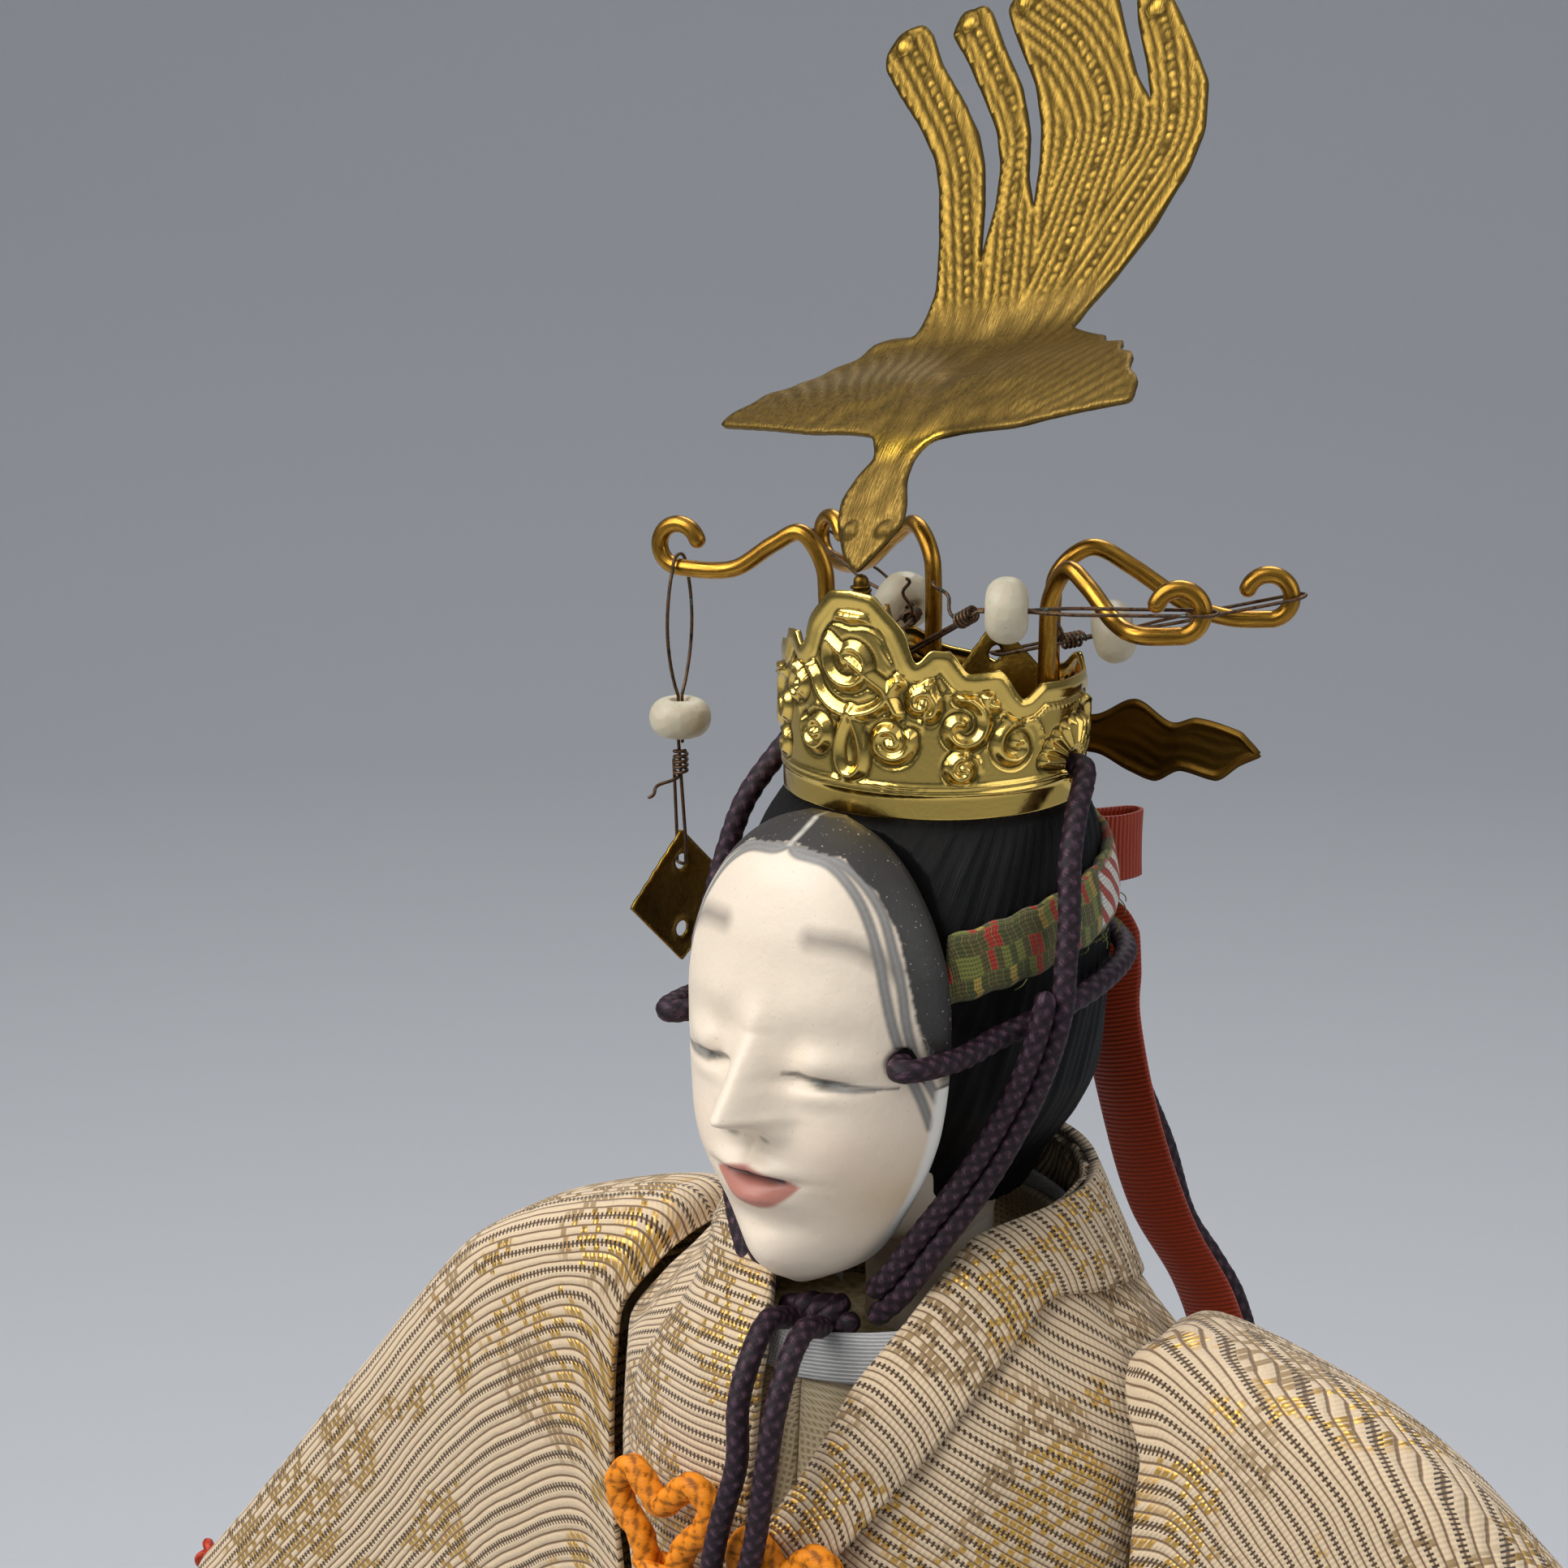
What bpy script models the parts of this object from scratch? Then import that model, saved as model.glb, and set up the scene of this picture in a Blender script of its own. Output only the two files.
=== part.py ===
"""A Noh dancer doll: a masked heavenly maiden with a brass phoenix crown, standing on a lacquered base.

Metres, +Z up. The origin is the centre of the base's underside and the doll faces -Y.
The doll's right is -X, so its left is +X. Angles round the figure run from the front towards +X.
"""

import math

import bmesh
import bpy
import numpy as np
from mathutils import Matrix, Vector
from mathutils.geometry import delaunay_2d_cdt

# Clearances and segment counts
GAP = 0.0003
OVERRUN = 0.004
WELD = 0.00001
ROUND_STEPS = 20
CORNER_STEPS = 4
FOOT_STEPS = 10
UP = Vector((0, 0, 1))

# Height of the chin and half width of the dressed head, which most other sizes are shares of
CHIN_HEIGHT = 0.300
HEAD_HALF = 0.0164

# Base board
BASE_WIDTH = 0.200
BASE_DEPTH = 0.160
BASE_HEIGHT = 0.022
BASE_CORNER = 0.008
BASE_PLINTH = 0.007
BASE_STEP = 0.005
BASE_EDGE = 0.0015
PEG_HOLE_DEPTH = 0.012

# Legs and feet
LEG_SPREAD = 0.013
LEG_ROD = 0.002
FOOT_LENGTH = 0.042
FOOT_WIDTH = 0.0165
FOOT_HEIGHT = 0.012
ANKLE = 0.0062
SHIN = 0.0072
SHIN_TOP = 0.23 * CHIN_HEIGHT
FOOT_SECTION_shares = (
    (-0.62, 0.20, 0.28),
    (-0.58, 0.42, 0.62),
    (-0.40, 0.50, 0.78),
    (-0.15, 0.44, 0.98),
    (0.10, 0.40, 1.25),
    (0.30, 0.36, 1.10),
    (0.38, 0.22, 0.70),
)

# Stuffed body: height, half width, front depth and back depth of its sections
CORE_BOTTOM = 0.2333 * CHIN_HEIGHT
CORE_TOP = 0.9633 * CHIN_HEIGHT
CORE_HALF_WIDTH = 1.6463 * HEAD_HALF
CORE_SHOULDER = 0.9333 * CHIN_HEIGHT
CORE_SHOULDER_INSET = 0.0060
CORE_SECTION_shares = (
    (0.233, 1.00, 0.81, 0.74),
    (0.400, 1.00, 0.81, 0.74),
    (0.533, 0.99, 0.80, 0.73),
    (0.650, 0.93, 0.75, 0.65),
    (0.752, 0.895, 0.712, 0.567),
)
LEG_BORE_DEPTH = 0.025

# Outermost surface of the dressed torso: height, half width, front depth, back depth
CHEST = 2.0427 * HEAD_HALF
TORSO_SECTION_shares = (
    (0.367, 1.36, 1.15, 1.06),
    (0.500, 1.26, 1.05, 0.96),
    (0.633, 1.10, 0.92, 0.83),
    (0.700, 1.00, 0.83, 0.73),
    (0.753, 0.90, 0.76, 0.63),
    (0.833, 0.94, 0.79, 0.62),
    (0.907, 1.00, 0.82, 0.60),
    (0.947, 0.985, 0.80, 0.56),
    (0.967, 0.86, 0.785, 0.53),
    (0.980, 0.745, 0.74, 0.50),
    (0.993, 0.65, 0.66, 0.475),
    (1.007, 0.575, 0.545, 0.45),
    (1.023, 0.52, 0.44, 0.43),
)
TORSO_SLOPE_STEP = 0.01 * CHIN_HEIGHT
CLOTH = 0.0008
COLLAR_CLOTH = 0.0010
SASH_CLOTH = 0.0006
INNER_COLLAR_CLOTH = 0.0005
COLLAR_INSET = 0.0004
ROBE_INSET = COLLAR_INSET + COLLAR_CLOTH + GAP
SASH_INSET = ROBE_INSET + CLOTH + 3 * GAP
INNER_COLLAR_INSET = SASH_INSET + INNER_COLLAR_CLOTH
INNER_ROBE_INSET = INNER_COLLAR_INSET + INNER_COLLAR_CLOTH + GAP
CORE_INSET = INNER_ROBE_INSET + 2 * CLOTH + 3 * GAP

# Skirt: height, half width, front depth, back depth of its outer face
SKIRT_TOP = 0.7533 * CHIN_HEIGHT
SKIRT_HEM = 0.12 * CHIN_HEIGHT
SKIRT_HEM_HALF_WIDTH = 1.358 * CHEST
SKIRT_SECTION_shares = (
    (0.120, 1.00, 0.87, 0.83),
    (0.200, 0.95, 0.82, 0.78),
    (0.333, 0.83, 0.70, 0.655),
    (0.500, 0.73, 0.62, 0.565),
    (0.633, 0.645, 0.535, 0.475),
    (0.700, 0.590, 0.475, 0.410),
    (0.753, 0.560, 0.452, 0.362),
)
SKIRT_FOLD = 0.0026
SKIRT_FOLDS = 10
SKIRT_ROWS = 5
SKIRT_COLUMNS = 36

# Robes
INNER_ROBE_HEM = 0.7583 * CHIN_HEIGHT
INNER_ROBE_NECK = 1.0017 * CHIN_HEIGHT
ROBE_HEM = 0.4267 * CHIN_HEIGHT
ROBE_NECK = 1.0183 * CHIN_HEIGHT
ROBE_FOLD = 0.0016
ROBE_FOLDS = 6
ROBE_FOLD_TOP = 0.7167 * CHIN_HEIGHT
ROBE_COLUMNS = 21
INNER_COLUMNS = 19
# Heights of the cloth's rows, closer together over the shoulders
CLOTH_ROW_shares = (0.500, 0.633, 0.753, 0.833, 0.907, 0.947, 0.967, 0.980, 0.993, 1.007)
SASH_BOTTOM = 0.73 * CHIN_HEIGHT
SASH_TOP = 0.7767 * CHIN_HEIGHT
ARMHOLE = 0.0085
ARMHOLE_Y = 0.0045
ARMHOLE_RISE = 0.0025

# Collars: (angle in degrees, height) down each edge from the nape to the hem
COLLAR_NAPE = 1.0217 * CHIN_HEIGHT
COLLAR_WIDTH = 0.0102
COLLAR_LEFT_degrees = (180, 150, 120, 95, 70, 45, 24, 12, 5, 3, 3, 3)
COLLAR_RIGHT_degrees = (180, 150, 120, 95, 72, 50, 33, 22, 13, 6, 5, 5)
COLLAR_HEIGHT_shares = (1.0, 0.998, 0.99, 0.982, 0.972, 0.958, 0.938, 0.905, 0.85, 0.72, 0.57, 0.425)
COLLAR_LEFT_WIDTH_degrees = (0, 0, 0, 0, 2, 6, 13, 18, 19, 20, 18, 16)
COLLAR_RIGHT_WIDTH_degrees = (0, 0, 0, 0, 2, 7, 14, 22, 25, 25, 22, 18)
COLLAR_DROP_shares = (1.0, 1.0, 0.82, 0.62, 0.55, 0.5, 0.4, 0.2, 0.1, 0.0, 0.0, 0.0)
INNER_COLLAR_NAPE = 1.0073 * CHIN_HEIGHT
INNER_COLLAR_degrees = (180, 140, 105, 80, 58, 38, 20, 6)
INNER_COLLAR_HEIGHT_shares = (1.0, 0.997, 0.99, 0.98, 0.967, 0.95, 0.93, 0.905)
INNER_COLLAR_DROP = 0.0050
COLLAR_COVER_degrees = 6

# Sleeves
CUFF_X = 0.092
CUFF_TOP_RIGHT = 0.795 * CHIN_HEIGHT
CUFF_TOP_LEFT = 0.8633 * CHIN_HEIGHT
SLEEVE_HEM_RIGHT = 0.4 * CHIN_HEIGHT
SLEEVE_HEM_LEFT = 0.4467 * CHIN_HEIGHT
SLEEVE_TOP = 0.9733 * CHIN_HEIGHT
SLEEVE_SEAM_DEPTH = 0.0150
SLEEVE_POINTS = 14
SLEEVE_STATIONS = 7
SLEEVE_FOLD = 0.0022
SLEEVE_FOLDS = 2.5
SLEEVE_FORWARD = 0.0030
SLEEVE_INSET = 0.0007
SLEEVE_FLARE = 0.0080
SLEEVE_KNOT = 0.0022
SLEEVE_KEY_PLACE_shares = (0.0, 0.12, 0.3, 0.62, 1.0)
# top x share of the cuff's x, rise of the top as a share of the slope, bottom x share, depth shares
SLEEVE_KEY_shares = (
    (0.00, 0.00, 0.00, 1.00, 0.40),
    (0.08, -0.05, 0.05, 0.97, 0.38),
    (0.24, 0.02, 0.16, 0.90, 0.36),
    (0.60, 0.46, 0.60, 0.66, 0.32),
    (1.00, 1.00, 1.00, 0.52, 0.24),
)

# Arms and hands
ARM_WIRE = 0.0012
ARM_PADDING = 0.0031
SHOULDER_HEIGHT = 0.93 * CHIN_HEIGHT
ARM_DROP = 0.1833 * CHIN_HEIGHT
ARM_DEPTH = 0.0100
ARM_STEPS = 33
ARM_PADDING_START = 0.8806 * CHEST
WRIST_X = 0.913 * CUFF_X
HAND_GAP = 0.0010
# across, back and up shares along each arm, and the share of the left arm's extra height
ARM_ROUTE_shares = (
    (0.00, 0.90, 0.00, 0.0),
    (0.22, 0.80, 0.04, 0.0),
    (0.35, 0.40, 0.05, 0.0),
    (0.49, 0.00, -0.06, 0.15),
    (0.70, -0.18, -0.45, 0.55),
    (0.91, -0.26, -0.95, 1.0),
    (1.06, -0.30, -1.22, 1.0),
)
HAND_LENGTH = 0.0200
HAND_WIDTH = 0.0085
HAND_THICKNESS = 0.0044
HAND_SECTION_shares = (
    (0.00, 0.50, 0.80),
    (0.12, 0.56, 0.84),
    (0.32, 0.98, 1.00),
    (0.52, 1.00, 0.88),
    (0.76, 0.82, 0.62),
    (0.94, 0.58, 0.44),
    (1.00, 0.34, 0.26),
)
THUMB_LENGTH = 0.0085
THUMB = 0.0013

# Head, hair and neck
HEAD_YAW = math.radians(-4)
HEAD_STEPS = 18
HEAD_ROWS = 8
HEAD_HALF_WIDTH = 0.7927 * HEAD_HALF
HEAD_FRONT = 1.372 * HEAD_HALF
HEAD_BACK = 0.8049 * HEAD_HALF
HEAD_BOTTOM = CHIN_HEIGHT - 0.0915 * HEAD_HALF
HEAD_TOP = CHIN_HEIGHT + 2.3476 * HEAD_HALF
NECK = 0.0062
NECK_BOTTOM = CHIN_HEIGHT - 1.3415 * HEAD_HALF
PEG = 0.0020
PEG_LENGTH = 0.0240
HEAD_SECTION_shares = (
    (0.00, 0.46, 0.30, 0.44),
    (0.08, 0.52, 0.62, 0.50),
    (0.22, 0.68, 0.86, 0.66),
    (0.42, 0.88, 0.99, 0.86),
    (0.62, 0.96, 1.00, 0.96),
    (0.80, 0.90, 0.90, 0.90),
    (0.92, 0.70, 0.72, 0.72),
    (1.00, 0.38, 0.40, 0.40),
)
HAIR_HALF_WIDTH = HEAD_HALF
HAIR_FRONT = 1.25 * HEAD_HALF
HAIR_BACK = 1.0488 * HEAD_HALF
HAIR_BOTTOM = CHIN_HEIGHT + 0.1829 * HEAD_HALF
HAIR_TOP = CHIN_HEIGHT + 2.6829 * HEAD_HALF
HAIR_FACE_PLANE = 0.8415 * HEAD_HALF
HAIR_STEPS = 22
HAIR_SECTION_shares = (
    (0.00, 0.55, 0.50, 0.60),
    (0.10, 0.68, 0.64, 0.74),
    (0.20, 0.85, 0.80, 0.87),
    (0.31, 0.96, 0.92, 0.96),
    (0.52, 1.00, 1.00, 1.00),
    (0.70, 0.985, 0.98, 0.985),
    (0.84, 0.93, 0.88, 0.93),
    (0.925, 0.860, 0.70, 0.84),
    (0.945, 0.790, 0.62, 0.75),
    (0.975, 0.62, 0.50, 0.60),
    (1.00, 0.30, 0.25, 0.30),
)

# Mask: half widths by height, and depth in front of the rim plane
MASK_BOTTOM = CHIN_HEIGHT - 0.0854 * HEAD_HALF
MASK_TOP = CHIN_HEIGHT + 2.5854 * HEAD_HALF
MASK_HALF_WIDTH = 0.8537 * HEAD_HALF
MASK_RIM_PLANE = 0.872 * HEAD_HALF
MASK_DEPTH = 0.5915 * HEAD_HALF
MASK_EDGE = 0.0020
MASK_WALL = 0.0015
MASK_ROWS = 17
MASK_COLUMNS = 11
MASK_CROWDING_share = 0.4
MASK_DEPTH_shares = (
    (0.00, 0.42),
    (0.04, 0.66),
    (0.09, 0.78),
    (0.18, 0.87),
    (0.30, 0.96),
    (0.45, 1.00),
    (0.62, 1.00),
    (0.76, 0.95),
    (0.87, 0.80),
    (0.94, 0.60),
    (1.00, 0.12),
)
MASK_WIDTH_shares = (
    (0.00, 0.13),
    (0.03, 0.30),
    (0.08, 0.47),
    (0.17, 0.66),
    (0.28, 0.84),
    (0.38, 0.94),
    (0.50, 0.99),
    (0.60, 1.00),
    (0.70, 0.97),
    (0.79, 0.88),
    (0.87, 0.74),
    (0.93, 0.58),
    (0.97, 0.40),
    (1.00, 0.14),
)
NOSE_LENGTH = 0.0072
NOSE_RISE = 0.0062
NOSE_WIDTH = 0.0026
NOSE_TIP_Z = CHIN_HEIGHT + 1.0488 * HEAD_HALF
NOSE_UNDER = 0.0013
NOSE_RIDGE_share = 0.55
BRIDGE_share = 0.2
LIP_Z = CHIN_HEIGHT + 0.5976 * HEAD_HALF
LIP_RISE = 0.0022
LIP_WIDTH = 0.0035
CHIN_Z = CHIN_HEIGHT + 0.1220 * HEAD_HALF
CHIN_RISE = 0.0013
EYE_Z = CHIN_HEIGHT + 1.2927 * HEAD_HALF
EYE_OFFSET = 0.0064
EYE_SINK = 0.0011
CHEEK_RISE = 0.0011
MASK_CORD_HOLE = 0.0014
MASK_CORD_HOLE_Z = CHIN_HEIGHT + 1.3659 * HEAD_HALF
MASK_HOLE_share = 0.88

# Headband, ribbon and cords
BAND_WIDTH = 0.0065
BAND_THICKNESS = 0.0006
BAND_FRONT_Z = CHIN_HEIGHT + 1.7988 * HEAD_HALF
BAND_BACK_Z = CHIN_HEIGHT + 2.1341 * HEAD_HALF
BAND_FRONT_degrees = 52
BAND_COLUMNS = 25
RIBBON_WIDTH = 0.0068
RIBBON_THICKNESS = 0.0005
RIBBON_LOOP = 0.0060
RIBBON_Z = CHIN_HEIGHT + 1.9207 * HEAD_HALF
RIBBON_KNOT = 0.0042
LOOP_POINTS = 18
TAIL_POINTS = 22
RIBBON_LOOP_shares = (
    (0.0, 0.0), (0.45, 0.15), (0.85, 0.55), (0.95, 1.0), (0.70, 1.12), (0.40, 0.80), (0.10, 0.42),
)
CORD = 0.00105
PIPED_CORD = 0.0013

# Crown
CROWN_BASE = CHIN_HEIGHT + 2.5610 * HEAD_HALF
CROWN_RADIUS = 0.8537 * HEAD_HALF
CROWN_WALL = 0.0005
CROWN_LINE_HEIGHT = 0.1929 * CROWN_RADIUS
CROWN_LINE = 0.0003
CROWN_FOOT_shares = (0, 0.75, 1, 1.25)
CROWN_RELIEF = 0.0007
CROWN_RELIEF_BOTTOM = 0.2857 * CROWN_RADIUS
CROWN_HOLE = 0.0015
CROWN_HOLE_HEIGHT = 0.2286 * CROWN_RADIUS
CROWN_HOLE_degrees = 97
CROWN_COLUMNS = 36
CROWN_ROWS = 4
CROWN_CREST = 1.2561 * HEAD_HALF
CLOUD_LINE = 0.0009
# Angle from the front, height share and radius share of each scroll
CLOUD_shares = (
    (0, 0.62, 0.20), (0, 0.66, 0.30), (20, 0.40, 0.13), (42, 0.44, 0.15), (66, 0.34, 0.10),
    (90, 0.36, 0.12), (116, 0.34, 0.12), (142, 0.36, 0.12), (166, 0.28, 0.08),
)
# Height of the top edge as a share of the crest, by angle from the front
CROWN_EDGE_shares = (
    (0, 1.000),
    (8, 0.990),
    (15, 0.920),
    (21, 0.840),
    (26, 0.705),
    (32, 0.760),
    (38, 0.755),
    (46, 0.655),
    (57, 0.660),
    (68, 0.520),
    (78, 0.575),
    (95, 0.560),
    (112, 0.555),
    (123, 0.500),
    (137, 0.570),
    (152, 0.480),
    (165, 0.450),
    (180, 0.380),
)
LEAF_PLANE = 0.9146 * HEAD_HALF
LEAF_LENGTH = 1.0671 * HEAD_HALF
LEAF_THICKNESS = 0.0005
LEAF_X = 0.5061 * HEAD_HALF
LEAF_OUTLINE_shares = (
    (-0.50, 0.200),
    (0.00, 0.257),
    (0.257, 0.377),
    (0.486, 0.280),
    (0.634, 0.326),
    (0.880, 0.291),
    (1.017, 0.171),
    (0.743, -0.006),
    (0.543, 0.017),
    (0.371, -0.063),
    (0.217, -0.029),
    (0.00, 0.040),
    (-0.50, 0.040),
)

# Crown arms and pendants
ARM_ROD = 0.00082
EYE_RADIUS = 0.0021
EYE_degrees = (-90, 160)
EYE_POINTS = 10
ARM_POINTS = 22
ARM_FOOT = 0.3214 * CROWN_RADIUS
ARM_STEM = 0.7857 * CROWN_RADIUS
ARM_ARCH = 0.4286 * CROWN_RADIUS
ARM_ARCH_shares = ((0.04, 0.62), (0.22, 1.0), (0.45, 0.72), (0.75, 0.20))
PENDANT_LENGTH = 0.0148
STRADDLE = 0.6286 * CROWN_RADIUS
LOOP_BEND_share = 0.3
PENDANT_WIRE = 0.00017
BEAD_RADIUS = 0.0030
BEAD_HEIGHT = 0.0038
BEAD_BORE = 0.00085
PLATE_SIDE = 0.0095
PLATE_THICKNESS = 0.0003
PLATE_HOLE = 0.0008
PLATE_HOLE_INSET = 0.0033
DROP_WIRE = 0.0145

# Phoenix
PHOENIX_THICKNESS = 0.0006
PHOENIX_ROLL = math.radians(12)
PHOENIX_STEM = 0.0009
PHOENIX_LENGTH = 0.0660
PHOENIX_FOOT_Y = -0.9286 * CROWN_RADIUS
PHOENIX_FOOT_Z = CROWN_BASE + 1.068 * CROWN_CREST
PHOENIX_BODY_RISE = 0.0016
PHOENIX_BODY_WIDTH = 0.0035
PHOENIX_SWELL_share = 0.6
PHOENIX_SNAP = 0.0115 * PHOENIX_LENGTH
PHOENIX_STEP = 0.0500 * PHOENIX_LENGTH
PHOENIX_CLEAR = 0.0160 * PHOENIX_LENGTH
PHOENIX_COLUMNS = 9
PHOENIX_STEM_Y = -0.8786 * CROWN_RADIUS
# Steps of the folded centre line, back and up, as shares of the length
PHOENIX_LINE_shares = (
    (0.000, 0.000),
    (0.052, 0.080),
    (0.129, 0.169),
    (0.218, 0.237),
    (0.358, 0.290),
    (0.456, 0.485),
    (0.556, 0.683),
    (0.640, 0.850),
)

# The outline of the flat stamping, from the beak round by the left wing, the tail and the right wing
PHOENIX_OUTLINE_shares = (
    (0.000, 0.000), (0.027, 0.032), (0.052, 0.065), (0.048, 0.095), (0.029, 0.144),
    (0.027, 0.182), (0.039, 0.206), (0.080, 0.205), (0.174, 0.202), (0.235, 0.211),
    (0.295, 0.217), (0.350, 0.220), (0.342, 0.262), (0.317, 0.282), (0.308, 0.317),
    (0.279, 0.327), (0.270, 0.359), (0.233, 0.368), (0.217, 0.400), (0.185, 0.418),
    (0.130, 0.452), (0.141, 0.486), (0.179, 0.541), (0.215, 0.595), (0.252, 0.673),
    (0.261, 0.730), (0.245, 0.805), (0.200, 0.873), (0.156, 0.936), (0.124, 0.968),
    (0.089, 0.956), (0.103, 0.914), (0.136, 0.848), (0.161, 0.786), (0.121, 0.836),
    (0.082, 0.909), (0.052, 0.968), (0.000, 0.994), (-0.061, 1.003), (-0.127, 1.003),
    (-0.136, 0.980), (-0.103, 0.927), (-0.048, 0.848), (-0.018, 0.780), (-0.003, 0.720),
    (0.006, 0.652), (-0.020, 0.706), (-0.038, 0.776), (-0.074, 0.852), (-0.126, 0.923),
    (-0.162, 0.979), (-0.176, 0.995), (-0.217, 0.991), (-0.226, 0.958), (-0.186, 0.912),
    (-0.130, 0.836), (-0.095, 0.785), (-0.071, 0.726), (-0.062, 0.667), (-0.068, 0.583),
    (-0.085, 0.673), (-0.105, 0.739), (-0.132, 0.792), (-0.173, 0.847), (-0.232, 0.915),
    (-0.265, 0.968), (-0.283, 0.985), (-0.323, 0.979), (-0.339, 0.948), (-0.333, 0.923),
    (-0.294, 0.876), (-0.239, 0.817), (-0.194, 0.758), (-0.170, 0.705), (-0.148, 0.626),
    (-0.133, 0.550), (-0.138, 0.508), (-0.145, 0.479), (-0.185, 0.483), (-0.218, 0.476),
    (-0.227, 0.448), (-0.262, 0.433), (-0.270, 0.403), (-0.291, 0.388), (-0.294, 0.365),
    (-0.326, 0.353), (-0.330, 0.327), (-0.358, 0.309), (-0.367, 0.283), (-0.265, 0.261),
    (-0.183, 0.241), (-0.123, 0.233), (-0.061, 0.221), (-0.039, 0.185), (-0.055, 0.155),
    (-0.067, 0.115), (-0.058, 0.077), (-0.030, 0.029),
)

# Crown arms, in radii of the crown from its base edge's middle: the stem's foot and the end loop's middle
# on the left side, turn of the loop in degrees, then the resting bead and the plate's hole, and a hanging
# plate's face
PENDANT_shares = {
    "front_right": {
        "side": -1,
        "stem": (0.8643, 0.0000),
        "eye": (1.9643, -0.1786, 1.4000),
        "turn": -8,
        "bead": None,
        "hole": None,
        "face": (0.98, -0.19, 0),
    },
    "front_left": {
        "side": 1,
        "stem": (0.8643, 0.0000),
        "eye": (1.9429, -0.2143, 1.4286),
        "turn": 28,
        "bead": (1.0000, -0.7286, 1.4143),
        "hole": (0.0000, -0.5143, 0.9143),
        "face": None,
    },
    "back_left": {
        "side": 1,
        "stem": (0.4714, 0.7143),
        "eye": (1.7500, 1.3571, 1.2286),
        "turn": 26.7,
        "bead": (0.8357, 0.9000, 0.9571),
        "hole": (0.4286, 0.0714, 0.9143),
        "face": None,
    },
    "back_right": {
        "side": -1,
        "stem": (0.4714, 0.7143),
        "eye": (1.7500, 1.3571, 1.2286),
        "turn": 26.7,
        "bead": (-0.8357, 0.9000, 0.9571),
        "hole": (-0.4286, 0.0714, 0.9143),
        "face": None,
    },
}

# Routes of the cords, point by point, in half widths of the head from the chin
MASK_CORD_FRONT_shares = (
    (0.8598, -1.3354, 1.3659), (0.9085, -1.1707, 1.3598), (0.9329, -0.9268, 1.3598),
)
MASK_CORD_ROUTE_shares = (
    (1.3963, 60),
    (1.4756, 75),
    (1.5488, 95),
    (1.5732, 125),
    (1.5610, 155),
    (1.5549, 180),
    (1.5610, 205),
    (1.5732, 235),
    (1.5488, 265),
    (1.4756, 285),
    (1.3963, 300),
)
CROWN_CORD_ROUTE_shares = (
    (0.7866, 0.0976, 2.7561), (0.9390, 0.0854, 2.7500), (1.0244, -0.1341, 2.5610),
    (1.0976, -0.3171, 2.3354), (1.1585, -0.4146, 2.0427), (1.1829, -0.4817, 1.8293),
    (1.2012, -0.5610, 1.5244), (1.1159, -0.6220, 1.1585), (0.9878, -0.7195, 0.8049),
    (0.8598, -0.8293, 0.5183), (0.6951, -0.9878, 0.2134), (0.5366, -1.0854, -0.0610),
    (0.3780, -1.0976, -0.2317),
)
CHIN_KNOT_shares = (0.0000, -1.1341, -0.3049)
CHIN_KNOT_RADII_shares = (4.38, 2.29, 2.48)
BACK_KNOT_shares = (0.0000, 1.3598, 1.5488)
BACK_KNOT_RADII_shares = (2.38, 2.19, 2.29)
FREE_CORDS_shares = {
    "chin_tail_right": (
        (-0.0976, -1.3110, -0.2927), (-0.0610, -1.5366, -0.2195), (-0.0244, -1.7439, -0.3171),
        (-0.0122, -1.9024, -0.5793), (0.0122, -1.9573, -0.9146), (-0.1159, -1.9634, -1.3720),
        (-0.2012, -1.9512, -1.8293), (-0.2805, -1.8780, -2.5610), (-0.3415, -1.8171, -3.4146),
        (-0.3780, -1.7805, -4.2683), (-0.4024, -1.8049, -5.1220), (-0.4268, -1.8902, -5.9756),
    ),
    "chin_tail_left": (
        (0.1341, -1.3110, -0.2927), (0.1829, -1.5366, -0.2195), (0.2195, -1.7439, -0.3171),
        (0.2317, -1.9024, -0.5793), (0.2073, -1.9573, -0.9146), (0.1341, -1.9634, -1.3720),
        (0.0244, -1.9512, -1.8293), (-0.0244, -1.8780, -2.5610), (-0.0732, -1.8171, -3.4146),
        (-0.1220, -1.7927, -4.2683), (-0.1585, -1.8171, -5.0000), (-0.1829, -1.8659, -5.5488),
    ),
    "mask_tail_right": (
        (-0.0732, 1.3598, 1.3659), (0.0244, 1.3902, 1.1707), (0.2866, 1.3780, 0.9451),
        (0.4024, 1.3841, 0.5183), (0.6220, 1.3902, 0.0488), (0.7561, 1.4024, -0.3659),
        (0.9512, 1.4390, -0.6463), (1.0915, 1.4817, -0.9024), (1.1951, 1.5244, -1.2805),
        (1.2561, 1.5488, -1.8293), (1.2805, 1.5610, -2.5610), (1.2805, 1.5671, -3.2927),
    ),
    "mask_tail_left": (
        (0.0976, 1.3598, 1.3720), (0.2439, 1.3902, 1.2195), (0.4756, 1.3780, 1.0061),
        (0.5854, 1.3841, 0.5427), (0.7927, 1.3902, 0.1098), (0.9390, 1.4024, -0.3049),
        (1.1159, 1.4390, -0.5610), (1.2622, 1.4817, -0.8171), (1.3780, 1.5244, -1.2561),
        (1.4390, 1.5488, -1.8293), (1.4512, 1.5610, -2.5610), (1.4512, 1.5671, -3.0488),
    ),
}
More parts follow.
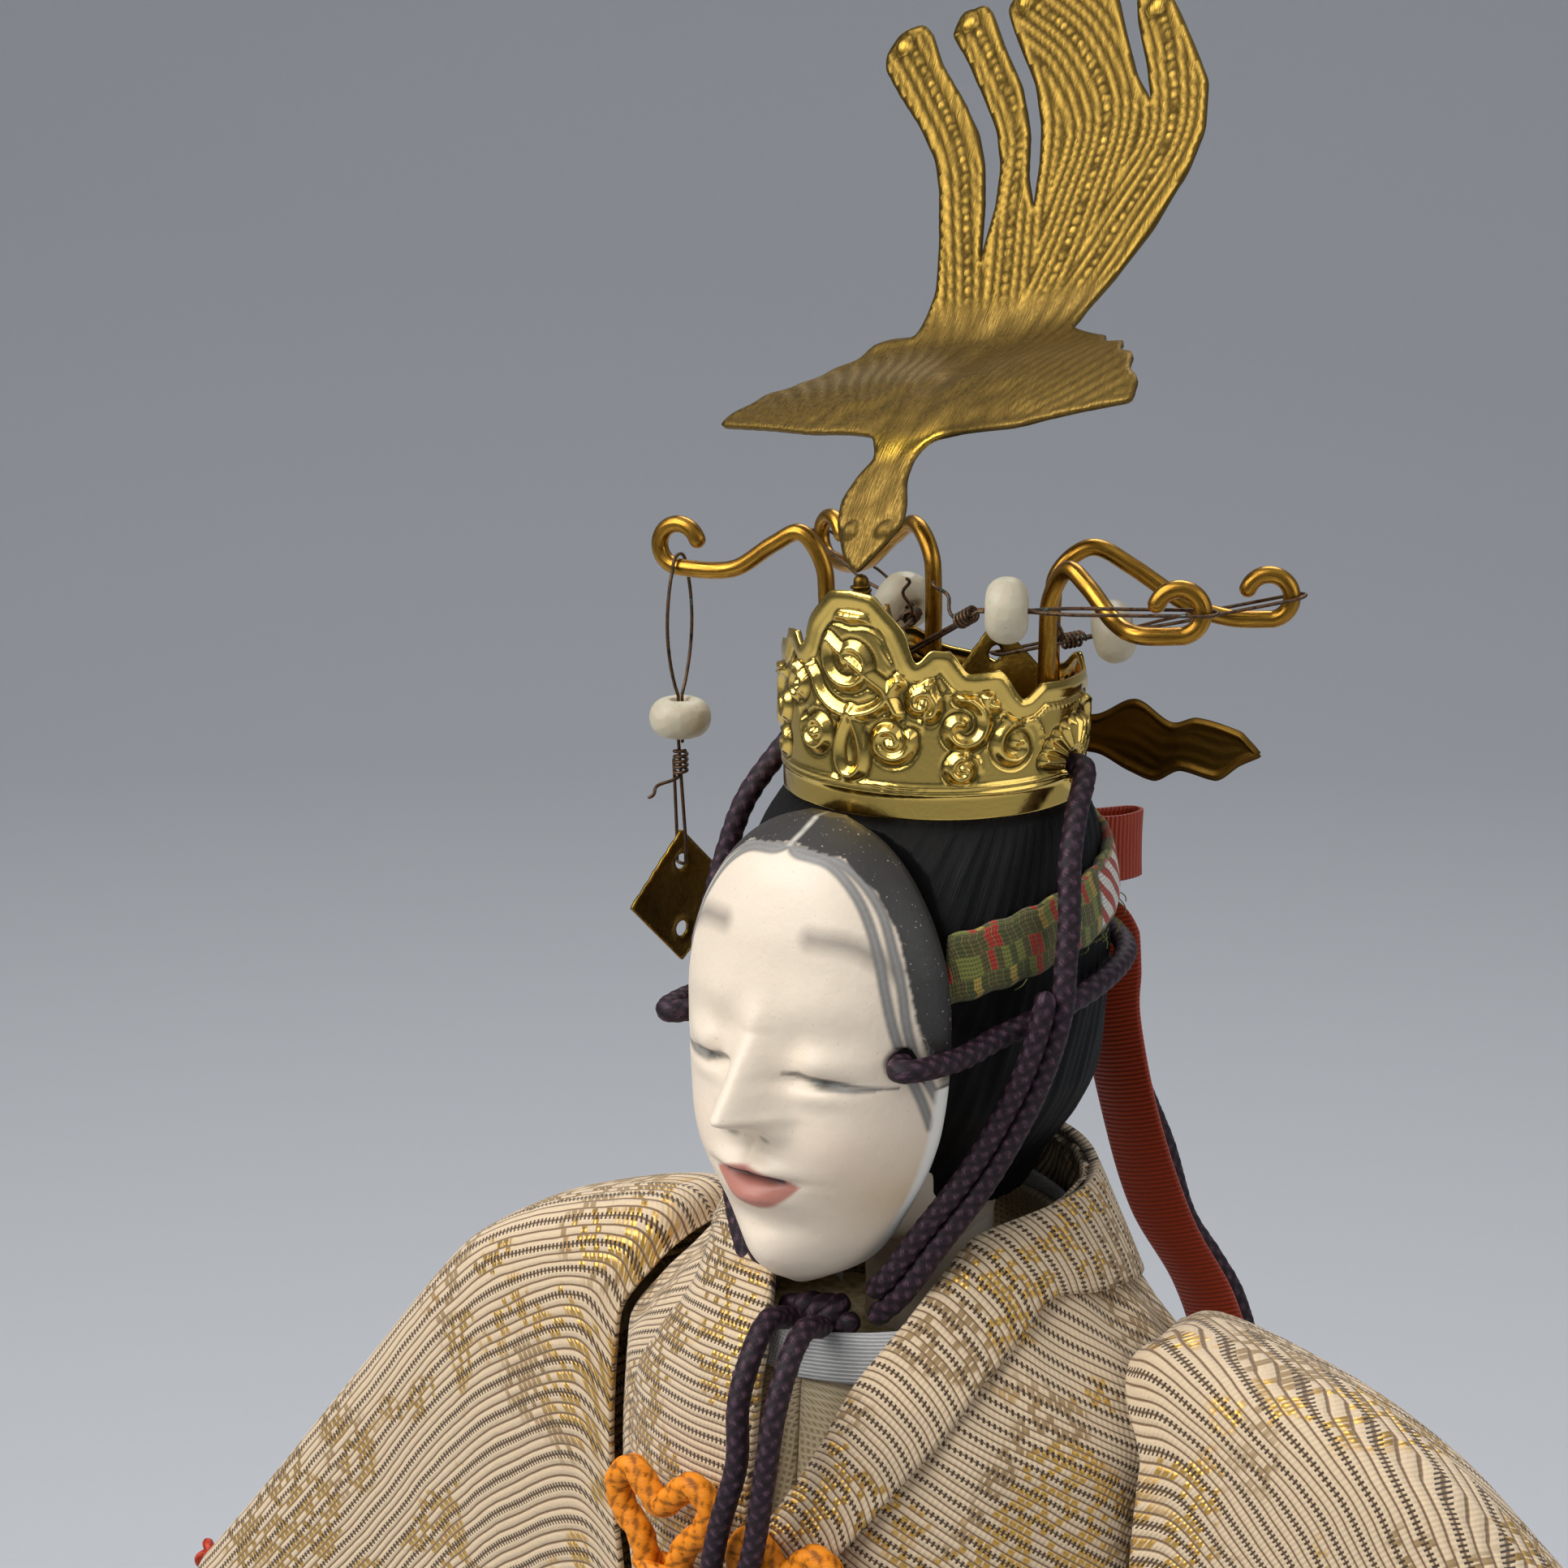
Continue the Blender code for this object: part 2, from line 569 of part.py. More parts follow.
RIBBON_TAILS_shares = {
    "ribbon_tail_left": (
        (0.2683, 1.2561, 1.6829), (0.4024, 1.2622, 1.5244), (0.4451, 1.2561, 1.2195),
        (0.4634, 1.2439, 0.9024), (0.6402, 1.2439, 0.2439), (0.8476, 1.2622, -0.2988),
        (1.1280, 1.2988, -0.7317), (1.2683, 1.3415, -1.2195), (1.3293, 1.3780, -1.9512),
        (1.3415, 1.3902, -2.7439), (1.3415, 1.3963, -3.3537),
    ),
    "ribbon_tail_right": (
        (-0.2683, 1.2561, 1.6829), (-0.4024, 1.2622, 1.5244), (-0.4390, 1.2561, 1.2195),
        (-0.4634, 1.2439, 0.8537), (-0.5610, 1.2561, 0.2439), (-0.7012, 1.2805, -0.3049),
        (-0.8232, 1.3049, -0.8537), (-0.9146, 1.3415, -1.5854), (-0.9451, 1.3537, -2.4390),
        (-0.9634, 1.3659, -3.1707),
    ),
}
CHEST_KNOTS_shares = {
    "right": (-0.6646, -1.7378, -1.3902),
    "left": (0.2317, -1.7744, -1.5549),
}
KNOT_SIZE = 0.0058
KNOT_LOOP_shares = (
    (-0.27, -2.0), (-0.27, -1.2), (-0.27, -0.6), (-0.45, 0.0), (-0.78, 0.35), (-0.92, 0.80), (-0.60, 1.12),
    (-0.28, 0.88), (0.0, 0.66), (0.28, 0.88), (0.60, 1.12), (0.92, 0.80), (0.78, 0.35), (0.45, 0.0),
    (0.27, -0.6), (0.27, -1.2), (0.27, -1.8),
)


def interpolate(table, height, scale):
    """The row of a table of shares at a height, its columns after the first times the scale."""
    rows = np.array(table)
    return [float(np.interp(height, rows[:, 0], column)) * scale for column in rows[:, 1:].T]


def oval_point(sizes, degrees, height):
    """A point on an oval ring given by its half width, front depth and back depth."""
    half_width, front, back = sizes
    angle = math.radians(degrees)
    depth = front if math.cos(angle) > 0 else back
    return Vector((half_width * math.sin(angle), -depth * math.cos(angle), height))


def oval_ring(sizes, height, steps=ROUND_STEPS, first=0, last=360):
    """Points of an oval ring, or of the arc of it between two angles."""
    closed = last - first == 360
    count = steps if closed else steps - 1
    return [oval_point(sizes, first + (last - first) * i / count, height) for i in range(steps)]


def torso_sizes(height, inset):
    """Half width, front and back depth of the torso at a height, drawn in by an inset."""
    sizes = interpolate(TORSO_SECTION_shares, height / CHIN_HEIGHT, CHEST)
    return [size - inset for size in sizes]


def torso_point(height, degrees, inset):
    """A point under the torso's outer surface, drawn in square to it."""
    step = TORSO_SLOPE_STEP
    place = oval_point(torso_sizes(height, 0), degrees, height)
    along = oval_point(torso_sizes(height, 0), degrees + 1, height)
    along -= oval_point(torso_sizes(height, 0), degrees - 1, height)
    rise = oval_point(torso_sizes(height + step, 0), degrees, height + step)
    rise -= oval_point(torso_sizes(height - step, 0), degrees, height - step)
    return place - along.cross(rise).normalized() * inset


def from_chin(shares):
    """The place given by half widths of the head across, back and up from the chin."""
    across, back, up = shares
    return Vector((across * HEAD_HALF, back * HEAD_HALF, CHIN_HEIGHT + up * HEAD_HALF))


def from_crown(shares):
    """The place given by radii of the crown across, back and up from its base edge's middle."""
    across, back, up = shares
    return Vector((across * CROWN_RADIUS, back * CROWN_RADIUS, CROWN_BASE + up * CROWN_RADIUS))


def smooth_route(points, count):
    """Evenly spaced points on a smooth curve through the given ones."""
    knots = np.array([tuple(p) for p in points], float)
    ends = np.vstack([2 * knots[0] - knots[1], knots, 2 * knots[-1] - knots[-2]])
    fine = []
    for i in range(len(knots) - 1):
        a, b, c, d = ends[i : i + 4]
        for t in np.linspace(0, 1, 24, endpoint=False):
            bend = (2 * a - 5 * b + 4 * c - d) * t**2 + (3 * b - a - 3 * c + d) * t**3
            fine.append(b + ((c - a) * t + bend) / 2)
    fine = np.array(fine + [knots[-1]])
    along = np.concatenate([[0], np.cumsum(np.linalg.norm(np.diff(fine, axis=0), axis=1))])
    places = np.linspace(0, along[-1], count)
    return [Vector(np.interp(places, along, axis)[i] for axis in fine.T) for i in range(count)]


def material(name, colour, roughness, metallic=0.0):
    """A plain material in the part's own colour."""
    look = bpy.data.materials.get(name) or bpy.data.materials.new(name)
    look.use_nodes = True
    shader = look.node_tree.nodes["Principled BSDF"]
    shader.inputs["Base Color"].default_value = (*colour, 1)
    shader.inputs["Roughness"].default_value = roughness
    shader.inputs["Metallic"].default_value = metallic
    return look


def add_object(name, data, look=None):
    """Put mesh or curve data into the doll's collection, or among the cutters if it has no material."""
    thing = bpy.data.objects.new(name, data)
    home = PARTS if look else CUTTERS
    home.objects.link(thing)
    if look:
        data.materials.append(look)
        thing.parent = ROOT
    else:
        thing.hide_render = True
        thing.display_type = "WIRE"
    return thing


def add_mesh(name, mesh, look=None, crease=40):
    """Turn a bmesh into an object that is shaded smooth up to the crease angle."""
    data = bpy.data.meshes.new(name)
    mesh.to_mesh(data)
    mesh.free()
    data.shade_smooth()
    data.set_sharp_from_angle(angle=math.radians(crease))
    return add_object(name, data, look)


def skin(mesh, rows, closed_rows, closed_columns):
    """Quads over a grid of points, whose rows run up and whose columns run from the front towards +X."""
    grid = [[mesh.verts.new(point) for point in row] for row in rows]
    columns = len(grid[0])
    for i in range(len(grid) - (not closed_rows)):
        upper = grid[(i + 1) % len(grid)]
        for j in range(columns - (not closed_columns)):
            k = (j + 1) % columns
            mesh.faces.new((grid[i][j], grid[i][k], upper[k], upper[j]))
    return grid


def loft(name, rings, look=None, crease=40):
    """A closed solid through a stack of rings."""
    mesh = bmesh.new()
    grid = skin(mesh, rings, False, True)
    mesh.faces.new(reversed(grid[0]))
    mesh.faces.new(grid[-1])
    bmesh.ops.recalc_face_normals(mesh, faces=mesh.faces)
    return add_mesh(name, mesh, look, crease)


def shell(name, rows, thickness, look, around=False, crease=60):
    """Cloth or sheet: a surface over a grid, thickened inwards."""
    mesh = bmesh.new()
    skin(mesh, rows, False, around)
    thing = add_mesh(name, mesh, look, crease)
    solid = thing.modifiers.new("cloth", "SOLIDIFY")
    solid.thickness = thickness
    solid.offset = -1
    return thing


def tube(name, points, radius, look=None, closed=False, detail=2):
    """Wire or cord along a list of points."""
    curve = bpy.data.curves.new(name, "CURVE")
    curve.dimensions = "3D"
    curve.bevel_depth = radius
    curve.bevel_resolution = detail
    curve.use_fill_caps = not closed
    spline = curve.splines.new("POLY")
    spline.points.add(len(points) - 1)
    spline.use_cyclic_u = closed
    for knot, place in zip(spline.points, points):
        knot.co = (*place, 1)
    return add_object(name, curve, look)


def as_mesh(thing, look=None):
    """Make a curve object a closed mesh object, so that it can be cut or can cut."""
    graph = bpy.context.evaluated_depsgraph_get()
    data = bpy.data.meshes.new_from_object(thing.evaluated_get(graph))
    mesh = bmesh.new()
    mesh.from_mesh(data)
    bmesh.ops.remove_doubles(mesh, verts=mesh.verts, dist=WELD)
    mesh.to_mesh(data)
    mesh.free()
    name, place = thing.name, thing.matrix_world.copy()
    curve = thing.data
    bpy.data.objects.remove(thing)
    bpy.data.curves.remove(curve)
    data.materials.clear()
    data.shade_smooth()
    solid = add_object(name, data, look)
    solid.matrix_world = place
    return solid


def rod(name, start, end, radius, look=None, sides=24):
    """A round bar between two points."""
    mesh = bmesh.new()
    axis = Vector(end) - Vector(start)
    bmesh.ops.create_cone(
        mesh, cap_ends=True, segments=sides, radius1=radius, radius2=radius, depth=axis.length
    )
    turn = UP.rotation_difference(axis).to_matrix().to_4x4()
    middle = Matrix.Translation((Vector(start) + Vector(end)) / 2)
    bmesh.ops.transform(mesh, matrix=middle @ turn, verts=mesh.verts)
    return add_mesh(name, mesh, look)


def block(name, low, high, look=None):
    """A box between two corners."""
    mesh = bmesh.new()
    low, high = Vector(low), Vector(high)
    bmesh.ops.create_cube(mesh, size=1)
    bmesh.ops.scale(mesh, vec=high - low, verts=mesh.verts)
    bmesh.ops.translate(mesh, vec=(low + high) / 2, verts=mesh.verts)
    return add_mesh(name, mesh, look)


def cut(target, *cutters):
    """Cut solids out of a target."""
    for cutter in cutters:
        step = target.modifiers.new(cutter.name, "BOOLEAN")
        step.operation = "DIFFERENCE"
        step.solver = "EXACT"
        step.object = cutter


def join(target, *others):
    """Grow a target by solids that overlap it."""
    for other in others:
        step = target.modifiers.new(other.name, "BOOLEAN")
        step.operation = "UNION"
        step.solver = "EXACT"
        step.object = other


def hang_from(thing, place, parent=None):
    """Move an object's origin to a place in the world, and hang it on a parent."""
    thing.data.transform(Matrix.Translation(-Vector(place)))
    thing.location = place
    if parent:
        bpy.context.view_layer.update()
        thing.parent = parent
        thing.matrix_parent_inverse = parent.matrix_world.inverted()


def rounded_rectangle(width, depth, corner, height):
    """A rectangle with round corners, as a ring of points."""
    ring = []
    for quarter in range(4):
        across = width / 2 - corner if quarter in (0, 3) else corner - width / 2
        along = depth / 2 - corner if quarter in (0, 1) else corner - depth / 2
        for step in range(CORNER_STEPS + 1):
            angle = math.pi / 2 * (quarter + step / CORNER_STEPS)
            ring.append(
                Vector((across + corner * math.cos(angle), along + corner * math.sin(angle), height))
            )
    return ring


def base_board():
    """The lacquered board: a plinth, a hollow step and a smaller top, with sockets for the leg rods."""
    levels = (
        (0, BASE_EDGE),
        (BASE_EDGE, 0),
        (BASE_PLINTH - BASE_EDGE, 0),
        (BASE_PLINTH, BASE_EDGE),
        (BASE_PLINTH + BASE_EDGE, BASE_STEP),
        (BASE_HEIGHT - BASE_EDGE, BASE_STEP),
        (BASE_HEIGHT, BASE_STEP + BASE_EDGE),
    )
    rings = [
        rounded_rectangle(BASE_WIDTH - 2 * inset, BASE_DEPTH - 2 * inset, BASE_CORNER - inset, height)
        for height, inset in levels
    ]
    board = loft("base_board", rings, LACQUER, crease=25)
    for side in (-1, 1):
        low = (side * LEG_SPREAD, 0, BASE_HEIGHT - PEG_HOLE_DEPTH)
        cut(board, rod("rod_socket", low, (low[0], 0, BASE_HEIGHT + OVERRUN), LEG_ROD + GAP, sides=12))


def foot(name, side):
    """A white tabi sock on a carved foot, with its shin, bored for the leg rod."""
    sole = BASE_HEIGHT + GAP
    rings = []
    for along, half, rise in FOOT_SECTION_shares:
        ring = []
        for i in range(FOOT_STEPS):
            angle = 2 * math.pi * i / FOOT_STEPS
            across = math.copysign(abs(math.cos(angle)) ** 0.7, math.cos(angle))
            up = math.copysign(abs(math.sin(angle)) ** 0.6, math.sin(angle))
            x = side * LEG_SPREAD + half * FOOT_WIDTH * across
            ring.append(Vector((x, along * FOOT_LENGTH, sole + rise * FOOT_HEIGHT * (1 + up) / 2)))
        rings.append(ring)
    sock = loft(name, rings, WHITE_COTTON)
    low = sole + FOOT_HEIGHT / 2
    column = [
        [p + Vector((side * LEG_SPREAD, 0, 0)) for p in oval_ring((r, r, r), height, FOOT_STEPS)]
        for height, r in ((low, ANKLE), ((low + SHIN_TOP) / 2, ANKLE), (SHIN_TOP, SHIN))
    ]
    join(sock, loft(f"{name}_shin", column))
    x = side * LEG_SPREAD
    cut(sock, rod(f"{name}_bore", (x, 0, 0), (x, 0, SHIN_TOP + OVERRUN), LEG_ROD + GAP, sides=12))


def legs():
    """Two wooden rods from the board's sockets up into the body, each with its foot."""
    for side, word in ((-1, "right"), (1, "left")):
        x = side * LEG_SPREAD
        low = BASE_HEIGHT - PEG_HOLE_DEPTH + GAP
        high = CORE_BOTTOM + LEG_BORE_DEPTH - GAP
        rod(f"leg_rod_{word}", (x, 0, low), (x, 0, high), LEG_ROD, BARE_WOOD, sides=12)
        foot(f"tabi_foot_{word}", side)


def arm_route(side):
    """The arm wire's bends from the spine to the palm."""
    lift = CUFF_TOP_LEFT - CUFF_TOP_RIGHT if side > 0 else 0
    bends = []
    for across, depth, height, lifted in ARM_ROUTE_shares:
        z = SHOULDER_HEIGHT + height * ARM_DROP + lifted * lift
        bends.append(Vector((side * across * CUFF_X, depth * ARM_DEPTH, z)))
    return bends


def arm_points():
    """The whole arm wire, from the right palm over the spine to the left."""
    right = arm_route(-1)
    left = arm_route(1)
    return smooth_route(right[::-1] + left[1:], ARM_STEPS)


def along_arm(side, start, stop):
    """The stretch of one arm between two distances from the middle of the body."""
    points = [p for p in arm_points() if start <= p.x * side <= stop]
    return points if side > 0 else points[::-1]


def body_core():
    """The straw body, wrapped in paper, with its bores for the legs, the neck and the arm wire."""
    heights = np.linspace(CORE_BOTTOM, SKIRT_TOP - GAP, 4)
    rings = [
        oval_ring(interpolate(CORE_SECTION_shares, height / CHIN_HEIGHT, CORE_HALF_WIDTH), height)
        for height in heights
    ]
    for height in np.linspace(INNER_ROBE_HEM, CORE_TOP, 6):
        over = max(0, (height - CORE_SHOULDER) / (CORE_TOP - CORE_SHOULDER))
        inset = CORE_INSET + CORE_SHOULDER_INSET * over
        rings.append(oval_ring(torso_sizes(height, inset), height))
    core = loft("body_core", rings, STRAW)
    for side in (-1, 1):
        x = side * LEG_SPREAD
        low = (x, 0, CORE_BOTTOM - OVERRUN)
        cut(core, rod("leg_bore", low, (x, 0, CORE_BOTTOM + LEG_BORE_DEPTH), LEG_ROD + GAP, sides=12))
    cut(core, rod("neck_bore", (0, 0, NECK_BOTTOM - GAP), (0, 0, CORE_TOP + OVERRUN), NECK + GAP))
    low = (0, 0, NECK_BOTTOM - PEG_LENGTH / 2 - GAP)
    cut(core, rod("peg_bore", low, (0, 0, CORE_TOP), PEG + GAP, sides=12))
    inside = [p for p in arm_points() if abs(p.x) < CHEST + OVERRUN]
    cut(core, as_mesh(tube("arm_bore", inside, ARM_WIRE + GAP, detail=1)))


def arms():
    """One wire from palm to palm, with a straw padding and a carved hand on each side."""
    tube("arm_wire", arm_points(), ARM_WIRE, IRON_WIRE, detail=1)
    for side, word in ((-1, "right"), (1, "left")):
        stretch = along_arm(side, ARM_PADDING_START, WRIST_X)
        padding = as_mesh(tube(f"arm_padding_{word}", stretch, ARM_PADDING, detail=1), STRAW)
        whole = along_arm(side, 0, CUFF_X + CHEST)
        cut(padding, as_mesh(tube(f"arm_padding_bore_{word}", whole, ARM_WIRE + GAP, detail=1)))
        hand(f"hand_{word}", side)


def hand(name, side):
    """A small carved hand, its fingers together and its thumb apart, bored for the arm wire."""
    points = along_arm(side, 0, CUFF_X + CHEST)
    tip = points[-1]
    axis = (tip - points[-3]).normalized()
    wrist = along_arm(side, 0, WRIST_X)[-1] + axis * HAND_GAP
    back = axis.cross(UP).normalized()
    across = back.cross(axis).normalized()
    rings = []
    for along, wide, thick in HAND_SECTION_shares:
        middle = wrist + axis * (along * HAND_LENGTH)
        ring = []
        for i in range(FOOT_STEPS):
            angle = 2 * math.pi * i / FOOT_STEPS
            ring.append(
                middle
                + across * (wide * HAND_WIDTH / 2 * math.cos(angle))
                + back * (thick * HAND_THICKNESS / 2 * math.sin(angle))
            )
        rings.append(ring)
    palm = loft(name, rings, GOFUN)
    root = wrist + axis * (HAND_LENGTH * 0.3) + across * (HAND_WIDTH * 0.3)
    end = root + (axis + across).normalized() * THUMB_LENGTH
    join(palm, rod(f"{name}_thumb", root, end, THUMB, sides=12))
    bore = tube(f"{name}_bore", [p - axis * GAP for p in points] + [tip + axis * GAP], ARM_WIRE + GAP)
    cut(palm, as_mesh(bore))


def skirt():
    """The wrapped skirt robe, in soft upright folds that deepen towards its hem."""
    rows = []
    for height in np.linspace(SKIRT_HEM, SKIRT_TOP, SKIRT_ROWS):
        sizes = interpolate(SKIRT_SECTION_shares, height / CHIN_HEIGHT, SKIRT_HEM_HALF_WIDTH)
        depth = SKIRT_FOLD * ((SKIRT_TOP - height) / (SKIRT_TOP - SKIRT_HEM)) ** 1.3
        row = []
        for i in range(SKIRT_COLUMNS):
            degrees = 360 * i / SKIRT_COLUMNS
            wave = math.sin(math.radians(degrees) * SKIRT_FOLDS)
            row.append(oval_point([size + depth * wave for size in sizes], degrees, height))
        rows.append(row)
    shell("skirt", rows, CLOTH, SKIRT_SILK, around=True)


def cloth_heights(low, high):
    """The heights of a robe's rows between its hem and its neck."""
    between = [share * CHIN_HEIGHT for share in CLOTH_ROW_shares]
    return [low] + [height for height in between if low + GAP < height < high - GAP] + [high]


def inner_robe():
    """The under robe, crossed at the chest, with its armholes and its pale collar."""
    heights = [h * INNER_COLLAR_NAPE for h in INNER_COLLAR_HEIGHT_shares][::-1]
    opening = INNER_COLLAR_degrees[::-1]
    rows = []
    for height in cloth_heights(INNER_ROBE_HEM, INNER_ROBE_NECK):
        first = float(np.interp(height, heights, opening)) + COLLAR_COVER_degrees / 2
        turns = np.linspace(first, 360 - first, INNER_COLUMNS)
        rows.append([torso_point(height, degrees, INNER_ROBE_INSET) for degrees in turns])
    robe = shell("inner_robe", rows, CLOTH, INNER_SILK)
    cut(robe, armhole("inner_armhole"))
    rows = []
    trail = list(zip(INNER_COLLAR_HEIGHT_shares, INNER_COLLAR_degrees))
    path = [(share, 360 - degrees) for share, degrees in trail[:0:-1]] + trail
    for share, degrees in path:
        height = share * INNER_COLLAR_NAPE
        row = []
        for k in range(3):
            drop = k / 2 * INNER_COLLAR_DROP
            row.append((height - drop, degrees))
        rows.append(row)
    band("inner_collar", refine(rows, 2), INNER_COLLAR_INSET, INNER_COLLAR_CLOTH, WHITE_SILK)


def refine(rows, steps):
    """Rows of (height, degrees) pairs with more rows between them."""
    table = np.array(rows)
    places = np.linspace(0, len(table) - 1, (len(table) - 1) * steps + 1)
    low = np.floor(places).astype(int).clip(0, len(table) - 2)
    share = (places - low)[:, None, None]
    return table[low] * (1 - share) + table[low + 1] * share


def band(name, rows, inset, thickness, look):
    """A strip of cloth that lies on the torso, given by heights and angles."""
    grid = [[torso_point(height, degrees, inset) for height, degrees in row] for row in rows]
    shell(name, grid, thickness, look)


def armhole(name):
    """A cutter through both shoulders."""
    reach = CHEST + OVERRUN
    place = (ARMHOLE_Y, SHOULDER_HEIGHT + ARMHOLE_RISE)
    return rod(name, (-reach, *place), (reach, *place), ARMHOLE)


def collar_rows(degrees_list, width_list, turn):
    """Rows of the collar band down one side, from the nape to the hem."""
    rows = []
    for share, degrees, width, drop in zip(
        COLLAR_HEIGHT_shares, degrees_list, width_list, COLLAR_DROP_shares
    ):
        row = []
        for k in range(3):
            angle = degrees + width * k / 2
            row.append((share * COLLAR_NAPE - drop * COLLAR_WIDTH * k / 2, turn * angle % 360))
        rows.append(row)
    return rows


def outer_robe():
    """The gauze robe: its body with armholes and a front opening, and the collar band that edges it."""
    heights = [share * COLLAR_NAPE for share in COLLAR_HEIGHT_shares][::-1]
    rows = []
    for height in cloth_heights(ROBE_HEM, ROBE_NECK):
        left = float(np.interp(height, heights, COLLAR_LEFT_degrees[::-1])) + COLLAR_COVER_degrees
        right = 360 - float(np.interp(height, heights, COLLAR_RIGHT_degrees[::-1])) - COLLAR_COVER_degrees
        depth = ROBE_FOLD * max(0, (ROBE_FOLD_TOP - height) / (ROBE_FOLD_TOP - ROBE_HEM))
        row = []
        for i in range(ROBE_COLUMNS):
            degrees = left + (right - left) * i / (ROBE_COLUMNS - 1)
            wave = (1 - math.cos(math.radians(degrees - left) * ROBE_FOLDS)) / 2
            row.append(torso_point(height, degrees, ROBE_INSET + depth * wave))
        rows.append(row)
    robe = shell("outer_robe", rows, CLOTH, GAUZE)
    cut(robe, armhole("outer_armhole"))
    left = collar_rows(COLLAR_LEFT_degrees, COLLAR_LEFT_WIDTH_degrees, 1)
    right = collar_rows(COLLAR_RIGHT_degrees, COLLAR_RIGHT_WIDTH_degrees, -1)
    band("robe_collar", refine(right[:0:-1] + left, 2), COLLAR_INSET, COLLAR_CLOTH, GAUZE)


def sash():
    """The narrow sash that ties the skirt over the under robe."""
    rows = []
    for height in (SASH_BOTTOM, (SASH_BOTTOM + SASH_TOP) / 2, SASH_TOP):
        turns = np.arange(ROUND_STEPS) * 360 / ROUND_STEPS
        rows.append([torso_point(height, degrees, SASH_INSET) for degrees in turns])
    shell("waist_sash", rows, SASH_CLOTH, SASH_SILK, around=True)


def sleeve_loop(side, t):
    """The closed outline of a sleeve at a share of the way from the shoulder seam to the cuff."""
    keys = np.array(SLEEVE_KEY_shares)
    top_x, top_drop, bottom_x, top_depth, bottom_depth = (
        float(np.interp(t, SLEEVE_KEY_PLACE_shares, column)) for column in keys.T
    )
    cuff_top = CUFF_TOP_LEFT if side > 0 else CUFF_TOP_RIGHT
    hem = SLEEVE_HEM_LEFT if side > 0 else SLEEVE_HEM_RIGHT
    top = SLEEVE_TOP - (SLEEVE_TOP - cuff_top) * top_drop
    loop = []
    for i in range(SLEEVE_POINTS):
        angle = 2 * math.pi * i / SLEEVE_POINTS
        down = (1 - math.cos(angle)) / 2
        height = top + (hem - top) * down
        wide = SLEEVE_SEAM_DEPTH * (top_depth + (bottom_depth - top_depth) * down)
        bulge = math.copysign(abs(math.sin(angle)) ** 0.45, math.sin(angle))
        fold = SLEEVE_FOLD * t * math.sin(2 * math.pi * SLEEVE_FOLDS * t) * down
        depth = -wide * bulge + fold - SLEEVE_FORWARD * t
        half_width, front, back = torso_sizes(height, 0)
        room = front if depth < 0 else back
        inner = half_width * math.sqrt(max(0, 1 - (depth / room) ** 2)) - SLEEVE_INSET
        outer = CUFF_X + SLEEVE_FLARE * down
        across = top_x + (bottom_x - top_x) * down
        loop.append(Vector((side * (inner + (outer - inner) * across), depth, height)))
    return loop


def sleeves():
    """The wide sleeves: flat bags open at the cuff, hung from the arms, each with a knot at the cuff."""
    for side, word in ((-1, "right"), (1, "left")):
        rows = [sleeve_loop(side, t) for t in np.linspace(0, 1, SLEEVE_STATIONS)]
        if side > 0:
            rows = [row[::-1] for row in rows]
        shell(f"sleeve_{word}", rows, CLOTH, GAUZE, around=True)
        top = max(sleeve_loop(side, 1), key=lambda p: p.z)
        place = top + Vector((side * (SLEEVE_KNOT + GAP), 0, -SLEEVE_KNOT))
        ball(f"sleeve_knot_{word}", place, (SLEEVE_KNOT, SLEEVE_KNOT, SLEEVE_KNOT), RED_CORD)


def ball(name, place, radii, look):
    """A round knot or bead without a bore."""
    mesh = bmesh.new()
    bmesh.ops.create_uvsphere(mesh, u_segments=12, v_segments=8, radius=1)
    bmesh.ops.scale(mesh, vec=radii, verts=mesh.verts)
    bmesh.ops.translate(mesh, vec=place, verts=mesh.verts)
    return add_mesh(name, mesh, look)


def turned(thing):
    """Turn a piece of the head by the head's slight yaw."""
    thing.rotation_euler.z = HEAD_YAW
    return thing


def head_rings(grow):
    """The head's sections, or those of a form that is larger all round."""
    rings = []
    for height in np.linspace(HEAD_BOTTOM, HEAD_TOP, HEAD_ROWS):
        share = (height - HEAD_BOTTOM) / (HEAD_TOP - HEAD_BOTTOM)
        half, front, back = interpolate(HEAD_SECTION_shares, share, 1)
        sizes = (half * HEAD_HALF_WIDTH + grow, front * HEAD_FRONT + grow, back * HEAD_BACK + grow)
        lift = grow * (share - (1 - share))
        rings.append(oval_ring(sizes, height + lift, HEAD_STEPS))
    return rings


def head():
    """The doll's own head in one piece with its neck, whose end is a peg in the body."""
    thing = turned(loft("head", head_rings(0), GOFUN))
    top = HEAD_BOTTOM + NECK
    neck = rod("neck", (0, 0, NECK_BOTTOM), (0, 0, top), NECK)
    join(thing, neck, rod("neck_peg", (0, 0, NECK_BOTTOM - PEG_LENGTH / 2), (0, 0, top), PEG, sides=12))


def hair_sizes(height):
    """Half width, front depth and back depth of the hair at a height."""
    share = (height - HAIR_BOTTOM) / (HAIR_TOP - HAIR_BOTTOM)
    half, front, back = interpolate(HAIR_SECTION_shares, share, 1)
    return half * HAIR_HALF_WIDTH, front * HAIR_FRONT, back * HAIR_BACK


def hair_point(height, degrees, out):
    """A point outside the hair, turned with the head."""
    sizes = [size + out for size in hair_sizes(height)]
    return Matrix.Rotation(HEAD_YAW, 3, "Z") @ oval_point(sizes, degrees, height)


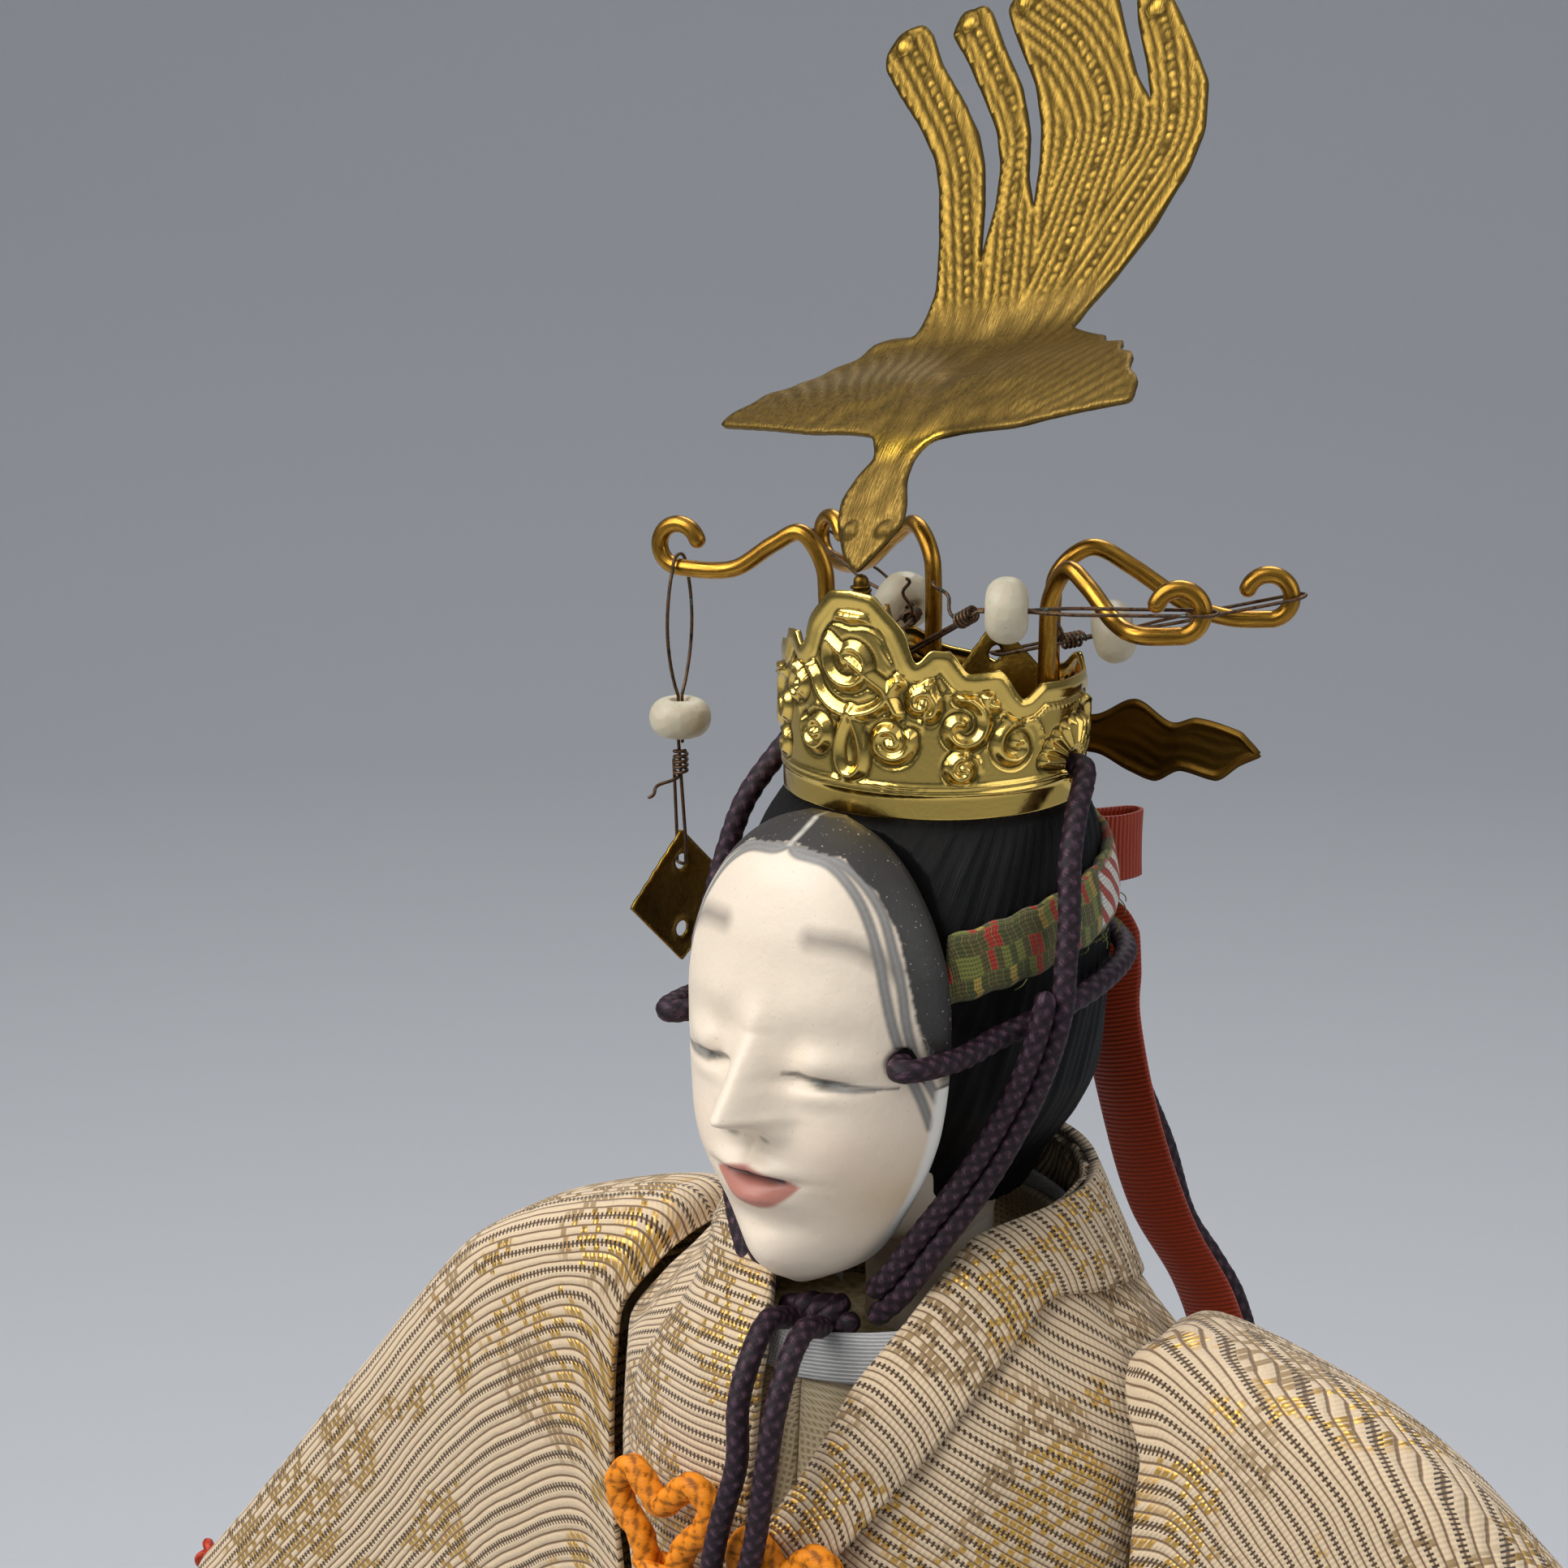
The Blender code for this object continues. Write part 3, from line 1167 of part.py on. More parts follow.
def hair():
    """The silk hair: a cap over the head, open at the face, where the mask lies."""
    shares = [row[0] for row in HAIR_SECTION_shares]
    heights = [HAIR_BOTTOM + share * (HAIR_TOP - HAIR_BOTTOM) for share in shares]
    rings = [oval_ring(hair_sizes(height), height, HAIR_STEPS) for height in heights]
    cap = turned(loft("hair", rings, HAIR_SILK))
    hollow = head_rings(2 * GAP)
    low = [p.copy() for p in hollow[0]]
    for point in low:
        point.z = HEAD_BOTTOM - OVERRUN
    cut(cap, turned(loft("hair_hollow", [low] + hollow)))
    reach = HAIR_HALF_WIDTH + OVERRUN
    corner = (-reach, -HAIR_FRONT - OVERRUN, HAIR_BOTTOM - OVERRUN)
    cut(cap, turned(block("hair_face", corner, (reach, -HAIR_FACE_PLANE, HAIR_TOP + OVERRUN))))


def mask_relief(x, z):
    """How far the carved features stand out from the mask's plain curve."""
    tip, bridge = NOSE_TIP_Z, NOSE_TIP_Z + NOSE_LENGTH
    if z < tip:
        profile = math.exp(-(((tip - z) / NOSE_UNDER) ** 2))
    else:
        profile = max(BRIDGE_share, 1 - (1 - BRIDGE_share) * (z - tip) / (bridge - tip))
        profile *= math.exp(-((max(0, z - bridge) / NOSE_WIDTH) ** 2))
    width = NOSE_WIDTH * (NOSE_RIDGE_share + (1 - NOSE_RIDGE_share) * profile)
    relief = NOSE_RISE * profile * math.exp(-((x / width) ** 2))
    relief += LIP_RISE * math.exp(-((x / LIP_WIDTH) ** 2) - ((z - LIP_Z) / (LIP_WIDTH / 2)) ** 2)
    relief += CHIN_RISE * math.exp(-((x / LIP_WIDTH) ** 2) - ((z - CHIN_Z) / LIP_WIDTH) ** 2)
    for side in (-1, 1):
        away = (x - side * EYE_OFFSET) / LIP_WIDTH
        relief -= EYE_SINK * math.exp(-(away**2) - ((z - EYE_Z) / NOSE_UNDER) ** 2)
        relief += CHEEK_RISE * math.exp(-(away**2) - ((z - NOSE_TIP_Z + NOSE_WIDTH) / LIP_WIDTH) ** 2)
    return relief


def mask_point(u, v, inside):
    """A point on the mask, u from edge to edge and v from the chin up, on its face or its hollow back."""
    height = MASK_BOTTOM + v * (MASK_TOP - MASK_BOTTOM)
    half = interpolate(MASK_WIDTH_shares, v, MASK_HALF_WIDTH)[0]
    depth = interpolate(MASK_DEPTH_shares, v, 1)[0]
    bulge = (1 - abs(u) ** 2.3) ** 0.55
    if inside:
        half = half - MASK_WALL * min(1, half / (2 * MASK_WALL))
        forward = (MASK_DEPTH + MASK_EDGE - MASK_WALL) * depth * bulge
        height += MASK_WALL * (0.5 - v) * (abs(2 * v - 1) ** 6)
        return Vector((half * u, -MASK_RIM_PLANE - forward, height))
    forward = MASK_EDGE + MASK_DEPTH * depth * bulge
    x = half * u
    return Vector((x, -MASK_RIM_PLANE - forward - mask_relief(x, height) * bulge, height))


def mask():
    """The carved mask: a thin shell with a face in relief, its back hollowed, and a hole for each cord."""
    even = np.linspace(0, 1, MASK_ROWS)
    levels = even + MASK_CROWDING_share * ((1 - np.cos(math.pi * even)) / 2 - even)
    places = np.sin(np.linspace(-math.pi / 2, math.pi / 2, MASK_COLUMNS))
    mesh = bmesh.new()
    face = skin(mesh, [[mask_point(u, v, False) for u in places] for v in levels], False, False)
    back = skin(mesh, [[mask_point(u, v, True) for u in places] for v in levels], False, False)
    close_edges(mesh, face, back)
    thing = turned(add_mesh("mask", mesh, GOFUN, crease=70))
    for side in (-1, 1):
        outer, inner = mask_hole(side)
        reach = (outer - inner).normalized() * OVERRUN
        cut(thing, turned(rod("mask_hole", inner - reach, outer + reach, MASK_CORD_HOLE, sides=12)))


def mask_hole(side):
    """Where a cord hole meets the mask's face and its hollow back."""
    share = (MASK_CORD_HOLE_Z - MASK_BOTTOM) / (MASK_TOP - MASK_BOTTOM)
    return [mask_point(side * MASK_HOLE_share, share, inside) for inside in (False, True)]


def rim(grid):
    """The vertices round the edge of a grid."""
    left = [row[0] for row in grid[-2:0:-1]]
    return grid[0] + [row[-1] for row in grid[1:-1]] + grid[-1][::-1] + left


def close_edges(mesh, face, back):
    """Join the rims of two grids of vertices into one closed skin."""
    outer, inner = rim(face), rim(back)
    for i in range(len(outer)):
        j = (i + 1) % len(outer)
        mesh.faces.new((outer[i], outer[j], inner[j], inner[i]))
    bmesh.ops.recalc_face_normals(mesh, faces=mesh.faces)


def headband():
    """The brocade band round the hair, higher at the back than at the mask, with its tied ribbon."""
    rows = []
    for share in (-0.5, 0, 0.5):
        row = []
        for i in range(BAND_COLUMNS):
            degrees = BAND_FRONT_degrees + (360 - 2 * BAND_FRONT_degrees) * i / (BAND_COLUMNS - 1)
            rise = math.sin(math.pi * i / (BAND_COLUMNS - 1))
            height = BAND_FRONT_Z + (BAND_BACK_Z - BAND_FRONT_Z) * rise + share * BAND_WIDTH
            row.append(hair_point(height, degrees, GAP + BAND_THICKNESS))
        rows.append(row)
    shell("headband", rows, BAND_THICKNESS, BROCADE)
    back = hair_sizes(RIBBON_Z)[2] + 2 * GAP + BAND_THICKNESS
    half = RIBBON_WIDTH / 2
    knot = (RIBBON_KNOT / 2, RIBBON_KNOT / 2)
    low = (-knot[0], back, RIBBON_Z - half)
    block("ribbon_knot", low, (knot[0], back + RIBBON_KNOT * 0.7, RIBBON_Z + half), RED_RIBBON)
    start = Vector((knot[0] + GAP, back + RIBBON_KNOT * 0.2, 0))
    loop = [start + Vector((a * RIBBON_LOOP, b * RIBBON_LOOP, 0)) for a, b in RIBBON_LOOP_shares]
    path = smooth_route(loop, LOOP_POINTS)
    rows = [[p + Vector((0, 0, RIBBON_Z + share * half)) for p in path] for share in (-1, 1)]
    shell("ribbon_loop", rows, RIBBON_THICKNESS, RED_RIBBON)


def ribbon_tail(name, shares):
    """A flat ribbon tail that hangs down the back."""
    path = smooth_route([from_chin(p) for p in shares], TAIL_POINTS)
    rows = []
    for share in (-1, 0, 1):
        rows.append([p + Vector((share * RIBBON_WIDTH / 2, 0, 0)) for p in path])
    shell(name, rows, RIBBON_THICKNESS, RED_RIBBON)


def crown_polar(radius, degrees, height):
    """A point at a radius and an angle from the front."""
    angle = math.radians(degrees)
    return Vector((radius * math.sin(angle), -radius * math.cos(angle), height))


def crown_relief(degrees, rise):
    """How far the embossed cloud scrolls stand out, at an angle and a height above the base edge."""
    turn = (degrees + 180) % 360 - 180
    across = math.radians(turn) * CROWN_RADIUS
    relief = 0
    for place, level, size in CLOUD_shares:
        for side in (-1, 1):
            x = across - side * math.radians(place) * CROWN_RADIUS
            away = math.hypot(x, rise - level * CROWN_CREST)
            ridge = (away - size * CROWN_CREST) / CLOUD_LINE
            relief = max(relief, math.exp(-(ridge**2)), math.exp(-((away / CLOUD_LINE / 1.4) ** 2)))
    fade = min(1, max(0, (rise - CROWN_RELIEF_BOTTOM) / CLOUD_LINE))
    return CROWN_RELIEF * relief * fade


def crown_band():
    """The stamped crown: a brass band with a scalloped top, a raised line and cloud scrolls."""
    edge = CROWN_EDGE_shares
    foot_rows = CROWN_FOOT_shares
    rows = [[] for _ in range(len(foot_rows) + CROWN_ROWS)]
    for j in range(CROWN_COLUMNS):
        degrees = 360 * j / CROWN_COLUMNS
        top = interpolate(edge, min(degrees, 360 - degrees), CROWN_CREST)[0]
        for i, share in enumerate(foot_rows):
            line = CROWN_LINE if share == 1 else 0
            height = CROWN_BASE + share * CROWN_LINE_HEIGHT
            rows[i].append(crown_polar(CROWN_RADIUS + line, degrees, height))
        low = foot_rows[-1] * CROWN_LINE_HEIGHT
        for i in range(CROWN_ROWS):
            rise = low + (top - low) * (i + 1) / CROWN_ROWS
            out = crown_relief(degrees, rise) * (1 - (i + 1 == CROWN_ROWS))
            rows[len(foot_rows) + i].append(crown_polar(CROWN_RADIUS + out, degrees, CROWN_BASE + rise))
    band_shell = shell("crown_band", rows, CROWN_WALL, BRASS, around=True, crease=50)
    for side in (-1, 1):
        height = CROWN_BASE + CROWN_HOLE_HEIGHT
        near = crown_polar(CROWN_RADIUS / 2, side * CROWN_HOLE_degrees, height)
        far = crown_polar(CROWN_RADIUS * 1.5, side * CROWN_HOLE_degrees, height)
        cut(band_shell, rod("cord_hole", near, far, CROWN_HOLE, sides=16))


def flat_plate(name, outline, thickness, look):
    """A flat outline in X and Z, with its thickness along Y."""
    curve = bpy.data.curves.new(name, "CURVE")
    curve.dimensions = "2D"
    curve.fill_mode = "BOTH"
    curve.extrude = thickness / 2
    spline = curve.splines.new("POLY")
    spline.points.add(len(outline) - 1)
    spline.use_cyclic_u = True
    for knot, (x, z) in zip(spline.points, outline):
        knot.co = (x, z, 0, 1)
    plate = add_object(name, curve, look)
    plate.rotation_euler.x = math.pi / 2
    bpy.context.view_layer.update()
    return plate


def crown_leaf():
    """The plain tongue of the band that stands out behind the crown on its left."""
    outline = [(LEAF_X + x * LEAF_LENGTH, CROWN_BASE + z * LEAF_LENGTH) for x, z in LEAF_OUTLINE_shares]
    leaf = flat_plate("crown_leaf", outline, LEAF_THICKNESS, DARK_BRASS)
    leaf.location.y = LEAF_PLANE


def crown_arms():
    """The four wire arms: stem, arch and end loop, each with its pendant."""
    for word, setting in PENDANT_shares.items():
        side = setting["side"]
        turn = math.radians(setting["turn"])
        out = Vector((side * math.cos(turn), math.sin(turn), 0))
        stem_x, stem_y = setting["stem"]
        foot_place = from_crown((side * stem_x, stem_y, 0)) + UP * ARM_FOOT
        eye_x, eye_y, eye_z = setting["eye"]
        centre = from_crown((side * eye_x, eye_y, eye_z))
        low = centre - UP * EYE_RADIUS
        entry = low - out * EYE_RADIUS * 1.7
        path = [foot_place, foot_place + UP * ARM_STEM]
        for share, rise in ARM_ARCH_shares:
            spot = path[1].lerp(entry, share)
            spot.z += rise * ARM_ARCH
            path.append(spot)
        path.append(entry)
        for degrees in np.linspace(*EYE_degrees, EYE_POINTS):
            angle = math.radians(degrees)
            path.append(centre + (out * math.cos(angle) + UP * math.sin(angle)) * EYE_RADIUS)
        tube(f"crown_arm_{word}", smooth_route(path, ARM_POINTS), ARM_ROD, WIRE_BRASS, detail=1)
        pendant(word, setting, centre, out)


def pendant(word, setting, centre, out):
    """A doubled wire through the arm's end loop, with a glass bead on it and a pierced plate below."""
    folded = setting["bead"] is not None
    seat = centre + (out if folded else -UP) * EYE_RADIUS
    bead = from_crown(setting["bead"]) if folded else seat - UP * PENDANT_LENGTH
    axis = (bead - seat).normalized()
    across = axis.cross(UP).normalized() if folded else out.cross(UP).normalized()
    hole = from_crown(setting["hole"]) if folded else bead - UP * DROP_WIRE
    loose = ARM_ROD + GAP + PENDANT_WIRE
    thread = BEAD_BORE - GAP - PENDANT_WIRE
    path = []
    for i in range(7):
        angle = math.pi * i / 6
        path.append(seat + across * (loose * math.cos(angle)) - axis * (loose * math.sin(angle)))
    half = BEAD_HEIGHT / 2 + GAP
    down = (hole - bead - axis * half).normalized()
    face = UP.cross(down).normalized() if folded else Vector(setting["face"]).normalized()
    reach = STRADDLE if folded else 2 * loose
    near = [seat + across * loose + axis * reach, bead - axis * half + across * thread]
    start = [bead + axis * (half + GAP) + across * thread]
    far = [seat - across * loose + axis * reach, bead - axis * half - across * thread]
    below = bead + axis * (half + GAP)
    loop_half = PLATE_THICKNESS / 2 + GAP + PENDANT_WIRE
    flip = -1 if face.dot(across) > 0 else 1
    loop = [below - across * thread, hole - down * loop_half * 4 + face * loop_half * flip]
    for i in range(5):
        angle = math.pi * i / 4
        bend = face * (flip * math.cos(angle)) + down * (LOOP_BEND_share * math.sin(angle))
        loop.append(hole + bend * loop_half)
    loop.append(hole - down * loop_half * 4 - face * loop_half * flip)
    loop.append(below + down * loose * 1.5 - face * loop_half * flip * 1.6)
    route = start + near[::-1] + path + far + loop
    wire = tube(f"pendant_wire_{word}", route, PENDANT_WIRE, WIRE_COPPER, detail=1)
    hang_from(as_mesh_kept(wire), seat)
    glass = bead_solid(f"bead_{word}", bead, axis)
    hang_from(glass, seat)
    plate(f"plate_{word}", hole, face)


def as_mesh_kept(thing):
    """The mesh object of a curve object, under the same name and material."""
    name, look = thing.name, thing.data.materials[0]
    solid = as_mesh(thing, look)
    solid.name = name
    return solid


def bead_solid(name, place, axis):
    """A squashed glass bead with a wide bore."""
    curve = []
    for i in range(7):
        angle = math.pi / 2 - math.pi * i / 6
        radius = BEAD_BORE + (BEAD_RADIUS - BEAD_BORE) * math.cos(angle) ** 0.8
        curve.append((radius, BEAD_HEIGHT / 2 * math.sin(angle)))
    mesh = bmesh.new()
    rings = []
    for radius, height in curve[1:-1]:
        rings.append([crown_polar(radius, 360 * k / 12, height) for k in range(12)])
    for height in (-BEAD_HEIGHT / 2.4, BEAD_HEIGHT / 2.4):
        rings.append([crown_polar(BEAD_BORE, 360 * k / 12, height) for k in range(12)])
    skin(mesh, rings, True, True)
    bmesh.ops.recalc_face_normals(mesh, faces=mesh.faces)
    turn = UP.rotation_difference(axis).to_matrix().to_4x4()
    bmesh.ops.transform(mesh, matrix=Matrix.Translation(place) @ turn, verts=mesh.verts)
    return add_mesh(name, mesh, GLASS)


def plate(name, hole, face):
    """A square brass plate hung by one corner, with two punched holes."""
    side = face.cross(UP).normalized()
    middle = hole - UP * (PLATE_SIDE / math.sqrt(2) - PLATE_HOLE_INSET)
    mesh = bmesh.new()
    bmesh.ops.create_cube(mesh, size=1)
    bmesh.ops.scale(mesh, vec=(PLATE_SIDE, PLATE_THICKNESS, PLATE_SIDE), verts=mesh.verts)
    quarter = Matrix.Rotation(math.pi / 4, 4, "Y")
    frame = Matrix((side, face, UP)).transposed().to_4x4()
    bmesh.ops.transform(mesh, matrix=Matrix.Translation(middle) @ frame @ quarter, verts=mesh.verts)
    bmesh.ops.recalc_face_normals(mesh, faces=mesh.faces)
    square = add_mesh(name, mesh, BRASS_PLATE, crease=30)
    hang_from(square, hole)
    low = hole - UP * (PLATE_SIDE * math.sqrt(2) - 2 * PLATE_HOLE_INSET)
    for spot in (hole, low):
        reach = face * OVERRUN / 2
        cut(square, rod(f"{name}_hole", spot - reach, spot + reach, PLATE_HOLE, sides=12))
    square.parent = bpy.data.objects[name.replace("plate", "bead")]
    bpy.context.view_layer.update()
    square.matrix_parent_inverse = square.parent.matrix_world.inverted()


def phoenix_place(across, along, lift):
    """Where a point of the flat stamping lies once its body and tail are bent up and it leans.
    The lift is a distance square to the bent sheet."""
    line = np.array(PHOENIX_LINE_shares) * PHOENIX_LENGTH
    lengths = np.concatenate([[0], np.cumsum(np.linalg.norm(np.diff(line, axis=0), axis=1))])
    back, up = (float(np.interp(along, lengths, column)) for column in line.T)
    ahead, behind = (
        Vector((0, *(float(np.interp(along + step, lengths, column)) for column in line.T)))
        for step in (PHOENIX_THICKNESS, -PHOENIX_THICKNESS)
    )
    width = Vector((math.cos(PHOENIX_ROLL), 0, math.sin(PHOENIX_ROLL)))
    bulge = PHOENIX_BODY_RISE * math.exp(-((across / PHOENIX_BODY_WIDTH) ** 2))
    bulge *= math.exp(-(((along - lengths[3]) / (lengths[2])) ** 2))
    swell = bulge * PHOENIX_SWELL_share
    place = Vector((0, PHOENIX_FOOT_Y + back - swell, PHOENIX_FOOT_Z + up - swell)) + width * across
    return place + width.cross(ahead - behind).normalized() * lift


def stamping():
    """The flat stamping in well-shaped triangles: its outline, its bend lines and points between them."""
    line = np.array(PHOENIX_LINE_shares) * PHOENIX_LENGTH
    bends = np.cumsum(np.linalg.norm(np.diff(line, axis=0), axis=1))
    outline = np.array(PHOENIX_OUTLINE_shares) * PHOENIX_LENGTH
    near = np.abs(outline[:, 1, None] - bends)
    nearest = bends[near.argmin(axis=1)]
    outline[:, 1] = np.where(near.min(axis=1) < PHOENIX_SNAP, nearest, outline[:, 1])
    ends = np.roll(outline, -1, axis=0)
    rows = np.sort(np.concatenate([bends, bends[:-1] + np.diff(bends) / 2]))
    inner = []
    for along in rows:
        for column in range(-PHOENIX_COLUMNS, PHOENIX_COLUMNS + 1):
            spot = np.array((column * PHOENIX_STEP, along))
            crossed = (outline[:, 1] > along) != (ends[:, 1] > along)
            rise = np.where(crossed, ends[:, 1] - outline[:, 1], 1)
            where = outline[:, 0] + (along - outline[:, 1]) * (ends[:, 0] - outline[:, 0]) / rise
            inside = np.count_nonzero(crossed & (where > spot[0])) % 2
            way = ends - outline
            share = np.clip(((spot - outline) * way).sum(axis=1) / (way**2).sum(axis=1), 0, 1)
            clear = np.linalg.norm(spot - outline - way * share[:, None], axis=1).min() > PHOENIX_CLEAR
            if inside and clear:
                inner.append(spot)
    count = len(outline)
    across = PHOENIX_STEP * PHOENIX_COLUMNS
    lines = [(side * across, bend) for bend in bends[:-1] for side in (-1, 1)]
    places = [Vector(spot) for spot in (*outline, *inner, *lines)]
    edges = [(number, (number + 1) % count) for number in range(count)]
    first = count + len(inner)
    edges += [(first + 2 * number, first + 2 * number + 1) for number in range(len(bends) - 1)]
    found = delaunay_2d_cdt(places, edges, [list(range(count))], 1, WELD)
    return found[0], found[2]


def phoenix():
    """The stamped brass phoenix, flying head down over the crest with its tail bent up, and its stem."""
    places, triangles = stamping()
    mesh = bmesh.new()
    layers = [
        [mesh.verts.new(phoenix_place(place.x, place.y, lift)) for place in places]
        for lift in (PHOENIX_THICKNESS / 2, -PHOENIX_THICKNESS / 2)
    ]
    sides = {(a, b) for face in triangles for a, b in zip(face, face[1:] + face[:1])}
    for face in triangles:
        for layer in layers:
            mesh.faces.new([layer[number] for number in face])
    for a, b in sides:
        if (b, a) not in sides:
            mesh.faces.new((layers[0][a], layers[0][b], layers[1][b]))
            mesh.faces.new((layers[0][a], layers[1][b], layers[1][a]))
    loose = [vertex for vertex in mesh.verts if not vertex.link_faces]
    bmesh.ops.delete(mesh, geom=loose, context="VERTS")
    bmesh.ops.recalc_face_normals(mesh, faces=mesh.faces)
    add_mesh("phoenix", mesh, BRASS_BIRD, crease=50)
    foot_place = (0, PHOENIX_STEM_Y, CROWN_BASE + ARM_FOOT)
    top = (0, PHOENIX_STEM_Y, PHOENIX_FOOT_Z - PHOENIX_THICKNESS - GAP)
    rod("phoenix_stem", foot_place, top, PHOENIX_STEM, DARK_BRASS, sides=16)


def head_cords():
    """The purple cords: one ties the mask behind the head, two tie the crown under the chin."""
    route = [
        hair_point(CHIN_HEIGHT + up * HEAD_HALF, degrees, CORD + GAP * 2)
        for up, degrees in MASK_CORD_ROUTE_shares
    ]
    outer, inner = mask_hole(1)
    out = (outer - inner).normalized()
    front = [(outer + inner) / 2, outer + out * CORD * 1.5] + [from_chin(p) for p in MASK_CORD_FRONT_shares]
    turn = Matrix.Rotation(HEAD_YAW, 3, "Z")
    left = [turn @ p for p in front]
    right = [turn @ Vector((-p.x, p.y, p.z)) for p in front]
    path = left + route + right[::-1]
    tube("mask_cord", smooth_route(path, 28), CORD, PURPLE_CORD)
    for side, word in ((-1, "right"), (1, "left")):
        points = [from_chin((side * x, y, z)) for x, y, z in CROWN_CORD_ROUTE_shares]
        tube(f"crown_cord_{word}", smooth_route(points, 19), CORD, PURPLE_CORD)
    radii = [share * CORD for share in CHIN_KNOT_RADII_shares]
    ball("chin_knot", from_chin(CHIN_KNOT_shares), radii, PURPLE_CORD)
    radii = [share * CORD for share in BACK_KNOT_RADII_shares]
    ball("back_knot", from_chin(BACK_KNOT_shares), radii, PURPLE_CORD)
    for word, shares in FREE_CORDS_shares.items():
        route = [from_chin(p) for p in shares]
        length = sum((b - a).length for a, b in zip(route, route[1:]))
        count = min(80, round(length / (CORD * 5)))
        tube(word, smooth_route(route, count), CORD, PURPLE_CORD)


def chest_knots():
    """The orange cords tied on the robe's collar: two upright loops and two short ends."""
    for word, shares in CHEST_KNOTS_shares.items():
        middle = from_chin(shares)
        points = [middle + Vector((a * KNOT_SIZE, 0, b * KNOT_SIZE)) for a, b in KNOT_LOOP_shares]
        tube(f"chest_knot_{word}", smooth_route(points, 25), PIPED_CORD, ORANGE_CORD, detail=1)


def main():
    """Build every piece, from the board up."""
    base_board()
    legs()
    body_core()
    arms()
    skirt()
    sash()
    inner_robe()
    outer_robe()
    sleeves()
    chest_knots()
    head()
    hair()
    mask()
    headband()
    for name, shares in RIBBON_TAILS_shares.items():
        ribbon_tail(name, shares)
    crown_band()
    crown_leaf()
    crown_arms()
    phoenix()
    head_cords()


for old in list(bpy.data.objects):
    bpy.data.objects.remove(old)
PARTS = bpy.data.collections.new("noh_dancer_doll")
CUTTERS = bpy.data.collections.new("cutters")
bpy.context.scene.collection.children.link(PARTS)
bpy.context.scene.collection.children.link(CUTTERS)
ROOT = bpy.data.objects.new("doll_origin", None)
PARTS.objects.link(ROOT)

LACQUER = material("black_lacquer", (0.012, 0.010, 0.010), 0.18)
WHITE_COTTON = material("white_cotton", (0.86, 0.85, 0.82), 0.9)
BARE_WOOD = material("bare_wood", (0.62, 0.44, 0.26), 0.7)
STRAW = material("wrapped_straw", (0.66, 0.56, 0.38), 0.9)
IRON_WIRE = material("iron_wire", (0.20, 0.19, 0.18), 0.5, 0.9)
GOFUN = material("shell_white", (0.83, 0.76, 0.69), 0.45)
SKIRT_SILK = material("skirt_silk", (0.45, 0.07, 0.05), 0.7)
INNER_SILK = material("under_robe_silk", (0.78, 0.70, 0.58), 0.75)
WHITE_SILK = material("collar_silk", (0.82, 0.82, 0.80), 0.7)
SASH_SILK = material("sash_silk", (0.70, 0.62, 0.46), 0.7)
GAUZE = material("cream_gold_gauze", (0.72, 0.62, 0.46), 0.7)
RED_CORD = material("red_cord", (0.55, 0.09, 0.03), 0.8)
ORANGE_CORD = material("orange_cord", (0.80, 0.33, 0.02), 0.8)
PURPLE_CORD = material("purple_cord", (0.06, 0.025, 0.035), 0.8)
HAIR_SILK = material("black_hair_silk", (0.012, 0.012, 0.015), 0.35)
BROCADE = material("brocade", (0.42, 0.36, 0.16), 0.6)
RED_RIBBON = material("red_ribbon", (0.55, 0.10, 0.05), 0.7)
BRASS = material("crown_brass", (0.72, 0.55, 0.20), 0.28, 1.0)
DARK_BRASS = material("dark_brass", (0.30, 0.23, 0.09), 0.4, 1.0)
WIRE_BRASS = material("wire_brass", (0.62, 0.46, 0.18), 0.35, 1.0)
WIRE_COPPER = material("oxidised_copper_wire", (0.16, 0.11, 0.07), 0.5, 1.0)
GLASS = material("frosted_glass", (0.80, 0.74, 0.60), 0.5)
BRASS_PLATE = material("brass_plate", (0.50, 0.40, 0.16), 0.35, 1.0)
BRASS_BIRD = material("phoenix_brass", (0.45, 0.33, 0.12), 0.4, 1.0)

main()
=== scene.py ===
"""The looks of a masked Noh dancer doll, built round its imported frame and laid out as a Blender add-on."""

import math

import bpy
import numpy as np
from bpy.props import FloatProperty, FloatVectorProperty, PointerProperty
from mathutils import Color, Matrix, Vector
from mathutils.geometry import delaunay_2d_cdt


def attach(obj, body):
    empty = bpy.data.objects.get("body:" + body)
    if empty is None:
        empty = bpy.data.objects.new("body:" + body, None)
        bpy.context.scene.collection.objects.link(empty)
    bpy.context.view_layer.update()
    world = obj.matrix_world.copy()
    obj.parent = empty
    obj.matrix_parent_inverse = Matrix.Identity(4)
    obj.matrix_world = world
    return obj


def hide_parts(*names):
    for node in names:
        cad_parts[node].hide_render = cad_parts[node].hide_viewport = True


bl_info = {
    "name": "Noh dancer doll",
    "version": (1, 0, 0),
    "blender": (4, 5, 0),
    "location": "3D View > Sidebar > Doll",
    "description": "Dresses the frame of a masked costume doll: mask, hair, crown, phoenix, cords and robes",
    "category": "Object",
}

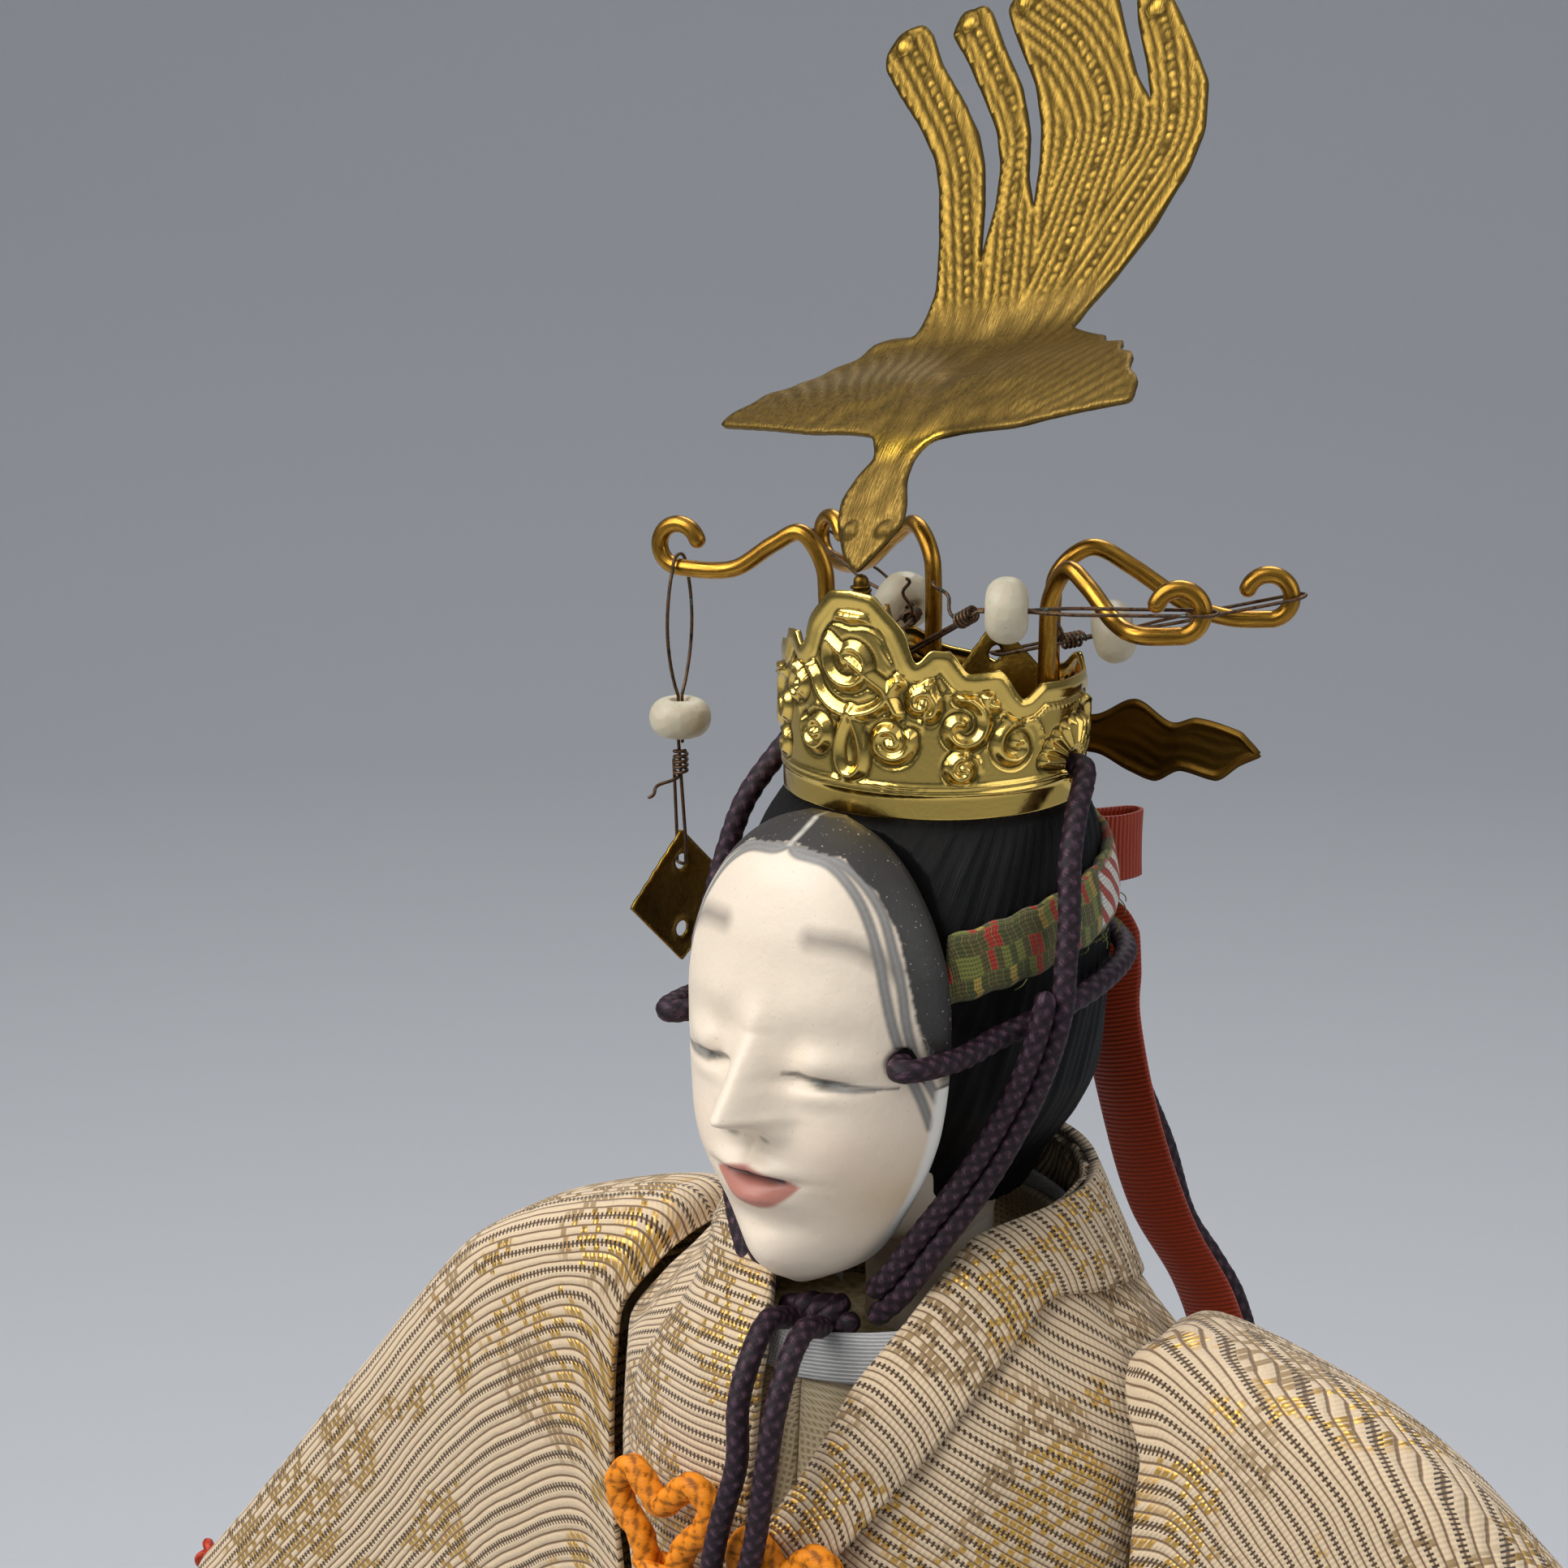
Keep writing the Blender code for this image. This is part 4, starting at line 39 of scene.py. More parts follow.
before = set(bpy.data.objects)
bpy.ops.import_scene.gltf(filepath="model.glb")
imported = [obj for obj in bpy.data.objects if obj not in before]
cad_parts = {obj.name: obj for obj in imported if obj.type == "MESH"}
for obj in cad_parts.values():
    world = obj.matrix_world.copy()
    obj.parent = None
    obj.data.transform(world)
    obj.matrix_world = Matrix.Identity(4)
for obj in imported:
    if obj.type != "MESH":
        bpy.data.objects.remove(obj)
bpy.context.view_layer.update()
MM = 0.001
GAP = 0.0003
CHIN = 0.300
HEAD = 0.0164
CROWN_BASE = 0.3420
CROWN_RADIUS = 0.0140
CHEST = 2.0427 * HEAD
HEAD_TURN = math.radians(-4)
SIDES = ((-1, "right"), (1, "left"))
UP = np.array((0.0, 0.0, 1.0))


# Colours and nodes

# The inputs that a plain tuple fills, and the output that is given back unless another is named
INPUTS = {
    "Mix": (0, 6, 7),
    "TexNoise": ("Vector", "Scale", "Detail", "Roughness"),
    "TexWave": ("Vector", "Scale", "Distortion"),
    "TexVoronoi": ("Vector", "Scale"),
    "Mapping": ("Vector", "Scale"),
}
OUTPUTS = {"Mix": 2, "TexWave": 1, "TexCoord": 3, "Attribute": 2}


def linear(code):
    """The linear colour of an sRGB hex value."""
    parts = np.array([int(code[i : i + 2], 16) for i in (1, 3, 5)]) / 255
    return tuple(
        float(v) for v in np.where(parts <= 0.04045, parts / 12.92, ((parts + 0.055) / 1.055) ** 2.4)
    )


def tinted(colour, share=1.0):
    """A hex value or a linear colour as four parts, darker or lighter by a share."""
    parts = linear(colour) if isinstance(colour, str) else colour[:3]
    return (*(min(1.0, part * share) for part in parts), 1)


def add_node(tree, kind, inputs=(), pick=None, stops=(), **settings):
    """Add a node with its settings, link or set its inputs, and give back one of its outputs."""
    node = tree.nodes.new("ShaderNode" + kind)
    if kind == "Mix":
        node.data_type = "RGBA"
    for key, value in settings.items():
        setattr(node, key, value)
    if not isinstance(inputs, dict):
        inputs = dict(zip(INPUTS.get(kind, (0, 1, 2)), inputs))
    for key, value in inputs.items():
        if isinstance(value, bpy.types.NodeSocket):
            tree.links.new(value, node.inputs[key])
        else:
            node.inputs[key].default_value = tinted(value) if isinstance(value, (str, Color)) else value
    for count, (place, colour) in enumerate(stops):
        bands = node.color_ramp.elements
        band = bands[count] if count < 2 else bands.new(place)
        band.position = place
        band.color = tinted(colour) if isinstance(colour, str) else (colour, colour, colour, 1)
    return node.outputs[OUTPUTS.get(kind, 0) if pick is None else pick]


def new_finish(name, **constants):
    """Start a material with its shader's constant values: gives back its tree and the piece's own places."""
    look = MADE[name] = bpy.data.materials.new(name)
    look.use_nodes = True
    for key, value in constants.items():
        look.node_tree.nodes["Principled BSDF"].inputs[key.replace("_", " ")].default_value = value
    return look.node_tree, add_node(look.node_tree, "TexCoord")


def complete(tree, tone, height, depth, rough=None, low=0.3, high=0.6, **values):
    """Link a tone as the base colour, a height as relief of a real depth, a value as roughness between two
    limits, and any other values to the shader's inputs of their names."""
    values["Normal"] = add_node(tree, "Bump", {"Height": height, "Distance": depth, "Strength": 1.0})
    if tone is not None:
        values["Base Color"] = tone
    if rough is not None:
        values["Roughness"] = add_node(tree, "MapRange", {"Value": rough, "To Min": low, "To Max": high})
    for key, value in values.items():
        tree.links.new(value, tree.nodes["Principled BSDF"].inputs[key])


# Curves, surfaces and their meshes


def smooth(table, places):
    """A table's columns at places: between two keys a cubic that never overshoots them."""
    rows = np.asarray(table, float)
    keys, values = rows[:, 0], rows[:, 1:]
    steps = np.diff(values, axis=0) / np.diff(keys)[:, None]
    before, after = steps[:-1], steps[1:]
    total = np.where(before * after > 0, before + after, 1)
    inner = np.where(before * after > 0, 2 * before * after / total, 0)
    slopes = np.vstack([steps[:1], inner, steps[-1:]])
    places = np.clip(np.asarray(places, float), keys[0], keys[-1])
    low = np.clip(np.searchsorted(keys, places, side="right") - 1, 0, len(keys) - 2)
    span = (keys[low + 1] - keys[low])[..., None]
    t = (places - keys[low])[..., None] / span
    ease = t * t * (3 - 2 * t)
    bend = span * (t * (1 - t) ** 2 * slopes[low] - t * t * (1 - t) * slopes[low + 1])
    return values[low] * (1 - ease) + values[low + 1] * ease + bend


def unit(vectors):
    """Vectors divided by their lengths."""
    return vectors / np.maximum(np.linalg.norm(vectors, axis=-1, keepdims=True), 1e-12)


def clipped(values):
    """Values kept between 0 and 1."""
    return np.clip(values, 0, 1)


def bell(away, wide):
    """A soft rise that falls off with distance: e to the power of minus (away / wide) squared."""
    return np.exp(-((away / wide) ** 2))


def whole_turn(count):
    """Evenly spaced angles round a full turn."""
    return 2 * math.pi * np.arange(count) / count


def compass(count):
    """Evenly spaced degrees round a full turn."""
    return np.arange(count) * 360 / count


def arc_lengths(points):
    """Distance along a path from its first point."""
    return np.concatenate([[0], np.cumsum(np.linalg.norm(np.diff(points, axis=0), axis=1))])


def at_columns(places, keys, columns):
    """Points found at places between keys, column by column."""
    return np.stack([np.interp(places, keys, column) for column in np.asarray(columns).T], -1)


def route(points, step=0.0005):
    """Evenly spaced points on a Catmull-Rom curve through the given ones."""
    knots = np.asarray([tuple(p) for p in points], float)
    ends = np.vstack([2 * knots[0] - knots[1], knots, 2 * knots[-1] - knots[-2]])
    a, b, c, d = ends[:-3, None], ends[1:-2, None], ends[2:-1, None], ends[3:, None]
    t = np.linspace(0, 1, 24, endpoint=False)[None, :, None]
    bend = (2 * a - 5 * b + 4 * c - d) * t**2 + (3 * b - a - 3 * c + d) * t**3
    fine = (b + ((c - a) * t + bend) / 2).reshape(-1, knots.shape[1])
    fine = np.vstack([fine, knots[-1:]])
    along = arc_lengths(fine)
    return at_columns(np.linspace(0, along[-1], max(8, int(along[-1] / step))), along, fine)


def from_chin(shares):
    """Places given by half widths of the head across, back and up from the chin."""
    return np.asarray(shares, float) * HEAD + (0, 0, CHIN)


def from_crown(shares):
    """Places given by radii of the crown across, back and up from its base edge's middle."""
    return np.asarray(shares, float) * CROWN_RADIUS + (0, 0, CROWN_BASE)


def head_turned(points):
    """Points turned with the head about the upright axis."""
    points = np.asarray(points, float)
    c, s = math.cos(HEAD_TURN), math.sin(HEAD_TURN)
    x, y = points[..., 0], points[..., 1]
    return np.stack([x * c - y * s, x * s + y * c, points[..., 2]], -1)


def metres_map(points, wrap=True):
    """A map in metres over a grid: distance along its rows, and distance up its columns."""
    if wrap:
        points = np.concatenate([points, points[:, :1]], axis=1)
    over = np.linalg.norm(np.diff(points, axis=1), axis=2)
    up = np.linalg.norm(np.diff(points, axis=0), axis=2)
    u = np.concatenate([np.zeros((len(points), 1)), np.cumsum(over, axis=1)], axis=1)
    v = np.concatenate([np.zeros((1, points.shape[1])), np.cumsum(up, axis=0)], axis=0)
    return np.stack([u - u[:, u.shape[1] // 2, None], v], -1)


def mesh_of(name, vertices, faces, uv=None, marks=None):
    """A mesh from arrays, with a map that follows the surface and named values on its points."""
    data = bpy.data.meshes.new(name)
    data.from_pydata(vertices.tolist(), [], faces)
    if uv is not None:
        layer = data.uv_layers.new(name="UVMap")
        layer.data.foreach_set("uv", np.asarray(uv, np.float32).ravel())
    for key, values in (marks or {}).items():
        data.attributes.new(key, "FLOAT", "POINT").data.foreach_set(
            "value", values.ravel().astype(np.float32)
        )
    data.shade_smooth()
    return data


def as_piece(name, data, finish, nodes="", body="doll", wall=0.0, side=-1):
    """A piece from a mesh, thickened by a wall if it's a sheet, with its finish, its body and the nodes
    that it stands for."""
    thing = bpy.data.objects.new(name, data)
    if wall:
        solid = thing.modifiers.new("wall", "SOLIDIFY")
        solid.thickness = wall
        solid.offset = side
        solid.use_even_offset = False
    bpy.context.scene.collection.objects.link(thing)
    data.materials.append(finish_of(finish))
    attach(thing, body)
    if nodes:
        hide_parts(*nodes.split())
    return thing


def grid_quads(index, around=False, loop=False):
    """The quads of a grid of point numbers: each joins a point with the next ones along and across."""
    rows, columns = index.shape
    i, j = np.arange(rows - (not loop)), np.arange(columns - (not around))
    up, over = (i + 1) % rows, (j + 1) % columns
    corners = ((i, j), (i, over), (up, over), (up, j))
    return np.stack([index[np.ix_(*corner)] for corner in corners], -1).reshape(-1, 4)


def surface(
    name, points, finish, nodes="", body="doll", around=False, loop=False, caps=False, uv=None, marks=None,
    wall=0.0, side=-1, crease=0,
):
    """A piece over a grid of points. around joins the last column to the first and loop the last row to
    the first. caps close the ends. Its map is in metres unless another, or none, is given."""
    rows, columns = points.shape[:2]
    index = np.arange(rows * columns).reshape(rows, columns)
    quads = grid_quads(index, around, loop)
    flat = points.reshape(-1, 3)
    a, b, c, d = (flat[quads[:, k]] for k in range(4))
    turn = (caps or loop) and np.sum(a * np.cross(b, c)) + np.sum(a * np.cross(c, d)) < 0
    faces = (quads[:, ::-1] if turn else quads).tolist()
    corner_uv = None
    if uv is not False:
        uv = metres_map(points, around) if uv is None else uv
        parts = np.stack([uv[:-1, :-1], uv[:-1, 1:], uv[1:, 1:], uv[1:, :-1]], -2).reshape(-1, 4, 2)
        corner_uv = (parts[:, ::-1] if turn else parts).reshape(-1, 2)
    if caps:
        first, last = index[0].tolist(), index[-1].tolist()
        faces += [first, last[::-1]] if turn else [first[::-1], last]
        corner_uv = None if corner_uv is None else np.vstack([corner_uv, np.zeros((2 * columns, 2))])
    data = mesh_of(name, flat, faces, corner_uv, marks)
    if crease:
        data.set_sharp_from_angle(angle=math.radians(crease))
    return as_piece(name, data, finish, nodes, body, wall, side)


def sweep(path, radius, sides=16, relief=None):
    """Rings of a round profile carried along a path without twist, its ends rounded off like half balls,
    and their map. relief gives the radius's change by the share of a turn and the distance along."""
    path = np.asarray(path, float)
    radius = np.broadcast_to(np.asarray(radius, float), len(path))
    tangents = unit(np.gradient(path, axis=0))
    carried = [
        unit(np.cross(tangents[0], (0.0, 0.0, 1.0) if abs(tangents[0][2]) < 0.9 else (1.0, 0.0, 0.0)))
    ]
    for tangent in tangents[1:]:
        carried.append(unit(carried[-1] - tangent * (carried[-1] @ tangent)))
    across = np.array(carried)
    back = np.cross(tangents, across)
    along = arc_lengths(path)
    turns = np.arange(sides) / sides
    reach = np.broadcast_to(radius[:, None], (len(path), sides))
    if relief is not None:
        reach = reach + relief(turns[None, :], along[:, None])
    angle = 2 * math.pi * turns
    spoke = across[:, None] * np.cos(angle)[None, :, None] + back[:, None] * np.sin(angle)[None, :, None]
    rings = path[:, None] + spoke * reach[..., None]
    caps = []
    for end, way in ((0, -1), (-1, 1)):
        out, wide = way * tangents[end] * radius[end], spoke[end] * reach[end][:, None]
        caps.append([path[end] + out * math.sin(a) + wide * math.cos(a) for a in np.radians((80, 50, 22))])
    rings = np.concatenate([np.array(caps[0]), rings, np.array(caps[1][::-1])])
    along = np.concatenate([[along[0]] * 3, along, [along[-1]] * 3])
    around = np.linspace(0, 1, sides + 1) * 2 * math.pi * float(radius.mean())
    return rings, np.stack(np.broadcast_arrays(around[None, :], along[:, None]), -1)


def joined(name, pieces, finish, nodes="", body="doll", marks=None):
    """Many closed grids of one finish as one piece: each is its rings, alone or with their map."""
    vertices, faces, maps, start = [], [], [], 0
    for piece in pieces:
        rings, uv = piece if isinstance(piece, tuple) else (piece, metres_map(piece))
        rows, columns = rings.shape[:2]
        index = np.arange(rows * columns).reshape(rows, columns) + start
        quads = grid_quads(index, True)
        corners = np.stack([uv[:-1, :-1], uv[:-1, 1:], uv[1:, 1:], uv[1:, :-1]], -2).reshape(-1, 4, 2)
        flat = rings.reshape(-1, 3)
        a, b, c = (flat[quads[:, k] - start] for k in range(3))
        caps = [index[0][::-1].tolist(), index[-1].tolist()]
        if np.sum((a - flat.mean(0)) * np.cross(b - a, c - a)) < 0:
            quads, corners, caps = quads[:, ::-1], corners[:, ::-1], [cap[::-1] for cap in caps]
        vertices.append(flat)
        faces += quads.tolist() + caps
        maps.append(np.vstack([corners.reshape(-1, 2), np.zeros((2 * columns, 2))]))
        start += rows * columns
    return as_piece(
        name, mesh_of(name, np.vstack(vertices), faces, np.vstack(maps), marks), finish, nodes, body
    )


# Finishes. Pattern scales are in metres; a wave texture repeats every 0.3142 / scale.

WAVE = 0.31416
MADE = {}


def finish_of(name):
    """The material of a finish, made the first time that it is asked for."""
    if name not in bpy.data.materials or name not in MADE:
        FINISHES[name](bpy.context.scene.doll_colours)
    return MADE[name]


def grained(name, stretch, noise, stops, depth, rough=(), **constants):
    """A material of one grain: noise, drawn out along the upright axis, gives its tone and its relief."""
    tree, place = new_finish(name, **constants)
    if stretch:
        place = add_node(tree, "Mapping", (place, (1.0, 1.0, stretch)))
    grain = add_node(tree, "TexNoise", (place, *noise))
    complete(
        tree, add_node(tree, "ValToRGB", (grain,), stops=stops), grain, depth,
        *((grain, *rough) if rough else ())
    )


def bare_wood(colours):
    """Turned cypress dowel, unfinished: straight narrow grain along its length."""
    grained("bare_wood", 0.06, (1800.0, 5.0), ((0.3, "#8A6238"), (0.7, "#C9A06A")), 0.0001, Roughness=0.62)


def wrapped_straw(colours):
    """Rice straw bound in thin paper: dull, with long fibres and a few dark stalks."""
    grained(
        "wrapped_straw", 0.05, (900.0, 4.0), ((0.3, "#8E7B4E"), (0.65, "#C8B68A")), 0.0004, Roughness=0.85
    )


def iron_wire(colours):
    """Annealed iron wire: dark oxide with drawn lines."""
    stops = ((0.35, "#2B2825"), (0.7, "#5A5550"))
    grained("iron_wire", None, (1500.0, 4.0), stops, 0.00003, (0.4, 0.65), Metallic=0.9)


def oxidised_copper_wire(colours):
    """Thin copper wire, oxidised dark, with green-black bloom at its twisted ends."""
    stops = ((0.3, "#2E231B"), (0.80, "#8FA394"), (0.5, "#6B4F38"), (0.66, "#3A3A33"))
    grained("oxidised_copper_wire", None, (1400.0, 3.0), stops, 0.00002, (0.3, 0.7), Metallic=0.85)


def black_lacquer(colours):
    """Brushed and polished urushi on wood: a deep black coat, clear, with faint waves from the brush."""
    coat = {"Base_Color": tinted(colours.lacquer), "Coat_Weight": 1.0, "Coat_Roughness": 0.06}
    tree, place = new_finish("black_lacquer", **coat)
    waves = add_node(tree, "TexNoise", (place, 60.0, 2.0))
    complete(tree, None, waves, 0.00006, add_node(tree, "TexNoise", (place, 900.0, 3.0)), 0.12, 0.26)


def white_cotton(colours):
    """Plain woven cotton sock cloth: fine matt threads both ways, slightly uneven."""
    tree, place = new_finish("white_cotton", Roughness=0.9, Sheen_Weight=0.3)
    threads = [add_node(tree, "TexWave", (place, WAVE / 0.0005, 0.6), bands_direction=way) for way in "ZX"]
    soil = add_node(tree, "TexNoise", (place, 120.0, 4.0))
    tone = add_node(tree, "Mix", (soil, tinted(colours.cotton, 0.82), colours.cotton))
    complete(tree, tone, add_node(tree, "Math", threads, operation="MAXIMUM"), 0.00012)


def shell_white(colours):
    """Carved wood under many coats of powdered oyster shell in glue, polished: warm ivory, satin,
    faintly uneven, with specks. Marks on the mask's points paint its hair, lines, brows, eyes and lips, and
    painted shade in its nostrils and cord holes."""
    tree, place = new_finish("shell_white", Subsurface_Weight=0.06, Subsurface_Scale=0.0012)
    cloud = add_node(tree, "TexNoise", (place, 170.0, 5.0, 0.6))
    speck = add_node(tree, "TexNoise", (place, 2600.0, 2.0))
    tone = add_node(tree, "Mix", (cloud, tinted(colours.mask, 0.90), tinted(colours.mask, 1.04)))
    fleck = add_node(tree, "ValToRGB", (speck,), stops=((0.70, 0.0), (0.76, 1.0)))
    flecked = add_node(tree, "Math", (fleck, 0.35), operation="MULTIPLY")
    tone = add_node(tree, "Mix", (flecked, tone, "#A8957C"))
    paints = (
        ("stain", "#C9A56A"), ("blush", "#DDB49C"), ("brow", "#5A5550"), ("line_edge", "#5B5854"),
        ("line", "#8E8B86"), ("charcoal", colours.mask_hair), ("parting", "#C9C2B6"), ("lip", colours.lips),
        ("teeth", "#4A3C40"), ("eye", "#8F8A82"), ("ink", "#2E2A28"), ("rim", "#F2EEE6"),
    )
    for mark, paint in paints:
        share = add_node(tree, "Attribute", attribute_name=mark)
        tone = add_node(tree, "Mix", (share, tone, paint))
    # The charcoal's dry brush: pale specks where the ground shows through
    dry = add_node(tree, "TexNoise", (place, 3400.0, 1.0))
    holes = add_node(tree, "ValToRGB", (dry,), stops=((0.71, 0.0), (0.75, 1.0)))
    charcoal = add_node(tree, "Attribute", attribute_name="charcoal")
    tone = add_node(
        tree, "Mix", (add_node(tree, "Math", (holes, charcoal), operation="MULTIPLY"), tone, "#A09C96")
    )
    complete(tree, tone, cloud, 0.00025, speck, 0.38, 0.56)


def silk(name, colour, dark, pitch=0.00035, figure=None, sheen=0.25):
    """Woven silk on its own map: fine threads both ways, a soft sheen and, where named, a gold figure."""
    tree, place = new_finish(name, Roughness=0.52, Sheen_Weight=sheen, Sheen_Roughness=0.4)
    place = add_node(tree, "UVMap")
    thread = {"Vector": place, "Scale": WAVE / pitch, "Distortion": 0.8, "Detail": 2.0, "Detail Scale": 2.0}
    threads = [add_node(tree, "TexWave", thread, bands_direction=way) for way in "XY"]
    weave = add_node(tree, "Math", threads, operation="MAXIMUM")
    shade = add_node(tree, "TexNoise", (place, 70.0, 3.0))
    tone = add_node(tree, "Mix", (shade, tinted(dark), tinted(colour)))
    # Painted shade: darker between the threads
    tone = add_node(tree, "Mix", (weave, tinted(dark, 0.75), tone))
    values = {}
    if figure:
        # Seven-lozenge figures, 9 mm apart, woven in flat gold thread
        waves = [add_node(tree, "TexWave", (place, WAVE / 0.009), bands_direction=way) for way in "XY"]
        lozenge = add_node(tree, "Math", waves, operation="ADD")
        rings = add_node(tree, "Math", (lozenge, 0.16), operation="PINGPONG")
        line = add_node(tree, "Math", (rings, 0.10), operation="GREATER_THAN")
        near = add_node(tree, "Math", (lozenge, 1.35), operation="GREATER_THAN")
        gold = add_node(tree, "Math", (line, near), operation="MULTIPLY")
        gold = add_node(tree, "Math", (gold, weave), operation="MULTIPLY")
        tone = add_node(tree, "Mix", (gold, tone, figure))
        values["Metallic"] = add_node(tree, "Math", (gold, 0.7), operation="MULTIPLY")
    complete(tree, tone, weave, 0.00008, **values)


def skirt_silk(colours):
    """Crimson figured silk of the skirt, with gold lozenges."""
    silk("skirt_silk", colours.skirt, tinted(colours.skirt, 0.6), figure="#B58A3A")


def under_robe_silk(colours):
    """Cream twill silk of the under robe."""
    silk("under_robe_silk", "#D8C6A4", "#A68F68", pitch=0.0007)


def collar_silk(colours):
    """White silk of the inner collar, glossy, with soft patches of painted grey shade."""
    silk("collar_silk", "#E4E3DF", "#B9B8B6", sheen=0.5)


def sash_silk(colours):
    """Stiff woven sash: pale gold with a brighter figure."""
    silk("sash_silk", "#B49A62", "#7F6739", pitch=0.0005, figure="#E0BC62")


def cream_gold_gauze(colours):
    """Summer gauze: round cream wefts a set pitch apart with painted shade in the gaps between them, every
    third gap opened into small square holes painted darker as shade, and flat gold and brown foil woven in
    over cloud-shaped patches."""
    pitch = bpy.context.scene.doll_sizes.gauze_pitch
    tree, place = new_finish("cream_gold_gauze", Sheen_Weight=0.2, Sheen_Roughness=0.5)
    wander = add_node(tree, "TexNoise", (place, 160.0, 2.0), 1)
    wander = add_node(tree, "VectorMath", (wander, (0.5, 0.5, 0.5)), operation="SUBTRACT")
    wander = add_node(tree, "VectorMath", {0: wander, "Scale": 0.00045}, operation="SCALE")
    cloth = add_node(tree, "VectorMath", (add_node(tree, "UVMap"), wander), operation="ADD")
    wefts = {"Vector": cloth, "Scale": WAVE / pitch, "Detail": 0.0}
    thread = add_node(tree, "TexWave", wefts, bands_direction="Y")
    thread = add_node(tree, "Math", (thread, 0.55), operation="POWER")
    # Crossing warps tie the wefts down every 0.53 mm
    tie = add_node(tree, "TexWave", (cloth, WAVE / 0.00053), bands_direction="X")
    groups = add_node(tree, "TexWave", (cloth, WAVE / (3 * pitch)), bands_direction="Y")
    open_row = add_node(tree, "Math", (groups, 0.16), operation="LESS_THAN")
    open_spot = add_node(tree, "Math", (tie, 0.42), operation="LESS_THAN")
    hole = add_node(tree, "Math", (open_row, open_spot), operation="MULTIPLY")
    # Fibres along each thread
    fibre = add_node(tree, "TexNoise", (add_node(tree, "Mapping", (cloth, (0.12, 1.0, 1.0))), 9000.0, 2.0))
    # Foil dashes 0.9 mm long, one on each weft, kept to cloud-shaped patches
    bricks = {
        "Vector": cloth, "Color1": (0, 0, 0, 1), "Color2": (1, 1, 1, 1), "Mortar": (0, 0, 0, 1),
        "Scale": 1.0 / pitch,
        "Mortar Size": 0.13, "Mortar Smooth": 0.2, "Bias": 0.0, "Brick Width": 1.15, "Row Height": 1.0,
    }
    dash = add_node(tree, "TexBrick", bricks, offset=0.5)
    dash_on = add_node(tree, "Math", (dash, 0.42), operation="GREATER_THAN")
    clouds = {"Vector": place, "Scale": 78.0, "Detail": 1.5, "Distortion": 0.8}
    gold = add_node(
        tree, "ValToRGB", (add_node(tree, "TexNoise", clouds),), stops=((0.50, 0.0), (0.54, 1.0))
    )
    clouds = {"Vector": place, "Scale": 64.0, "Detail": 1.0, "Distortion": 0.5, "W": 3.0}
    brown = add_node(tree, "TexNoise", clouds, noise_dimensions="4D")
    brown = add_node(tree, "ValToRGB", (brown,), stops=((0.53, 0.0), (0.57, 1.0)))
    gold, brown = (add_node(tree, "Math", (dash_on, patch), operation="MULTIPLY") for patch in (gold, brown))
    worn = add_node(tree, "Mix", (fibre, tinted(colours.gauze, 0.74), colours.gauze))
    worn = add_node(
        tree, "Mix", (add_node(tree, "Math", (brown, 0.8), operation="MULTIPLY"), worn, "#8A6A35")
    )
    tone = add_node(tree, "Mix", (gold, worn, colours.gold_foil))
    # Painted shade: brown in the gaps between the wefts, and darker brown in the open holes
    gap_shade_share = add_node(tree, "ValToRGB", (thread,), stops=((0.20, 1.0), (0.42, 0.0)))
    tone = add_node(tree, "Mix", (gap_shade_share, tone, colours.gauze_gap_shade))
    tone = add_node(tree, "Mix", (hole, tone, "#46331F"))
    metal = add_node(tree, "Math", (gold, 0.75), operation="MULTIPLY")
    knobs = add_node(tree, "Math", (tie, 0.25), operation="MULTIPLY")
    height = add_node(tree, "Math", (thread, knobs), operation="ADD")
    sunk = add_node(tree, "Math", (height, hole), operation="SUBTRACT")
    raised = add_node(tree, "Math", (fibre, 0.2, sunk), operation="MULTIPLY_ADD")
    shine = add_node(tree, "Math", (gold, -0.42, 0.78), operation="MULTIPLY_ADD")
    complete(tree, tone, raised, 0.00014, Metallic=metal, Roughness=shine)


def braided(name, colour, painted_highlight):
    """Braided silk cord on its own map: each stitch of fine filaments, with painted shade at its edges and a
    painted highlight on top.
    """
    tree, place = new_finish(name, Roughness=0.55, Specular_IOR_Level=0.3)
    lean = add_node(
        tree, "Mapping", {"Vector": add_node(tree, "UVMap"), "Rotation": (0, 0, math.radians(38))}
    )
    fibre = add_node(tree, "TexNoise", (add_node(tree, "Mapping", (lean, (0.1, 1.0, 1.0))), 14000.0, 2.0))
    stitch = add_node(tree, "Attribute", attribute_name="stitch")
    light = add_node(tree, "Math", (stitch, fibre), operation="MULTIPLY")
    # Painted shade in the grooves between stitches, and a painted highlight on their crests
    low = add_node(tree, "ValToRGB", (light,), stops=((0.12, 0.0), (0.34, 1.0)))
    high = add_node(tree, "ValToRGB", (light,), stops=((0.36, 0.0), (0.75, 1.0)))
    tone = add_node(tree, "Mix", (low, tinted(colour, 0.35), colour))
    complete(tree, add_node(tree, "Mix", (high, tone, painted_highlight)), fibre, 0.00006)


def red_cord(colours):
    """Vermilion braid of the sleeve knots."""
    braided("red_cord", colours.red_cord, "#E8704A")


def orange_cord(colours):
    """Bright orange braid of the chest knots."""
    braided("orange_cord", colours.orange_cord, "#F3A23C")


def purple_cord(colours):
    """Dark aubergine braid of the head cords, with a painted mauve highlight on its filaments."""
    braided("purple_cord", colours.purple_cord, "#745363")


